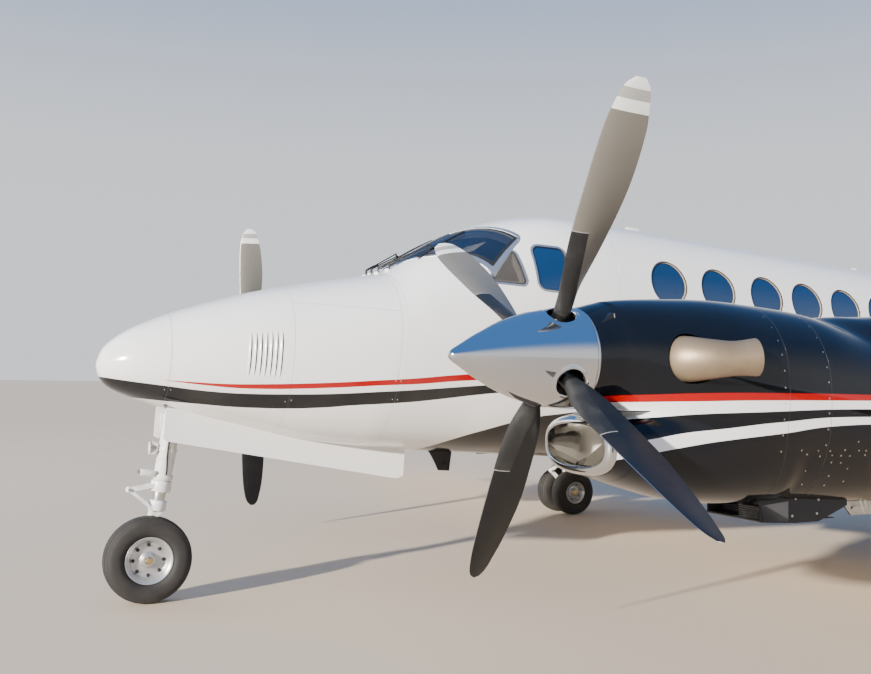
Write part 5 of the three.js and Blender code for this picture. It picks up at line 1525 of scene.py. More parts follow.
def foil_loft(rows: Sequence[Sequence[float]]) -> Shape:
    """Loft through sections, its leading edge painted as a boot."""
    return booted(loft(np.array([foil_ring(row) for row in rows])))


def booted(shape: Shape) -> Shape:
    """A foil loft whose leading edge has the second material."""
    sides = 2 * len(FOIL_SPACING) - 1
    edge = {i for i, t in enumerate(FOIL_SPACING) if t <= BOOT_SHARE}
    edge |= {sides - i for i in edge if i}
    paint = [int(len(f) == 4 and all(i % sides in edge for i in f)) for f in shape.faces]
    return Shape(shape.points, shape.faces, paint)


def wing_row(y: float) -> list[float]:
    """Wing section at a distance from the middle."""
    t = max(0.0, (abs(y) - WING_JOINT_Y) / (WING_TIP_Y - WING_JOINT_Y))
    x, chord, thickness = (a + (b - a) * t for a, b in zip(WING_ROOT, WING_TIP))
    z = WING_ROOT_Z + max(0.0, abs(y) - WING_ROOT_Y) * math.tan(DIHEDRAL)
    return [x, y, z, chord, thickness, WING_CAMBER, INCIDENCE, 0]


@dataclass(frozen=True)
class Surface:
    """A hinged surface of the wing: span, hinge line and its level from -1 to 1."""

    inner: float
    outer: float
    back: float
    level: float

    def hinge(self, y: float) -> tuple[float, float, float]:
        """Hinge x and z and the nose radius at a span."""
        x, _, z, chord, thickness, camber = wing_row(y)[:6]
        half = float(foil_half(self.back, thickness))
        up = float(foil_lift(self.back, camber)) + self.level * half
        hinge_x = x - chord * (self.back * math.cos(INCIDENCE) + up * math.sin(INCIDENCE))
        hinge_z = z + chord * (up * math.cos(INCIDENCE) - self.back * math.sin(INCIDENCE))
        return hinge_x, hinge_z, chord * half * (1 + abs(self.level))

    def space(self, grow: float) -> list[Shape]:
        """All behind the hinge line between the ends, with a round nose about it."""
        ends = [(y, *self.hinge(y)) for y in (self.inner - grow, self.outer + grow)]
        (y0, x0, z0, _), (y1, x1, z1, _) = ends
        slope_x, slope_z = (x1 - x0) / (y1 - y0), (z1 - z0) / (y1 - y0)
        block, nose = [], []
        for y, x, z, radius in ends:
            corners = ((x, z - 700), (x, z + 700), (x - 1400, z + 700), (x - 1400, z - 700))
            for ring, points in ((block, corners), (nose, circle(x, z, radius + grow, 48))):
                ring.append([(u, y - (u - x) * slope_x - (v - z) * slope_z, v) for u, v in points])
        return [loft(np.array(block)), loft(np.array(nose))]


FLAP_INBOARD = Surface(870, 2120, 0.74, -1)
FLAP_OUTBOARD = Surface(3133, 5535, 0.74, -1)
AILERON = Surface(5562, 8370, 0.76, 0)


def whole(pair: Sequence[Shape]) -> Shape:
    """Two overlapping solids as one."""
    return carved(pair[0], plus=pair[1:])


def hinge_pins(ends: Sequence[Sequence[float]], out: float) -> list[Shape]:
    """Alloy hinge pins at both ends of a surface, each standing out of it a little."""
    a, b = Vector(ends[0]), Vector(ends[1])
    axis = (b - a).normalized()
    pins = ((a - axis * out, a + axis * PIN_REACH), (b - axis * PIN_REACH, b + axis * out))
    return [rod(start, end, PIN_RADIUS).painted(2) for start, end in pins]


@dataclass
class Wing:
    """Wing skins, flaps, ailerons and winglets."""

    palette: Palette
    root_cut: float = 560.0

    def build(self) -> None:
        """Makes both halves."""
        tip_z = wing_row(WING_TIP_Y)[2]
        winglet = smooth_rows(
            [wing_row(WING_TIP_Y), [-3160, 8630, tip_z + 14, 850, 0.115, 0.012, 0.03, 0.3],
             [-3270, 8712, tip_z + 70, 730, 0.1, 0.006, 0.01, 0.85],
             [-3400, 8760, tip_z + 170, 610, 0.09, 0, 0, 1.3],
             [-3720, 8814, tip_z + 610, 290, 0.08, 0, 0, 1.42]], 30).tolist()
        centre = foil_loft([wing_row(y) for y in np.linspace(self.root_cut, WING_JOINT_Y - 0.6, 18)])
        outer = foil_loft([wing_row(y) for y in np.linspace(WING_JOINT_Y, WING_TIP_Y, 34)][:-1] + winglet)
        materials = [self.palette.white, self.palette.rubber]
        well = slab(*WHEEL_WELL, 4).placed(AIRFRAME.inverted() @ LEVEL)
        centre_cut = carved(centre, [*FLAP_INBOARD.space(SURFACE_GAP), well], materials=materials)
        outer_cut = carved(outer, [*FLAP_OUTBOARD.space(SURFACE_GAP), *AILERON.space(SURFACE_GAP)],
                           materials=materials)
        halves = [centre_cut.placed(side.matrix(AIRFRAME)) for side in Side]
        uncut = [centre.placed(side.matrix(AIRFRAME)) for side in Side]
        finish_piece("wing_centre_skin", joined(halves), materials, Fitting(replaces=("wing_center",)),
                     uncut)
        for side in Side:
            matrix = side.matrix(AIRFRAME)
            outer_skin, centre_skin = [outer.placed(matrix)], [centre.placed(matrix)]
            word = side.word
            finish_piece(f"outer_wing_{word}", outer_cut.placed(matrix), materials,
                         Fitting(replaces=(f"wing_{word}",)), outer_skin)
            for name, blank, surface, skins in (
                ("flap_inboard", centre, FLAP_INBOARD, centre_skin),
                ("flap_outboard", outer, FLAP_OUTBOARD, outer_skin),
                ("aileron", outer, AILERON, outer_skin),
            ):
                shape = carved(blank, keep=[whole(surface.space(0))], materials=materials)
                ends = [(surface.hinge(y)[0], y, surface.hinge(y)[1])
                        for y in (surface.inner, surface.outer)]
                wicks = self._wicks() if surface is AILERON else []
                shape = joined([shape, *hinge_pins(ends, 6.6), *wicks])
                finish_piece(f"{name}_skin_{word}", shape.placed(matrix), [*materials, self.palette.alloy],
                             Fitting(body=f"{name}_{word}", replaces=(f"{name}_{word}",)), skins)

    def _wicks(self) -> list[Shape]:
        """Short static wicks along the trailing edge of the aileron."""
        wicks = []
        for y in (6500, 7300, 8100):
            x, _, z, chord = wing_row(y)[:4]
            tail = (x - chord * math.cos(INCIDENCE) + 3, y, z - chord * math.sin(INCIDENCE))
            wicks.append(rod(tail, (tail[0] - 75, y, tail[2] - 3), 2.2, 1.4, 10).painted(1))
        return wicks


# Leading edge x, height, chord, thickness ratio
FIN = ((-10120, 2640, 1650, 0.11), (-11040, 4905, 1090, 0.1))
RUDDER_BACK, RUDDER_LOW, RUDDER_HIGH = 0.62, 2900, 4775
TAIL_Z, TAIL_HALF_SPAN, TAIL_ROOT, TAIL_TIP = 4930, 2805, (-10820, 1400), (-11420, 800)
ELEVATOR_X, ELEVATOR_INNER, ELEVATOR_OUTER = -11870, 125, 2780
BULLET = ((-10480, 0), (-10486, 12), (-10500, 24), (-10560, 46), (-10650, 68), (-10770, 84), (-10900, 92),
          (-11400, 92), (-11900, 88), (-12060, 69), (-12180, 45), (-12250, 25), (-12286, 12), (-12292, 0))


def fin_ring(x: float, z: float, chord: float, thickness: float) -> Array:
    """Upright section of the fin."""
    t = FOIL_SPACING
    back = np.concatenate([t, t[1:][::-1]])
    side = np.concatenate([foil_half(t, thickness), -foil_half(t, thickness)[1:][::-1]])
    return np.column_stack([x - back * chord, side * chord, np.full(len(back), z)])


def tail_row(y: float) -> list[float]:
    """Tailplane section at a distance from the middle."""
    t = abs(y) / TAIL_HALF_SPAN
    x = TAIL_ROOT[0] + (TAIL_TIP[0] - TAIL_ROOT[0]) * t
    chord = TAIL_ROOT[1] + (TAIL_TIP[1] - TAIL_ROOT[1]) * t
    return [x, y, TAIL_Z, chord, 0.1, 0, 0, 0]


def behind(ends: Sequence[tuple[float, float, float, float]], reach: float,
           ring: Callable[[float, float, float], Sequence[float]]) -> list[Shape]:
    """Block and round nose behind a hinge, each end given as place, x, z and nose radius."""
    block, nose = [], []
    for at, x, z, radius in ends:
        corners = ((x, z - reach), (x, z + reach), (x - 2 * reach, z + reach), (x - 2 * reach, z - reach))
        block.append([ring(at, u, v) for u, v in corners])
        nose.append([ring(at, u, v) for u, v in circle(x, z, radius, 40)])
    return [loft(np.array(block)), loft(np.array(nose))]


@dataclass
class Tail:
    """Fin with its fairing, rudder, tailplane with its bullet, and elevators."""

    palette: Palette

    def build(self) -> None:
        """Makes the tail."""
        rows = np.linspace(0, 1, 16)
        low, high = (np.array(row, float) for row in FIN)
        blank = loft(np.array([fin_ring(*(low + (high - low) * t)) for t in rows]))
        materials = [self.palette.white, self.palette.rubber, self.palette.alloy]
        tailplane = foil_loft([tail_row(y) for y in np.linspace(-TAIL_HALF_SPAN, TAIL_HALF_SPAN, 41)])
        bullet = turned(BULLET, 48).moved(0, 0, TAIL_Z)
        fin = carved(booted(blank), self._rudder_space(SURFACE_GAP), plus=[self._dorsal()],
                     materials=materials)
        finish_piece("fin_skin", fin.placed(AIRFRAME), materials, Fitting(replaces=("fin",)),
                     [blank.placed(AIRFRAME)])
        rudder = carved(blank, keep=[whole(self._rudder_space(0))])
        pins = hinge_pins([(self._hinge(z)[0], 0, z) for z in (RUDDER_LOW, RUDDER_HIGH)], 4.7)
        finish_piece("rudder_skin", joined([rudder, *pins]).placed(AIRFRAME), materials,
                     Fitting(body="rudder", replaces=("rudder",)), [blank.placed(AIRFRAME)])
        cuts = both(self._elevator_space(SURFACE_GAP))
        plane = carved(tailplane, cuts, materials=materials)
        body = carved(bullet, cuts, materials=materials)
        finish_piece("tailplane_skin", joined([plane, body]).placed(AIRFRAME), materials,
                     Fitting(replaces=("tailplane",)),
                     [tailplane.placed(AIRFRAME), bullet.placed(AIRFRAME)])
        elevator = carved(tailplane, keep=[whole(self._elevator_space(0))], materials=materials)
        pins = hinge_pins([(ELEVATOR_X, y, TAIL_Z) for y in (ELEVATOR_INNER, ELEVATOR_OUTER)], 6.7)
        for side in Side:
            matrix = side.matrix(AIRFRAME)
            finish_piece(f"elevator_skin_{side.word}", joined([elevator, *pins]).placed(matrix), materials,
                         Fitting(body="elevator", replaces=(f"elevator_{side.word}",)),
                         [tailplane.placed(matrix)])

    def _hinge(self, z: float) -> tuple[float, float]:
        """Rudder hinge x and nose radius at a height."""
        (x0, z0, c0, t0), (x1, z1, c1, t1) = FIN
        low = (x0 - c0 * RUDDER_BACK, c0 * float(foil_half(RUDDER_BACK, t0)))
        high = (x1 - c1 * RUDDER_BACK, c1 * float(foil_half(RUDDER_BACK, t1)))
        share = (z - z0) / (z1 - z0)
        return low[0] + (high[0] - low[0]) * share, low[1] + (high[1] - low[1]) * share

    def _rudder_space(self, grow: float) -> list[Shape]:
        """Space of the rudder."""
        ends = []
        for z in (RUDDER_LOW - grow, RUDDER_HIGH + grow):
            x, nose = self._hinge(z)
            ends.append((z, x, 0.0, nose + grow))
        return behind(ends, 600, lambda at, u, v: (u, v, at))

    def _elevator_space(self, grow: float) -> list[Shape]:
        """Space of the left elevator."""
        ends = []
        for y in (ELEVATOR_INNER - grow, ELEVATOR_OUTER + grow):
            x, _, z, chord, thickness = tail_row(y)[:5]
            nose = chord * float(foil_half((x - ELEVATOR_X) / chord, thickness))
            ends.append((y, ELEVATOR_X, z, nose + grow))
        return behind(ends, 300, lambda at, u, v: (u, at, v))

    def _dorsal(self) -> Shape:
        """Fairing ahead of the fin."""
        rise = smooth_rows([(-8500, 2826), (-9500, 2900), (-10000, 3020), (-10500, 3240)], 24)
        rings = []
        for i, (x, height) in enumerate(rise):
            width = 12 + 45 * i / (len(rise) - 1)
            arc = np.linspace(0, math.pi, 13)
            top = [(width * 0.62 * math.cos(a), height - width * 0.5 + width * 0.5 * math.sin(a))
                   for a in arc]
            section = [(width, 2640), *top, (-width, 2640)]
            rings.append([(x, y, z) for y, z in section])
        return loft(np.array(rings))


# Nacelle


# Level with the ground: x, top, bottom, half width, widest height, squareness above and below
COWL = (
    (-134, 1824, 1348, 238, 1586, 2.0, 2.0),
    (-296, 1864, 1346, 270, 1592, 2.0, 2.0),
    (-420, 1880, 1190, 306, 1570, 2.1, 2.1),
    (-613, 1892, 1000, 352, 1530, 2.2, 2.2),
    (-880, 1900, 900, 392, 1480, 2.3, 2.3),
    (-1200, 1886, 862, 412, 1430, 2.3, 2.3),
    (-1506, 1858, 850, 420, 1390, 2.3, 2.4),
    (-1800, 1800, 842, 425, 1350, 2.2, 2.5),
    (-2250, 1735, 838, 425, 1300, 2.2, 2.5),
    (-3300, 1600, 840, 415, 1230, 2.2, 2.5),
    (-4100, 1480, 850, 380, 1160, 2.2, 2.4),
    (-4700, 1340, 900, 300, 1120, 2.1, 2.2),
    (-5250, 1160, 1010, 110, 1080, 2.0, 2.0),
)
LOCKER = (
    (-1640, 1790, 1300, 150, 1450, 2.2, 2.2),
    (-1720, 1842, 1290, 230, 1450, 2.4, 2.4),
    (-2020, 1861, 1250, 325, 1450, 2.5, 2.4),
    (-2260, 1874, 1200, 350, 1450, 2.6, 2.4),
    (-2800, 1885, 1150, 360, 1430, 2.7, 2.4),
    (-3800, 1790, 1120, 335, 1380, 2.6, 2.4),
    (-4700, 1480, 1100, 220, 1250, 2.4, 2.2),
    (-5300, 1200, 1080, 70, 1120, 2.0, 2.0),
)
CHIN = (
    (-160, 1300, 1048, 262, 1176, 2.6, 2.6),
    (-176, 1310, 1038, 274, 1178, 2.6, 2.6),
    (-250, 1328, 1018, 290, 1182, 2.5, 2.5),
    (-420, 1370, 965, 318, 1180, 2.5, 2.4),
    (-700, 1400, 895, 350, 1180, 2.4, 2.4),
    (-1000, 1420, 877, 368, 1180, 2.4, 2.4),
    (-1250, 1420, 876, 360, 1180, 2.4, 2.4),
)
STACK = (
    (-560, ENGINE_Y + 187.9, 1588, 84, 104),
    (-570, ENGINE_Y + 300, 1588, 98, 110),
    (-638, ENGINE_Y + 386, 1590, 92, 95),
    (-740, ENGINE_Y + 440, 1594, 84, 82),
    (-838, ENGINE_Y + 478, 1602, 92, 89),
)
RAY_STARTS = ((264, 1343), (420, 1330), (900, 1330), (2400, 1300), (5250, 1085))
LIP_BACK, INTAKE_THROAT, INTAKE_WALL, INTAKE_MOUTH, FIREWALL_X, COWL_WALL = -204, -560, 24, 42, -1900, 34
WHEEL_WELL = ((-3920, ENGINE_Y - 262, 500), (-2290, ENGINE_Y + 262, 1240))


def section_of(table: Outline, x: float) -> list[float] | None:
    """Section of a table at x, or None outside it."""
    low, high = min(row[0] for row in table), max(row[0] for row in table)
    return columns_at(table, x) if low <= x <= high else None


def inside(section: Sequence[float], y: Array, z: Array) -> Array:
    """Rough distance inside a squared oval, negative within, in millimetres."""
    top, bottom, half, middle, square_up, square_down = section
    up = z > middle
    rise = np.where(up, top - middle, middle - bottom)
    power = np.where(up, square_up, square_down)
    size = (np.abs(y / half) ** power + np.abs((z - middle) / rise) ** power) ** (1 / power)
    return (size - 1) * min(half, (top - bottom) / 2)


def oval_loft(table: Outline, stations: Sequence[float], sides: int, inset: float = 0) -> Shape:
    """Loft through a table's squared ovals about the left engine's middle plane."""
    return loft(np.array([oval(x, ENGINE_Y, columns_at(table, x), sides, inset) for x in stations]))


@dataclass
class Nacelle:
    """Cowl, chin intake, cooler box, stacks and locker of one side, with the engine in it."""

    palette: Palette
    sides: int = 144
    blend: float = 42.0
    ray_reach: float = 900.0
    ray_steps: int = 30

    def build(self) -> None:
        """Makes both nacelles."""
        body, skins = self._cowl()
        lip = self._lip()
        p = self.palette
        for side in Side:
            matrix, word = side.matrix(LEVEL), side.word
            finish_piece(f"cowl_{word}", body.placed(matrix), [p.cowl, p.dark, p.alloy],
                         Fitting(slot="black", replaces=(f"nacelle_{word}",)),
                         [s.placed(matrix) for s in skins])
            finish_piece(f"intake_rim_{word}", lip.placed(matrix), [p.lip],
                         Fitting(slot="chrome", replaces=(f"intake_lip_{word}",)), [lip.placed(matrix)])
            finish_piece(f"intake_duct_{word}", self._duct().placed(matrix), [p.lip, p.duct],
                         Fitting(slot="chrome"))
            finish_piece(f"cooler_{word}", self._cooler().placed(matrix),
                         [p.black, p.dark, p.alloy, p.trim, p.screw], Fitting(slot="black"))
            finish_piece(f"cowl_fittings_{word}", self._fittings().placed(matrix),
                         [p.alloy, p.dark, p.black], Fitting(slot="steel"))
            finish_piece(f"engine_block_{word}", self._engine().placed(matrix), [p.steel, p.alloy],
                         Fitting(slot="steel", replaces=(f"engine_{word}",)))
            stack = self._stack()
            for place, shape in (("outboard", stack),
                                 ("inboard", stack.placed(MIRROR).moved(y=2 * ENGINE_Y))):
                finish_piece(f"stack_{place}_{word}", shape.placed(matrix), [p.exhaust, p.dark],
                             Fitting(slot="exhaust", replaces=(f"exhaust_{place}_{word}",)), crease=40)

    def _rings(self, tables: Sequence[Outline], stations: Sequence[float],
               centres: Sequence[float]) -> Array:
        """Rings of the smooth union of several squared ovals, found along rays from their centres."""
        turns = 2 * np.pi * (np.arange(self.sides) + 0.5) / self.sides
        c, s = np.cos(turns), np.sin(turns)
        rings = []
        for x, centre in zip(stations, centres):
            sections = [q for q in (section_of(t, x) for t in tables) if q]
            low, high = np.zeros(self.sides), np.full(self.sides, self.ray_reach)
            for _ in range(self.ray_steps):
                middle = (low + high) / 2
                y, z = middle * c, centre + middle * s
                value = inside(sections[0], y, z)
                for section in sections[1:]:
                    other = inside(section, y, z)
                    share = np.clip(0.5 + 0.5 * (other - value) / self.blend, 0, 1)
                    value = other * (1 - share) + value * share - self.blend * share * (1 - share)
                low = np.where(value < 0, middle, low)
                high = np.where(value < 0, high, middle)
            rings.append(np.column_stack([np.full(self.sides, x), ENGINE_Y + low * c, centre + low * s]))
        return np.array(rings)

    def _centre(self, x: float) -> float:
        """Height that the rays start from at a station."""
        return float(np.interp(-x, *zip(*RAY_STARTS)))

    def _cowl(self) -> tuple[Shape, list[Shape]]:
        """The black body with its openings cut, and its uncut skins."""
        stations = spaced(-264, -2400, 42) + spaced(-2400, -5250, 85)[1:]
        body = loft(self._rings((COWL, CHIN, LOCKER), stations, [self._centre(x) for x in stations]))
        chin = oval_loft(CHIN, spaced(LIP_BACK - 0.5, -320, 15), self.sides)
        nose = oval_loft(COWL, spaced(-134, -700, 30), self.sides)
        bay = oval_loft(COWL, spaced(-180, FIREWALL_X, 120), 64, COWL_WALL)
        bay = carved(bay, keep=[slab((FIREWALL_X, ENGINE_Y - 500, 1380), (-175, ENGINE_Y + 500, 2000), 4)])
        intake = oval_loft(CHIN, spaced(-150, INTAKE_THROAT, 30), 96, INTAKE_WALL)
        hole = turned(((-120, 150), (-215, 150)), 48).moved(0, ENGINE_Y, THRUST_Z)
        cut = self._stack_space()
        cuts = [bay, intake, hole, slab(*WHEEL_WELL, 4), cut, cut.placed(MIRROR).moved(y=2 * ENGINE_Y)]
        shape = carved(nose, cuts, plus=[body, chin])
        return shape, [body, nose, chin]

    def spots(self, x: float) -> list[tuple[Vector, Vector]]:
        """Points and outward directions round the cowl at one station."""
        here, ahead = self._rings((COWL, CHIN, LOCKER), [x, x + 4], [self._centre(x)] * 2)
        found = []
        for i in range(self.sides):
            round_way = Vector(here[(i + 1) % self.sides]) - Vector(here[i - 1])
            inward = round_way.cross(Vector(ahead[i]) - Vector(here[i])).normalized()
            found.append((Vector(here[i]), inward * -1))
        return found

    def spot_at(self, x: float, z: float, place: int) -> tuple[Vector, Vector]:
        """Point and outward direction on the cowl at a station and a height, on one side of it."""
        line = [s for s in self.spots(x) if (s[0].y - ENGINE_Y) * place > 0]
        return min(line, key=lambda s: abs(s[0].z - z))

    def _lip(self) -> Shape:
        """Polished rim of the chin intake, rounded at its front."""
        rows = [(-204, 3), (-202, 0.8), (-197, 0), (-188, 0), (-177, 0.6), (-168, 3), (-161.5, 7.5),
                (-158, 14), (-158.5, 21), (-162.5, 28), (-170, 34), (-181, 39), (-193, 41.5), (-204, 42)]
        rings = [oval(x, ENGINE_Y, columns_at(CHIN, min(x, -160)), 120, inset) for x, inset in rows]
        return loft(np.array(rings), wrap=True)

    def _duct(self) -> Shape:
        """Inner wall of the intake with its sloping splitter."""
        stations = spaced(LIP_BACK, INTAKE_THROAT + 12, 20)
        depths = np.interp(stations, (INTAKE_THROAT, -300, LIP_BACK),
                           (INTAKE_WALL + 5, INTAKE_WALL + 8, INTAKE_MOUTH))
        outer = np.array([oval(x, ENGINE_Y, columns_at(CHIN, x), 96, INTAKE_WALL + 1) for x in stations])
        inner = np.array([oval(x, ENGINE_Y, columns_at(CHIN, x), 96, d)
                          for x, d in zip(stations, depths)])[::-1]
        wall = loft(np.vstack([outer, inner]), wrap=True)
        back = prism([(y, z) for _, y, z in oval(-550, ENGINE_Y, columns_at(CHIN, -550), 96,
                                                 INTAKE_WALL + 6)], -556, -548, "X")
        ramp = along([(-300, ENGINE_Y, 1060), (-400, ENGINE_Y, 1100), (-545, ENGINE_Y, 1215)],
                     [(225, 6), (222, 7), (200, 8)], 20)
        return joined([wall, back.painted(1), ramp])

    def _stack_space(self) -> Shape:
        """Opening round an exhaust stack."""
        rows = smooth_rows([(x, y, z, a + 12, b + 12) for x, y, z, a, b in STACK[1:]]
                           + [(-1010, ENGINE_Y + 552, 1610, 100, 100)], 20)
        rows = np.vstack([[-560, ENGINE_Y + 150, 1588, 100, 116], rows])
        return along(rows[:, :3], rows[:, 3:], 40)

    def _stack(self) -> Shape:
        """Curved exhaust stack, open at its mouth, its bore in the near-black finish as painted shade inside
        the pipe.
        """
        rows = smooth_rows(STACK, 34)
        outer = along(rows[:, :3], rows[:, 3:], 56)
        bore = rows[14:].copy()
        bore[:, 3:] -= 6
        bore[-1, :3] += (bore[-1, :3] - bore[-2, :3]) * 0.6
        # The bore's faces take the near-black finish: painted shade inside the stack.
        return carved(outer, [along(bore[:, :3], bore[:, 3:], 56).painted(1)],
                      materials=[self.palette.exhaust, self.palette.dark])

    def _cooler(self) -> Shape:
        """Oil-cooler box under the cowl: slats in its mouth, whose inside is painted shade, a flat near-black
        sheet painted as shade with a lighter flat triangle on it painted as the lit face of a crease, four
        screws and a door behind.
        """
        front, aft, half = -1150.0, -1770.0, 190.0
        near = ENGINE_Y + half
        outline = rounded([(front, 960), (front, 782), (-1400, 768), (-1560, 768), (aft, 842), (aft, 960)],
                          10)
        box = prism(outline, ENGINE_Y - half, near, "Y")
        # The mouth's cut faces take the near-black finish: painted shade inside the opening.
        mouth = slab((front - 110, ENGINE_Y - half + 8, 794), (front + 60, near - 8, 874), 6).painted(1)
        shape = carved(box, [mouth], materials=[self.palette.black, self.palette.dark])
        slats = [slab((front - 60, near - 150, low), (front - 3, near - 9, low + 2.5), 1, 1).painted(2)
                 for low in range(799, 865, 11)]
        # Flat sheets on the side: the near-black one is painted shade, and the lighter trim-coloured triangle
        # over it is the painted lit face of a crease.
        shaded_cheek = prism([(-1160, 866), (-1345, 882), (-1345, 778), (-1175, 784)], near - 1, near + 1,
                      "Y").painted(1)
        lit_fold = prism([(-1180, 868), (-1344, 881), (-1344, 790)], near, near + 2.2, "Y").painted(3)
        screws = [rod((x, near - 1, z), (x, near + 2.5, z), 7).painted(4)
                  for x, z in ((-1396, 893), (-1560, 881), (-1373, 805), (-1548, 810))]
        flap = slab((-1690, ENGINE_Y - half + 12, 778), (-1570, near - 12, 783), 2)
        return joined([shape, *slats, shaded_cheek, lit_fold, *screws, flap])

    def _fittings(self) -> Shape:
        """Rim behind the spinner, air scoop, drain tubes and the plate between cowl and lip."""
        rim = turned(((-139, 238.6), (-139, 230), (-130, 230), (-127, 233), (-127.5, 238), (-131, 240)), 96,
                     wrap=True)
        plate = slab((-470, ENGINE_Y - 250, 1341), (-235, ENGINE_Y + 250, 1346), 2).painted(2)
        parts = [rim.moved(0, ENGINE_Y, THRUST_Z), self._scoop(), plate]
        for y, x in ((-60, -2050), (40, -2080), (90, -1990)):
            parts.append(rod((x, ENGINE_Y + y, 850), (x - 30, ENGINE_Y + y, 778), 8))
        return joined(parts)

    def _scoop(self) -> Shape:
        """Small wedge-shaped air scoop on the cowl's shoulder, its aft edge pale."""
        low, high, half = 1748.0, 1800.0, 13.0
        outline = ((-172, low), (-252, low - 4), (-246, high - 6), (-238, high))
        wedge = prism(outline, -half, half, "Y").painted(2)
        edge = prism(((-253, low - 4), (-259, low - 4), (-252, high - 5), (-246, high - 4)), -half, half,
                     "Y")
        return joined([wedge, edge]).moved(0, ENGINE_Y + 172, 0)

    def _engine(self) -> Shape:
        """Engine with its gearbox, cases and flanges."""
        profile = [(-108.4, 0), (-108.4, 54), (-224, 54), (-226, 138), (-300, 150), (-306, 168),
                   (-326, 168), (-332, 160), (-430, 178), (-436, 184), (-450, 184), (-456, 178),
                   (-655, 179), (-662, 190), (-690, 190), (-700, 196), (-745, 203), (-1000, 203),
                   (-1006, 209), (-1022, 209), (-1028, 203), (-1250, 203), (-1330, 185), (-1500, 139),
                   (-1700, 128), (-1899, 120), (-1899.6, 0)]
        return turned(profile, 64).moved(0, ENGINE_Y, THRUST_Z)


# Material numbers of the blades
FACE, BACK, TIP, GREY, BOOT, SHANK, EDGE = range(7)


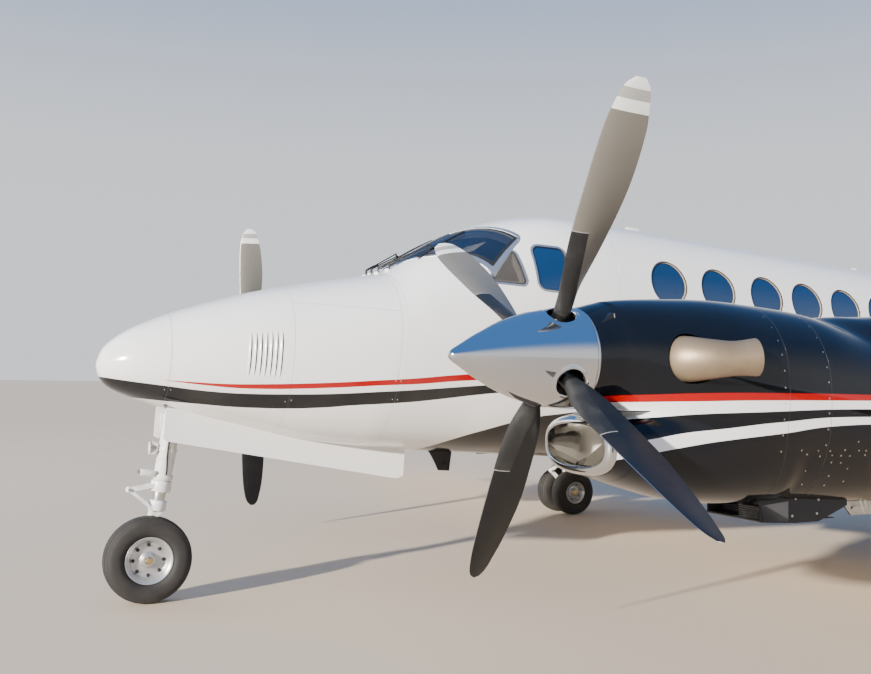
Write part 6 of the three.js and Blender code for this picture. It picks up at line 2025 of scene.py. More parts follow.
@dataclass
class Propeller:
    """Spinner, hub and four feathered blades of one side."""

    palette: Palette
    side: Side
    hole: float = 68.0
    boot_end: float = 640.0
    half_columns: int = 20
    boot_columns: int = 7
    left_turn: float = 30.4
    right_turn: float = -7.0
    root_end: float = 240.0
    root_run: float = 200.0
    back_pinch: float = 0.75
    nose_fullness: float = 0.55
    camber: float = 0.28

    # Radius, chord, thickness, pitch from the disc in degrees, how far the chord's middle lies back
    BLADE = (
        (95, 82, 82, 118, 0),
        (238, 80, 80, 118, 0),
        (300, 112, 72, 116, 2),
        (400, 158, 50, 108, 2),
        (600, 198, 33, 95, 8),
        (860, 220, 24, 86, 18),
        (1120, 198, 16, 78, 13),
        (1230, 158, 12, 76, 8),
        (1300, 112, 8, 75, 8),
        (1335, 44, 4, 75, 10),
    )
    MARKS = (248.0, 640.0, 644.0, 1188.0, 1240.0, 1287.0)
    SPINNER = ((521, 0), (519.5, 8), (514, 17), (504, 26), (489, 36), (470, 47), (445, 62), (418, 78.5),
               (385, 98), (350, 116), (300, 142.5), (250, 165.5), (190, 188.5), (120, 209), (50, 224),
               (-20, 233.5), (-70, 238.5), (-122, 242.5))

    def build(self) -> None:
        """Makes the propeller of this side."""
        angle = math.radians(self.left_turn if self.side is Side.LEFT else self.right_turn)
        centre = Matrix.Translation((0, self.side.value * ENGINE_Y, THRUST_Z))
        matrix = LEVEL @ (centre @ Matrix.Rotation(-angle, 4, "X"))
        body = f"propeller_{self.side.word}"
        p = self.palette
        blades = joined([self._blade().turned(90 * k, "X") for k in range(4)] + [self._hub()])
        finish_piece(f"blades_{self.side.word}", blades.placed(matrix),
                     [p.blade_face, p.blade_back, p.blade_tip, p.blade_grey, p.rubber, p.shank, p.edge],
                     Fitting(body=body, slot="blade", replaces=(body,)), crease=50)
        shell, skin = self._shell()
        finish_piece(f"spinner_shell_{self.side.word}", shell.placed(matrix), [p.chrome, p.rubber],
                     Fitting(body=body, slot="chrome", replaces=(f"spinner_{self.side.word}",)),
                     [skin.placed(matrix)])

    def _blade(self) -> Shape:
        """One blade standing up, leading edge forward, its faces painted by column and radius."""
        knots = np.array(self.BLADE, float)
        radii = np.unique(np.concatenate([np.linspace(95, 300, 10), np.linspace(300, 1225, 38), self.MARKS,
                                          np.linspace(1225, 1320, 12), [1326, 1331, 1334, 1335]]))
        rows = [[r, *(self._at(knots, r, c) for c in range(1, 5))] for r in radii]
        rings = []
        for radius, chord, thickness, pitch, back in rows:
            turns = self._turns(radius)
            share = min(max((radius - self.root_end) / self.root_run, 0.0), 1.0)
            squash = 1 + self.back_pinch * share
            u = 0.5 * np.cos(turns)
            v = 0.5 * np.sign(np.sin(turns)) * np.abs(np.sin(turns)) ** squash
            v = v * (1 + share * self.nose_fullness * np.cos(turns)) + 0.0
            camber = share * self.camber * (0.25 - u**2)
            along_chord, across = u * chord - back, (v + camber) * thickness
            beta = math.radians(pitch)
            x = along_chord * math.sin(beta) + across * math.cos(beta)
            y = -along_chord * math.cos(beta) + across * math.sin(beta)
            rings.append(np.column_stack([x, y, np.full(len(turns), radius)]))
        shape = loft(np.array(rings))
        count = 2 * self.half_columns
        for number, face in enumerate(shape.faces[:-2]):
            ring, column = divmod(number, count)
            band = int(np.searchsorted(self.MARKS, (radii[ring] + radii[ring + 1]) / 2))
            shape.paint[number] = self._blade_paint(shape, face, band, min(column, count - 1 - column))
        shape.paint[-1] = TIP
        return shape

    def _turns(self, radius: float) -> Array:
        """Column angles round a section: even steps to the boot's edge, then even steps to the back."""
        boot = math.radians(float(np.interp(radius, (240, 300, 400, self.boot_end), (128, 112, 90, 72))))
        half = np.concatenate([[0.0], np.linspace(math.radians(14), boot, self.boot_columns),
                               np.linspace(boot, math.pi, self.half_columns - self.boot_columns + 1)[1:]])
        return np.concatenate([half, 2 * math.pi - half[1:-1][::-1]])

    def _at(self, knots: Array, radius: float, column: int) -> float:
        """Smooth value of a blade column at a radius."""
        return columns_at([(row[0], row[column]) for row in knots], radius)[0]

    def _blade_paint(self, shape: Shape, face: tuple[int, ...], band: int, column: int) -> int:
        """Material number of a face: shank, boot, boot edge, leading edge, back or the front's bands."""
        if band == 0:
            return SHANK
        if band <= 2 and column <= self.boot_columns:
            return BOOT if band == 1 else GREY
        if column == 0:
            return EDGE
        corners = shape.points[list(face[:3])]
        if np.cross(corners[1] - corners[0], corners[2] - corners[0])[1] < 0:
            return BACK
        return (SHANK, FACE, FACE, FACE, TIP, GREY, TIP)[band]

    def _hub(self) -> Shape:
        """Hub with its back plate."""
        profile = [(130, 0), (130, 56), (126, 60), (92, 110), (86, 114), (-68, 114), (-80, 72), (-92, 70),
                   (-92, 230.5), (-94, 232), (-106, 233.4), (-108, 231.5), (-108, 0)]
        return turned(profile, 64).painted(BACK)

    def _shell(self) -> tuple[Shape, Shape]:
        """Polished shell with its four blade openings and their raised edges."""
        skin = turned([*self.SPINNER, (-122, 0)], 128)
        space = turned([(373, 0), (373, 92), (108, 202.5), (-32, 227), (-127, 236.5), (-127, 0)], 96)
        hole = rod((0, 0, 100), (0, 0, 400), self.hole, sides=64, round_by=0.1)
        shell = carved(skin, [space, *(hole.turned(90 * k, "X") for k in range(4))])
        lips = [self._hole_lip().turned(90 * k, "X") for k in range(4)]
        return joined([shell, *lips]), skin

    def _hole_lip(self) -> Shape:
        """Raised edge round one blade opening, lying on the shell."""
        turns = np.linspace(0, 2 * math.pi, 72, endpoint=False)
        rings = []
        for a in turns:
            cut = []
            for out, lift in ((0.2, -5), (0.2, 3.5), (2.5, 6.8), (6.5, 7.6), (12.0, 5.4), (18.0, 2.2),
                              (24.0, 0.3), (26.0, -1.5)):
                x, y = (self.hole + out) * math.cos(a), (self.hole + out) * math.sin(a)
                radius = self._skin_radius(x)
                z = math.sqrt(max(radius**2 - y**2, 0)) + lift
                cut.append((x, y, z))
            rings.append(cut)
        return loft(np.array(rings), wrap=True)

    def _skin_radius(self, x: float) -> float:
        """Radius of the shell at a distance ahead of the disc."""
        xs = [p[0] for p in self.SPINNER][::-1]
        return float(np.interp(x, xs, [p[1] for p in self.SPINNER][::-1]))


# Landing gear


RAKE = math.radians(8.5)
NOSE_WHEEL_X, NOSE_WHEEL_RADIUS = 1353.0, 279.0
MAIN_WHEEL_X, MAIN_WHEEL_RADIUS, MAIN_SPACING = -3627.0, 241.5, 290.0


def up_leg(distance: float, y: float = 0, ahead: float = 0) -> tuple[float, float, float]:
    """Place on the raked nose leg: distance up from the axle, across, and ahead of its middle line."""
    return (NOSE_WHEEL_X - distance * math.sin(RAKE) + ahead * math.cos(RAKE), y,
            NOSE_WHEEL_RADIUS + distance * math.cos(RAKE) + ahead * math.sin(RAKE))


@dataclass(frozen=True)
class Wheel:
    """Tyre and holed hub about X, laid along Y when it is placed."""

    radius: float
    width: float
    rim: float
    bore: float
    grooves: tuple[float, ...]
    holes: int = 8
    sides: int = 112
    pierced: bool = True
    bolt_circle: float = 0.63
    bolt_radius: float = 8.5
    tread_power: float = 3.2
    wall_power: float = 2.6
    groove_half: float = 4.0
    groove_depth: float = 6.5

    def _carcass(self, y: float) -> float:
        """Radius of the tread side at a distance from the wheel's middle."""
        middle, rise, half = self._section()
        return middle + rise * (1 - min(abs(y) / half, 1.0) ** self.tread_power) ** (1 / self.tread_power)

    def _section(self) -> tuple[float, float, float]:
        """Middle radius, half height and half width of the tyre's section."""
        middle = (self.rim + self.radius) / 2
        return middle, (self.radius - self.rim) / 2, self.width / 2

    def tyre(self) -> Shape:
        """Grooved tyre with rounded shoulders."""
        middle, rise, half = self._section()
        edge = half * 0.8
        tread = [-edge, edge]
        for groove in self.grooves:
            tread += [groove + out * self.groove_half for out in (-1, -0.65, 0, 0.65, 1)]
        profile = []
        for y in sorted(set(tread) | set(np.linspace(-edge, edge, 15).tolist())):
            near = min(abs(y - g) for g in self.grooves)
            if self.groove_half + 0.01 < near < self.groove_half + 1:
                continue
            profile.append((y, self._carcass(y) - (self.groove_depth if near < 3 else 0)))
        start = math.asin(0.8 ** (3.2 / 2.2))
        power = 2 / self.wall_power
        for t in np.linspace(start, math.pi - 0.42, 13)[1:]:
            y = half * abs(math.sin(t)) ** power
            z = middle + rise * math.copysign(abs(math.cos(t)) ** power, math.cos(t))
            profile.append((y, z))
        right = [p for p in profile if p[0] > edge + 0.01 or p[1] < middle]
        body = [p for p in profile if p not in right]
        bead = [(half * 0.6, self.rim - 2), (-half * 0.6, self.rim - 2)]
        return turned(body + right + bead + [(-y, z) for y, z in reversed(right)], self.sides, wrap=True)

    def hub(self) -> Shape:
        """Dished hub with rolled rims, and oval holes where it is pierced."""
        half, rim, bore = self.width / 2, self.rim, self.bore
        face = [(0.62 * half, bore), (0.62 * half, bore + 13), (0.56 * half, bore + 18),
                (0.4 * half, bore + 21), (0.33 * half, bore + 28), (0.3 * half, 0.66 * rim),
                (0.34 * half, 0.78 * rim), (0.48 * half, 0.86 * rim), (0.6 * half, 0.91 * rim),
                (0.7 * half, 0.97 * rim), (0.78 * half, 1.03 * rim), (0.8 * half, 1.07 * rim),
                (0.77 * half, 1.09 * rim), (0.72 * half, 1.07 * rim), (0.66 * half, 1.01 * rim),
                (0.5 * half, 0.97 * rim)]
        shape = turned(face + [(-y, z) for y, z in reversed(face)], 96, wrap=True)
        if not self.pierced:
            return shape
        radius = 0.7 * rim
        cuts = []
        for k in range(self.holes):
            turn = 2 * math.pi * (k + 0.5) / self.holes
            oval_hole = [(0.155 * rim * math.cos(a), radius + 0.1 * rim * math.sin(a))
                         for a in np.linspace(0, 2 * math.pi, 24, False)]
            spun = [(y * math.cos(turn) - z * math.sin(turn), y * math.sin(turn) + z * math.cos(turn))
                    for y, z in oval_hole]
            cuts.append(prism(spun, -half, half, "X"))
        return carved(shape, cuts)

    def bolts(self) -> list[Shape]:
        """Bolt heads between the holes on both faces."""
        heads = []
        for k in range(self.holes):
            turn = 2 * math.pi * k / self.holes
            y, z = self.bolt_circle * self.rim * math.cos(turn), self.bolt_circle * self.rim * math.sin(turn)
            for way in (-1, 1):
                face = way * 0.29 * self.width / 2
                heads.append(rod((face, y, z), (face + way * 9, y, z), self.bolt_radius, sides=6,
                                 round_by=1))
                heads.append(rod((face + way * 8, y, z), (face + way * 15, y, z), 4.5, sides=12))
        return heads

    def parts(self, x: float, y: float) -> list[Shape]:
        """Tyre, hub and bolts laid at a place, the tyre on the ground."""
        shapes = (self.tyre(), self.hub().painted(1), joined(self.bolts()).painted(2))
        return [along_y(shape, x, y, self.radius) for shape in shapes]


def axle(line: tuple[float, float], start: float, end: float, radius: float, **options: float) -> Shape:
    """Bar along Y on a line given by its x and height."""
    return rod((line[0], start, line[1]), (line[0], end, line[1]), radius, **options)


def link(start: Sequence[float], end: Sequence[float], wide: float, narrow: float, thick: float) -> Shape:
    """Tapered arm with rounded ends and a lightening hole, as on a torque link."""
    length = (Vector(end) - Vector(start)).length
    outline = []
    for centre, half, first in ((0.0, wide / 2, math.pi / 2), (length, narrow / 2, -math.pi / 2)):
        for a in np.linspace(first, first + math.pi, 13):
            outline.append((centre + half * math.cos(a) * 0.8, half * math.sin(a)))
    plate = prism(outline, -thick / 2, thick / 2, "Z")
    window = rounded([(length * 0.24, -wide * 0.24), (length * 0.24, wide * 0.24),
                      (length * 0.68, narrow * 0.22), (length * 0.68, -narrow * 0.22)],
                     min(wide, narrow) * 0.1)
    plate = carved(plate, [prism(window, -thick, thick, "Z")])
    ahead = (Vector(end) - Vector(start)).normalized()
    across = Vector((0, 1, 0))
    turn = Matrix((ahead, across, ahead.cross(across))).transposed().to_4x4()
    return plate.placed(Matrix.Translation(start) @ turn)


@dataclass
class NoseGear:
    """Raked leg, steered fork, wheel and the two doors."""

    palette: Palette
    wheel: Wheel = Wheel(NOSE_WHEEL_RADIUS, 165, 140, 26.5, (-52, -20, 20, 52), pierced=False,
                         bolt_circle=0.69, bolt_radius=12.5)

    def build(self) -> None:
        """Makes the nose gear."""
        p = self.palette
        finish_piece("nose_leg_assembly", self._leg().placed(LEVEL),
                     [p.gear, p.alloy, p.lamp, p.rubber, p.bracket], Fitting(replaces=("nose_leg",)),
                     crease=40)
        finish_piece("nose_fork_assembly", self._fork().placed(LEVEL), [p.gear, p.alloy, p.rubber, p.brass],
                     Fitting(body="nose_fork", replaces=("nose_fork",)), crease=40)
        wheel = joined(self.wheel.parts(NOSE_WHEEL_X, 0))
        finish_piece("nose_tyre", wheel.placed(LEVEL), [p.tyre, p.hub, p.dark],
                     Fitting(body="nose_wheel", slot="tyre", replaces=("nose_wheel",)), crease=28)
        for side in Side:
            finish_piece(f"nose_door_panel_{side.word}", self._door().placed(side.matrix(AIRFRAME)),
                         [p.white, p.tan, p.alloy], Fitting(replaces=(f"nose_door_{side.word}",)))

    def _leg(self) -> Shape:
        """Barrel, trunnion, brace, taxi light and hoses."""
        parts = [rod(up_leg(1040, -159), up_leg(1040, 159), 34),
                 rod(up_leg(513), up_leg(1060), 58, sides=40, round_by=5),
                 rod(up_leg(520), up_leg(552), 67, sides=40, round_by=5),
                 rod(up_leg(905), up_leg(940), 64, sides=40), rod(up_leg(700), up_leg(726), 64, sides=40),
                 rod(up_leg(760), (700, 0, 1395), 24)]
        parts += [rod(up_leg(790, y), up_leg(1045, y * 2.4), 17) for y in (-52, 52)]
        arm = rod(up_leg(715, 0, 30), up_leg(715, 0, 92), 20)
        shell = turned([(0, 0), (0, 34), (8, 40), (40, 51), (50, 52), (50, 47), (38, 46), (8, 22), (6, 0)],
                       40)
        lens = turned([(46, 0), (46, 46.8), (49, 46.8), (53, 32), (55, 0)], 40)
        aim = Matrix.Translation(up_leg(715, 0, 68)) @ Matrix.Rotation(-0.03, 4, "Y")
        parts += [arm, shell.placed(aim).painted(1), lens.placed(aim).painted(2)]
        for y in (38, -38):
            hose = smooth_rows([up_leg(990, y * 1.6, -20), up_leg(850, y * 1.7, 10),
                                up_leg(700, y * 1.75, 8), up_leg(590, y * 1.7, -6),
                                up_leg(535, y * 1.35, -10)], 24)
            parts.append(along(hose, [(5.5, 5.5)] * 24, 10, (0, 1, 0)).painted(3))
        parts += [rod(up_leg(552, 40, 60), up_leg(552, 46, 150), 21),
                  rod(up_leg(552, 46, 148), up_leg(552, 48, 176), 11).painted(1)]
        plate = slab((-55, -4, -60), (55, 4, 60), 3)
        parts += [plate.moved(*up_leg(1010, 118, -10)).painted(4),
                  plate.moved(*up_leg(1010, -118, -10)).painted(4)]
        bulb = turned([(0, 0), (0, 14), (14, 14), (22, 11), (27, 0)], 24)
        bulb = bulb.placed(Matrix.Translation(up_leg(1008, 92, 44)))
        return joined([*parts, bulb.painted(2)])

    def _fork(self) -> Shape:
        """Piston, collar, links, single arm and axle."""
        parts = [rod(up_leg(345), up_leg(512), 40, sides=40).painted(1),
                 rod(up_leg(440), up_leg(511.5), 66, sides=40, round_by=4),
                 rod(up_leg(316), up_leg(385), 56, sides=40, round_by=8)]
        knee, knee_left, knee_right = (up_leg(430, y, 195) for y in (0, 40, -40))
        parts += [link(up_leg(478, 0, 40), knee, 92, 52, 24), link(up_leg(330, 0, 40), knee, 92, 52, 20)]
        parts.append(rod(knee_right, knee_left, 11).painted(1))
        yoke_path = [up_leg(325, 30), up_leg(330, -10), up_leg(326, -60), up_leg(300, -104),
                     up_leg(240, -124), up_leg(120, -127), up_leg(20, -128), up_leg(-22, -128)]
        yoke = smooth_rows(yoke_path, 40)
        size = smooth_rows([(34, 46), (34, 48), (32, 48), (30, 44), (27, 40), (24, 36), (27, 36), (26, 33)],
                           40)
        parts.append(along(yoke, size[:, ::-1], 28, (1, 0, 0)))
        hub_line = (NOSE_WHEEL_X, NOSE_WHEEL_RADIUS)
        parts.append(axle(hub_line, -162, -90, 37, sides=32, round_by=4))
        parts += [axle(hub_line, -150, 60, 25, sides=32).painted(1),
                  axle(hub_line, 52, 60, 36, sides=32).painted(1)]
        parts.append(axle(hub_line, 59, 72, 23, sides=6).painted(3))
        hose = smooth_rows([up_leg(470, -58), up_leg(380, -92, -30), up_leg(240, -160, -34),
                            up_leg(90, -152, -30)], 20)
        parts.append(along(hose, [(4.5, 4.5)] * 20, 10, (0, 1, 0)).painted(2))
        return joined(parts)

    def _door(self) -> Shape:
        """Long hanging door with a raised inner frame and its three hinge blocks."""
        outline = [(1309, 1189), (-379, 985), (-379, 805), (-330, 785), (1290, 973), (1309, 985)]
        panel = prism(rounded(outline, 10), 171, 184, "Y")
        frame = prism(rounded([(1270, 1150), (-340, 958), (-340, 838), (-310, 826), (1250, 1008),
                               (1270, 1016)], 8), 166, 171.5, "Y")
        window = prism(rounded([(1235, 1120), (-305, 935), (-305, 862), (1235, 1042)], 8), 160, 170, "Y")
        parts = [panel, carved(frame, [window])]
        for x in (1180, 560, -240):
            z = 1189 - (1309 - x) * 0.121
            parts.append(slab((x - 30, 160, z - 40), (x + 30, 171, z + 10), 3).painted(2))
        return joined(parts)


@dataclass
class MainGear:
    """Leg between twin wheels, with its links, brace and doors, on both sides."""

    palette: Palette
    wheel: Wheel = Wheel(MAIN_WHEEL_RADIUS, 165, 110, 24, (-48, -17, 17, 48))

    def build(self) -> None:
        """Makes both main gears."""
        p = self.palette
        for side in Side:
            word, matrix = side.word, side.matrix(LEVEL)
            finish_piece(f"main_leg_assembly_{word}", self._leg().placed(matrix),
                         [p.gear, p.alloy, p.rubber], Fitting(replaces=(f"main_leg_{word}",)), crease=40)
            shapes = []
            for way in (-1, 1):
                shapes += self.wheel.parts(MAIN_WHEEL_X, ENGINE_Y + way * MAIN_SPACING / 2)
            reach = MAIN_SPACING / 2 + 58
            hub_line = (MAIN_WHEEL_X, MAIN_WHEEL_RADIUS)
            shapes.append(axle(hub_line, ENGINE_Y - reach, ENGINE_Y + reach, 25, sides=32).painted(2))
            shapes += [axle(hub_line, ENGINE_Y + way * (reach - 4), ENGINE_Y + way * (reach + 8), 36,
                            sides=6).painted(3)
                       for way in (-1, 1)]
            finish_piece(f"main_tyres_{word}", joined(shapes).placed(matrix),
                         [p.tyre, p.hub, p.steel, p.brass],
                         Fitting(body=f"main_wheels_{word}", slot="tyre",
                                 replaces=(f"main_wheels_{word}",)), crease=28)
            for place, way in (("outboard", 1), ("inboard", -1)):
                finish_piece(f"main_door_panel_{place}_{word}", self._door(way).placed(matrix),
                             [p.black, p.gear, p.alloy],
                             Fitting(slot="black", replaces=(f"main_door_{place}_{word}",)))

    def _leg(self) -> Shape:
        """Leg with collar, links, braces and hoses."""
        x, y, r = MAIN_WHEEL_X, ENGINE_Y, MAIN_WHEEL_RADIUS
        bearing = rod((x, y - 44, r), (x, y + 44, r), 58, sides=40, round_by=4)
        bearing = carved(bearing, [rod((x, y - 90, r), (x, y + 90, r), 28.6, sides=32)])
        parts = [rod((x, y - 261, 1090), (x, y + 261, 1090), 38),
                 rod((x, y, 560), (x, y, 1130), 58, sides=40, round_by=5),
                 rod((x, y, 556), (x, y, 592), 66, sides=40, round_by=5),
                 rod((x, y, 740), (x, y, 786), 66, sides=40),
                 rod((x, y, r + 52), (x, y, 560), 38, sides=40).painted(1), bearing,
                 rod((x, y, 760), (x + 720, y, 1208), 27), rod((x, y, 950), (x + 250, y, 1200), 18)]
        knee_x, knee_z = x + 190, 470
        knee = (knee_x, y, knee_z)
        parts += [link((x + 40, y, 600), knee, 96, 52, 24), link((x + 35, y, 330), knee, 96, 52, 22)]
        parts.append(rod((knee_x, y - 38, knee_z), (knee_x, y + 38, knee_z), 11).painted(1))
        for way in (-1, 1):
            hose = smooth_rows([(x - 30, y + way * 60, 1050), (x - 60, y + way * 66, 800),
                                (x - 66, y + way * 60, 560), (x - 76, y + way * 52, 420),
                                (x - 60, y + way * 48, 300)], 26)
            parts.append(along(hose, [(5, 5)] * 26, 10, (0, 1, 0)).painted(2))
        return joined(parts)

    def _door(self, way: int) -> Shape:
        """Hanging door with a pale lining and an inner frame, cut where the nacelle stands."""
        near = ENGINE_Y + way * 270
        low, high = sorted((near, near + way * 12))
        outline = rounded([(-3500, 1096), (-2282, 1096), (-2282, 760), (-2340, 700), (-3500, 700)], 14)
        panel = prism(outline, low, high, "Y")
        inner = sorted((near, near - way * 4))
        ribs = [slab((-3470, inner[0], 735), (-2330, inner[1], 755), 1.5).painted(1)]
        ribs += [slab((x, inner[0], 735), (x + 18, inner[1], 850), 1.5).painted(1)
                 for x in (-3470, -2900, -2350)]
        space = oval_loft(COWL, spaced(-2000, -3800, 120), 96, -1)
        lining = prism(outline, *sorted((near - way * 2, near - way * 0.1)), "Y")
        return joined([carved(panel, [space]), carved(lining, [space]).painted(1), *ribs])


# Small fittings


Spot = tuple[Vector, Vector]


class Heads:
    """Fastener heads set on many spots by one geometry node tree."""

    SEED = 7
    SIDES, TAPER, RISE = 10, 0.62, 0.42
    SCALES = (0.85, 1.1)

    def __init__(self) -> None:
        """Builds the tree."""
        tree = bpy.data.node_groups.new("fastener heads", "GeometryNodeTree")
        for label, kind in (("Geometry", "NodeSocketGeometry"), ("Head Radius", "NodeSocketFloat"),
                            ("Head Height", "NodeSocketFloat"), ("Seed", "NodeSocketInt"),
                            ("Material", "NodeSocketMaterial")):
            tree.interface.new_socket(name=label, in_out="INPUT", socket_type=kind)
        tree.interface.new_socket(name="Geometry", in_out="OUTPUT", socket_type="NodeSocketGeometry")
        new, join = tree.nodes.new, tree.links.new
        start, end = new("NodeGroupInput").outputs, new("NodeGroupOutput")
        head = new("GeometryNodeMeshCone")
        head.fill_type = "NGON"
        head.inputs["Vertices"].default_value = self.SIDES
        shrink = new("ShaderNodeMath")
        shrink.operation = "MULTIPLY"
        shrink.inputs[1].default_value = self.TAPER
        join(start["Head Radius"], shrink.inputs[0])
        join(shrink.outputs[0], head.inputs["Radius Top"])
        join(start["Head Radius"], head.inputs["Radius Bottom"])
        join(start["Head Height"], head.inputs["Depth"])
        facing = new("GeometryNodeInputNamedAttribute")
        facing.data_type = "FLOAT_VECTOR"
        facing.inputs["Name"].default_value = "facing"
        aim = new("FunctionNodeAlignRotationToVector")
        aim.axis = "Z"
        join(facing.outputs[0], aim.inputs["Vector"])
        size = new("FunctionNodeRandomValue")
        size.data_type = "FLOAT"
        low, high = [s for s in size.inputs if s.name in ("Min", "Max") and s.type == "VALUE"][:2]
        low.default_value, high.default_value = self.SCALES
        join(start["Seed"], next(s for s in size.inputs if s.name == "Seed"))
        copies = new("GeometryNodeInstanceOnPoints")
        join(start["Geometry"], copies.inputs["Points"])
        join(head.outputs["Mesh"], copies.inputs["Instance"])
        join(aim.outputs[0], copies.inputs["Rotation"])
        join(next(s for s in size.outputs if s.type == "VALUE"), copies.inputs["Scale"])
        real = new("GeometryNodeRealizeInstances")
        dress = new("GeometryNodeSetMaterial")
        join(copies.outputs[0], real.inputs[0])
        join(real.outputs[0], dress.inputs["Geometry"])
        join(start["Material"], dress.inputs["Material"])
        join(dress.outputs[0], end.inputs[0])
        self.tree = tree

    def place(self, name: str, spots: Sequence[Spot], radius: float, material: bpy.types.Material,
              fitting: Fitting) -> None:
        """One piece of heads at spots given in metres in the row's frame."""
        mesh = bpy.data.meshes.new(name)
        mesh.from_pydata([tuple(p) for p, _ in spots], [], [])
        facing = mesh.attributes.new("facing", "FLOAT_VECTOR", "POINT")
        facing.data.foreach_set("vector", [c for _, way in spots for c in way])
        piece = linked(name, mesh)
        modifier = piece.modifiers.new("heads", "NODES")
        modifier.node_group = self.tree
        values = {"Head Radius": radius, "Head Height": radius * self.RISE, "Seed": self.SEED,
                  "Material": material}
        for item in self.tree.interface.items_tree:
            if item.in_out == "INPUT" and item.name in values:
                modifier[item.identifier] = values[item.name]
        solid = evaluated(piece)
        solid.name = name
        if not solid.materials:
            solid.materials.append(material)
        solid.shade_smooth()
        solid.set_sharp_from_angle(angle=math.radians(50))
        tie(linked(name, solid), fitting)


def spread(points: Sequence[Spot], step: float) -> list[Spot]:
    """Spots at even steps along a dense run of them."""
    kept = [points[0]]
    travelled = 0.0
    for before, here in zip(points, points[1:]):
        travelled += (here[0] - before[0]).length
        if travelled >= step:
            kept.append(here)
            travelled = 0.0
    return kept


def to_row(spots: Iterable[Spot], matrix: Matrix) -> list[Spot]:
    """Spots carried into the row's frame."""
    turn = matrix.to_3x3()
    return [(matrix @ point, (turn @ way).normalized()) for point, way in spots]


# Screws along the lower cowl doors: x and height
COWL_SCREWS = (
    (-1231, 1155), (-1276, 1132), (-1343, 1153), (-1362, 1125), (-1421, 1152), (-1441, 1125), (-1500, 1124),
    (-1518, 1151), (-1558, 1123), (-1612, 1149), (-1598, 1195), (-1449, 1091), (-1512, 1088), (-1570, 1056),
    (-1469, 1023), (-1304, 1051), (-1330, 976), (-1480, 969), (-1588, 990), (-1660, 1149), (-1720, 1149),
    (-1790, 1149), (-1860, 1149), (-1660, 1123), (-1730, 1123), (-1800, 1123),
)


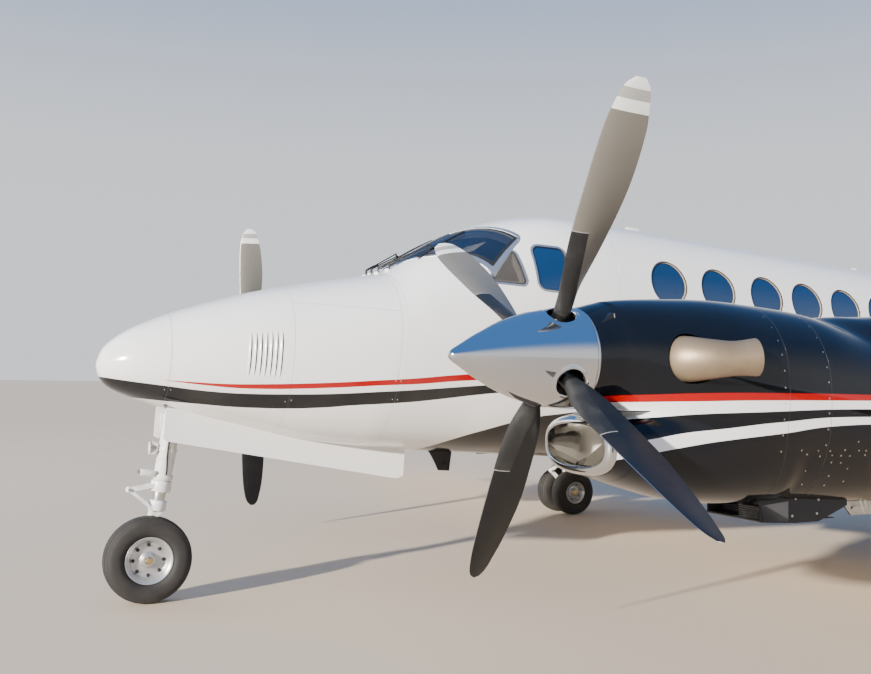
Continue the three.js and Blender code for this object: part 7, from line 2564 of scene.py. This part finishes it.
@dataclass
class Details:
    """Fasteners, louvres, wipers, antennas, beacon and lamps."""

    palette: Palette
    skin: Skin = field(default_factory=Skin)

    def build(self) -> None:
        """Makes every small fitting."""
        self._fasteners()
        self._louvres()
        self._wipers()
        self._antennas()
        self._lamps()

    def _fasteners(self) -> None:
        """Screws of the nose panels, windshield frames and cowls."""
        heads = Heads()
        nose: list[Spot] = []
        for x in (622, 586, -64, -100):
            nose += spread([self.skin.beside(x, z) for z in np.linspace(1060, 1960, 300)], 62)
        for x in (1346, 1310):
            nose += spread([self.skin.beside(x, z) for z in np.linspace(1300, 1700, 200)], 55)
        for z in (1915, 1045):
            nose += spread([self.skin.beside(x, z) for x in np.linspace(600, -50, 200)], 70)
        outline = rounded(WINDSHIELD[0], WINDSHIELD[1], 9, 14)
        dense = []
        for (x0, y0), (x1, y1) in zip(outline, outline[1:] + outline[:1]):
            dense += [self.skin.above(x0 + (x1 - x0) * t, y0 + (y1 - y0) * t)
                      for t in np.linspace(0, 1, 12, False)]
        rims = [(point + way * 1.6, way) for point, way in spread(dense, 42)]
        cowl: list[Spot] = []
        nacelle = Nacelle(self.palette, sides=360)
        for x, low in ((-1100, 1150), (-1385, 1180)):
            for place in (1, -1):
                line = [s for s in nacelle.spots(x) if s[0].z > low and (s[0].y - ENGINE_Y) * place > 0]
                cowl += spread(sorted(line, key=lambda s: s[0].z), 74)
        for x, z in COWL_SCREWS:
            cowl += [nacelle.spot_at(x, z, place) for place in (1, -1)]
        p = self.palette
        for side in Side:
            for name, spots, base, radius, finish in (
                ("nose_screws", nose, AIRFRAME, 0.0031, p.white_screw),
                ("frame_screws", rims, AIRFRAME, 0.0042, p.screw),
                ("cowl_screws", cowl, LEVEL, 0.0048, p.screw),
            ):
                placed = to_row(spots, side.matrix(base))
                heads.place(f"{name}_{side.word}", placed, radius, finish, Fitting(slot="steel"))

    def _louvres(self) -> None:
        """Seven upright louvres on each side of the nose, each with a near-black sheet behind its hood as
        painted shade in its opening.
        """
        parts: list[Shape] = []
        aft, front, foot = 688, 877, 1424
        for x in np.linspace(aft, front, 7):
            hood, slot = [], []
            for t in np.linspace(0, 1, 17):
                point, way = self.skin.beside(float(x), foot + (277 + (front - x) * 0.16) * t)
                ahead = Vector((1, 0, 0)) - way * way.x
                ahead.normalize()
                lift = min(1.0, 4.2 * t, 4.2 * (1 - t)) ** 0.5
                section = ((9, -1), (9, 0.3), (4, 3.4 * lift), (-3, 6.2 * lift), (-5.5, 6.0 * lift),
                           (-5.5, -1))
                hood.append([point + ahead * a + way * b for a, b in section])
                # The skin is not cut here: this near-black sheet is painted shade of the louvre's opening.
                shade_strip = ((-5.0, -1), (-5.0, 0.8), (-5.0 - 8 * lift, 0.8), (-5.0 - 8 * lift, -1))
                slot.append([point + ahead * a + way * b for a, b in shade_strip])
            parts += [loft(np.array([[v[:] for v in ring] for ring in hood])),
                      loft(np.array([[v[:] for v in ring] for ring in slot])).painted(1)]
        shape = joined(parts)
        for side in Side:
            finish_piece(f"nose_louvres_{side.word}", shape.placed(side.matrix(AIRFRAME)),
                         [self.palette.white, self.palette.dark], Fitting())

    def _wipers(self) -> None:
        """Twin-rod wiper arm and blade on each windshield pane."""
        foot, top, count = Vector((-317, 312)), Vector((-698, 266)), 14
        rows = [self.skin.above(*foot.lerp(top, k / (count - 1))) for k in range(count)]
        bump = turned([(0, 0), (0, 20), (10, 19), (17, 13), (20, 0)], 24).turned(-75, "Y")
        grip, out = self.skin.above(*foot.lerp(top, 0.3))
        for side in Side:
            parts = [along([(point + way * 17)[:] for point, way in rows], [(6, 5)] * count, 8, (0, 1, 0)),
                     along([(point + way * 7)[:] for point, way in rows], [(2.5, 7)] * count, 8, (0, 1, 0)),
                     rod(grip + out * 12, grip + out * 50, 7)]
            for x, y, gap in ((-90, 117, 12), (-150, 167, -12)):
                base, _ = self.skin.above(x, y)
                parts.append(bump.moved(base.x, base.y, base.z - 4).painted(1))
                start = base + Vector((-10, 0, 46))
                end = grip + out * 46 + Vector((gap - 14, -gap, gap * 0.5))
                parts += [rod(start, end, 4.5),
                          rod(start - Vector((0, 0, 38)), start + Vector((0, 0, 5)), 9),
                          rod(start, start.lerp(end, 0.24), 8)]
            finish_piece(f"wiper_{side.word}", joined(parts).placed(side.matrix(AIRFRAME)),
                         [self.palette.rubber, self.palette.white], Fitting(slot="trim"))

    def _antennas(self) -> None:
        """A low blade antenna on the crown, a black one under the belly, and the beacon."""
        crown = foil_blade((-2250, -2470), (-2345, -2470), 70).moved(z=self.skin.height(-2320, 0) - 3)
        belly = foil_blade((-640, -850), (-745, -840), 150)
        belly = belly.placed(Matrix.Scale(-1, 4, (0, 0, 1))).moved(z=989)
        shape = joined([crown, belly.painted(1)])
        finish_piece("blade_antennas", shape.placed(AIRFRAME), [self.palette.white, self.palette.black],
                     Fitting())
        base = self.skin.height(-5030, 0)
        lamp = turned([(0, 0), (0, 52), (10, 52), (12, 44), (34, 42), (52, 32), (62, 14), (64, 0)],
                      40).turned(-90, "Y")
        finish_piece("crown_beacon", lamp.moved(-5030, 0, base - 3).placed(AIRFRAME), [self.palette.white],
                     Fitting())

    def _lamps(self) -> None:
        """Wing-tip and tail lamps."""
        bulb = pillow((150, 26, 34)).moved(-3235, 8722, wing_row(WING_TIP_Y)[2] + 78)
        for side in Side:
            colour = self.palette.red_lens if side is Side.LEFT else self.palette.green_lens
            finish_piece(f"tip_lamp_{side.word}", bulb.placed(side.matrix(AIRFRAME)), [colour],
                         Fitting(slot="glass"))
        tail = turned([(-12286, 0), (-12286, 14), (-12292, 13), (-12296, 8), (-12298, 0)], 24)
        tail = tail.moved(0, 0, TAIL_Z)
        finish_piece("tail_lamp", tail.placed(AIRFRAME), [self.palette.lamp], Fitting(slot="glass"))


def foil_blade(root: tuple[float, float], tip: tuple[float, float], height: float) -> Shape:
    """Swept blade antenna on a small foot, standing on z 0."""
    rings = []
    for t in np.linspace(0, 1, 9):
        front = root[0] + (tip[0] - root[0]) * t**0.8
        back = root[1] + (tip[1] - root[1]) * t
        chord = front - back
        pull = 1 - 0.25 * max(0.0, t - 0.85) / 0.15
        along_chord = 0.5 * (1 - np.cos(np.linspace(0, math.pi, 11)))
        half = foil_half(along_chord, 0.11 if chord > 130 else 0.14) * pull
        xs = front - chord * along_chord
        ring = [(x, h * chord, height * t) for x, h in zip(xs, half)]
        ring += [(x, -h * chord, height * t) for x, h in reversed(list(zip(xs, half))[1:-1])]
        rings.append(ring)
    foot = slab((root[1] - 12, -24, 0), (root[0] + 12, 24, 7), 3)
    return joined([loft(np.array(rings)), foot])


# Camera, floor and light


@dataclass
class Studio:
    """Plain pale studio with a camera at the photograph's place; lengths in metres, angles in degrees."""

    position: tuple[float, float, float] = (2.453 + SHIFT, 6.425, 1.485)
    yaw: float = 26.12
    pitch: float = 2.42
    roll: float = 0.91
    film: float = 36.0
    photo_focal: float = 956.8
    photo_width: float = 871.0
    reach: float = 200.0
    floor_half: float = 160.0
    floor_colour: Colour = (0.66, 0.53, 0.385, 1)
    floor_stain: Colour = (0.58, 0.46, 0.33, 1)
    sun_power: float = 11.0
    sun_spread: float = 2.0
    sun_colour: tuple[float, float, float] = (1.0, 0.95, 0.87)
    sun_from: tuple[float, float, float] = (0.88, 0.41, 0.275)
    fill_power: float = 500.0
    fill_size: float = 9.0
    fill_colour: tuple[float, float, float] = (0.92, 0.96, 1.0)
    fill_place: tuple[float, float, float] = (SHIFT + 9, -9, 9)
    fill_aim: tuple[float, float, float] = (SHIFT - 3, 0, 1.5)
    sky_low: Colour = (0.86, 0.89, 0.93, 1)
    sky_high: Colour = (0.09, 0.26, 0.66, 1)
    sky_rise: tuple[float, float] = (0.16, 0.58)
    sky_power: float = 1.1

    def camera(self) -> None:
        """Places the camera."""
        yaw, pitch, roll = (math.radians(v) for v in (self.yaw, self.pitch, self.roll))
        ahead = Vector((-math.sin(yaw) * math.cos(pitch), -math.cos(yaw) * math.cos(pitch),
                        math.sin(pitch)))
        right = ahead.cross(Vector((0, 0, 1))).normalized()
        over = right.cross(ahead)
        across = right * math.cos(roll) + over * math.sin(roll)
        rise = over * math.cos(roll) - right * math.sin(roll)
        data = bpy.data.cameras.new("camera")
        data.lens = self.photo_focal / self.photo_width * self.film
        data.sensor_width = self.film
        data.clip_end = self.reach
        camera = bpy.data.objects.new("camera", data)
        aimed = Matrix((across, rise, -ahead)).transposed().to_4x4()
        camera.matrix_world = Matrix.Translation(self.position) @ aimed
        bpy.context.scene.collection.objects.link(camera)
        bpy.context.scene.camera = camera

    def floor(self, effects: Effects) -> None:
        """Pale floor under everything."""
        finish = Finish("studio_floor", self.floor_colour, gloss=0.75, amount=0.1, scale=0.4,
                        dirt=self.floor_stain, grain=30.0, bump=0.02)
        points = self.floor_half * np.array([(-1, -1, 0), (1, -1, 0), (1, 1, 0), (-1, 1, 0)], float)
        plane = linked("studio_floor", mesh_of(Shape(points, [(0, 1, 2, 3)]), [finish.build(effects)]))

    def lights(self) -> None:
        """Soft low sun from ahead on the left, a wide fill and a pale sky."""
        sun = self._lamp("sun", "SUN", self.sun_power, self.sun_colour)
        sun.data.angle = math.radians(self.sun_spread)
        sun.rotation_euler = Vector(self.sun_from).to_track_quat("Z", "Y").to_euler()
        fill = self._lamp("fill", "AREA", self.fill_power, self.fill_colour)
        fill.data.size = self.fill_size
        fill.location = self.fill_place
        fill.rotation_euler = (fill.location - Vector(self.fill_aim)).to_track_quat("Z", "Y").to_euler()
        self._sky()

    def _lamp(self, name: str, kind: str, power: float,
              colour: tuple[float, float, float]) -> bpy.types.Object:
        """Light in the scene."""
        data = bpy.data.lights.new(name, kind)
        data.energy = power
        data.color = colour
        lamp = bpy.data.objects.new(name, data)
        bpy.context.scene.collection.objects.link(lamp)
        return lamp

    def _sky(self) -> None:
        """Pale world, bluer overhead."""
        world = bpy.data.worlds.new("studio")
        world.use_nodes = True
        bpy.context.scene.world = world
        g = Graph(world.node_tree)
        back = world.node_tree.nodes["Background"]
        source = g.add("ShaderNodeTexCoord")
        height = g.split(source.outputs["Generated"])[2]
        rise = g.remap(height, *self.sky_rise, smooth=True)
        g.feed(back.inputs["Color"], g.blend(rise, self.sky_low, self.sky_high))
        back.inputs["Strength"].default_value = self.sky_power


def main() -> None:
    """Builds the plane over its frame."""
    logging.basicConfig(level=logging.INFO, format="%(message)s")
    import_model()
    studio = Studio()
    studio.camera()
    palette = Palette()
    parts = (Fuselage(palette), Glazing(palette), Airstair(palette), CabinFit(palette), Wing(palette),
             Tail(palette), Nacelle(palette), Propeller(palette, Side.LEFT), Propeller(palette, Side.RIGHT),
             NoseGear(palette), MainGear(palette), Details(palette))
    for part in parts:
        LOG.info("%s", type(part).__name__)
        part.build()
    studio.floor(palette.effects)
    studio.lights()


if __name__ == "__main__":
    main()
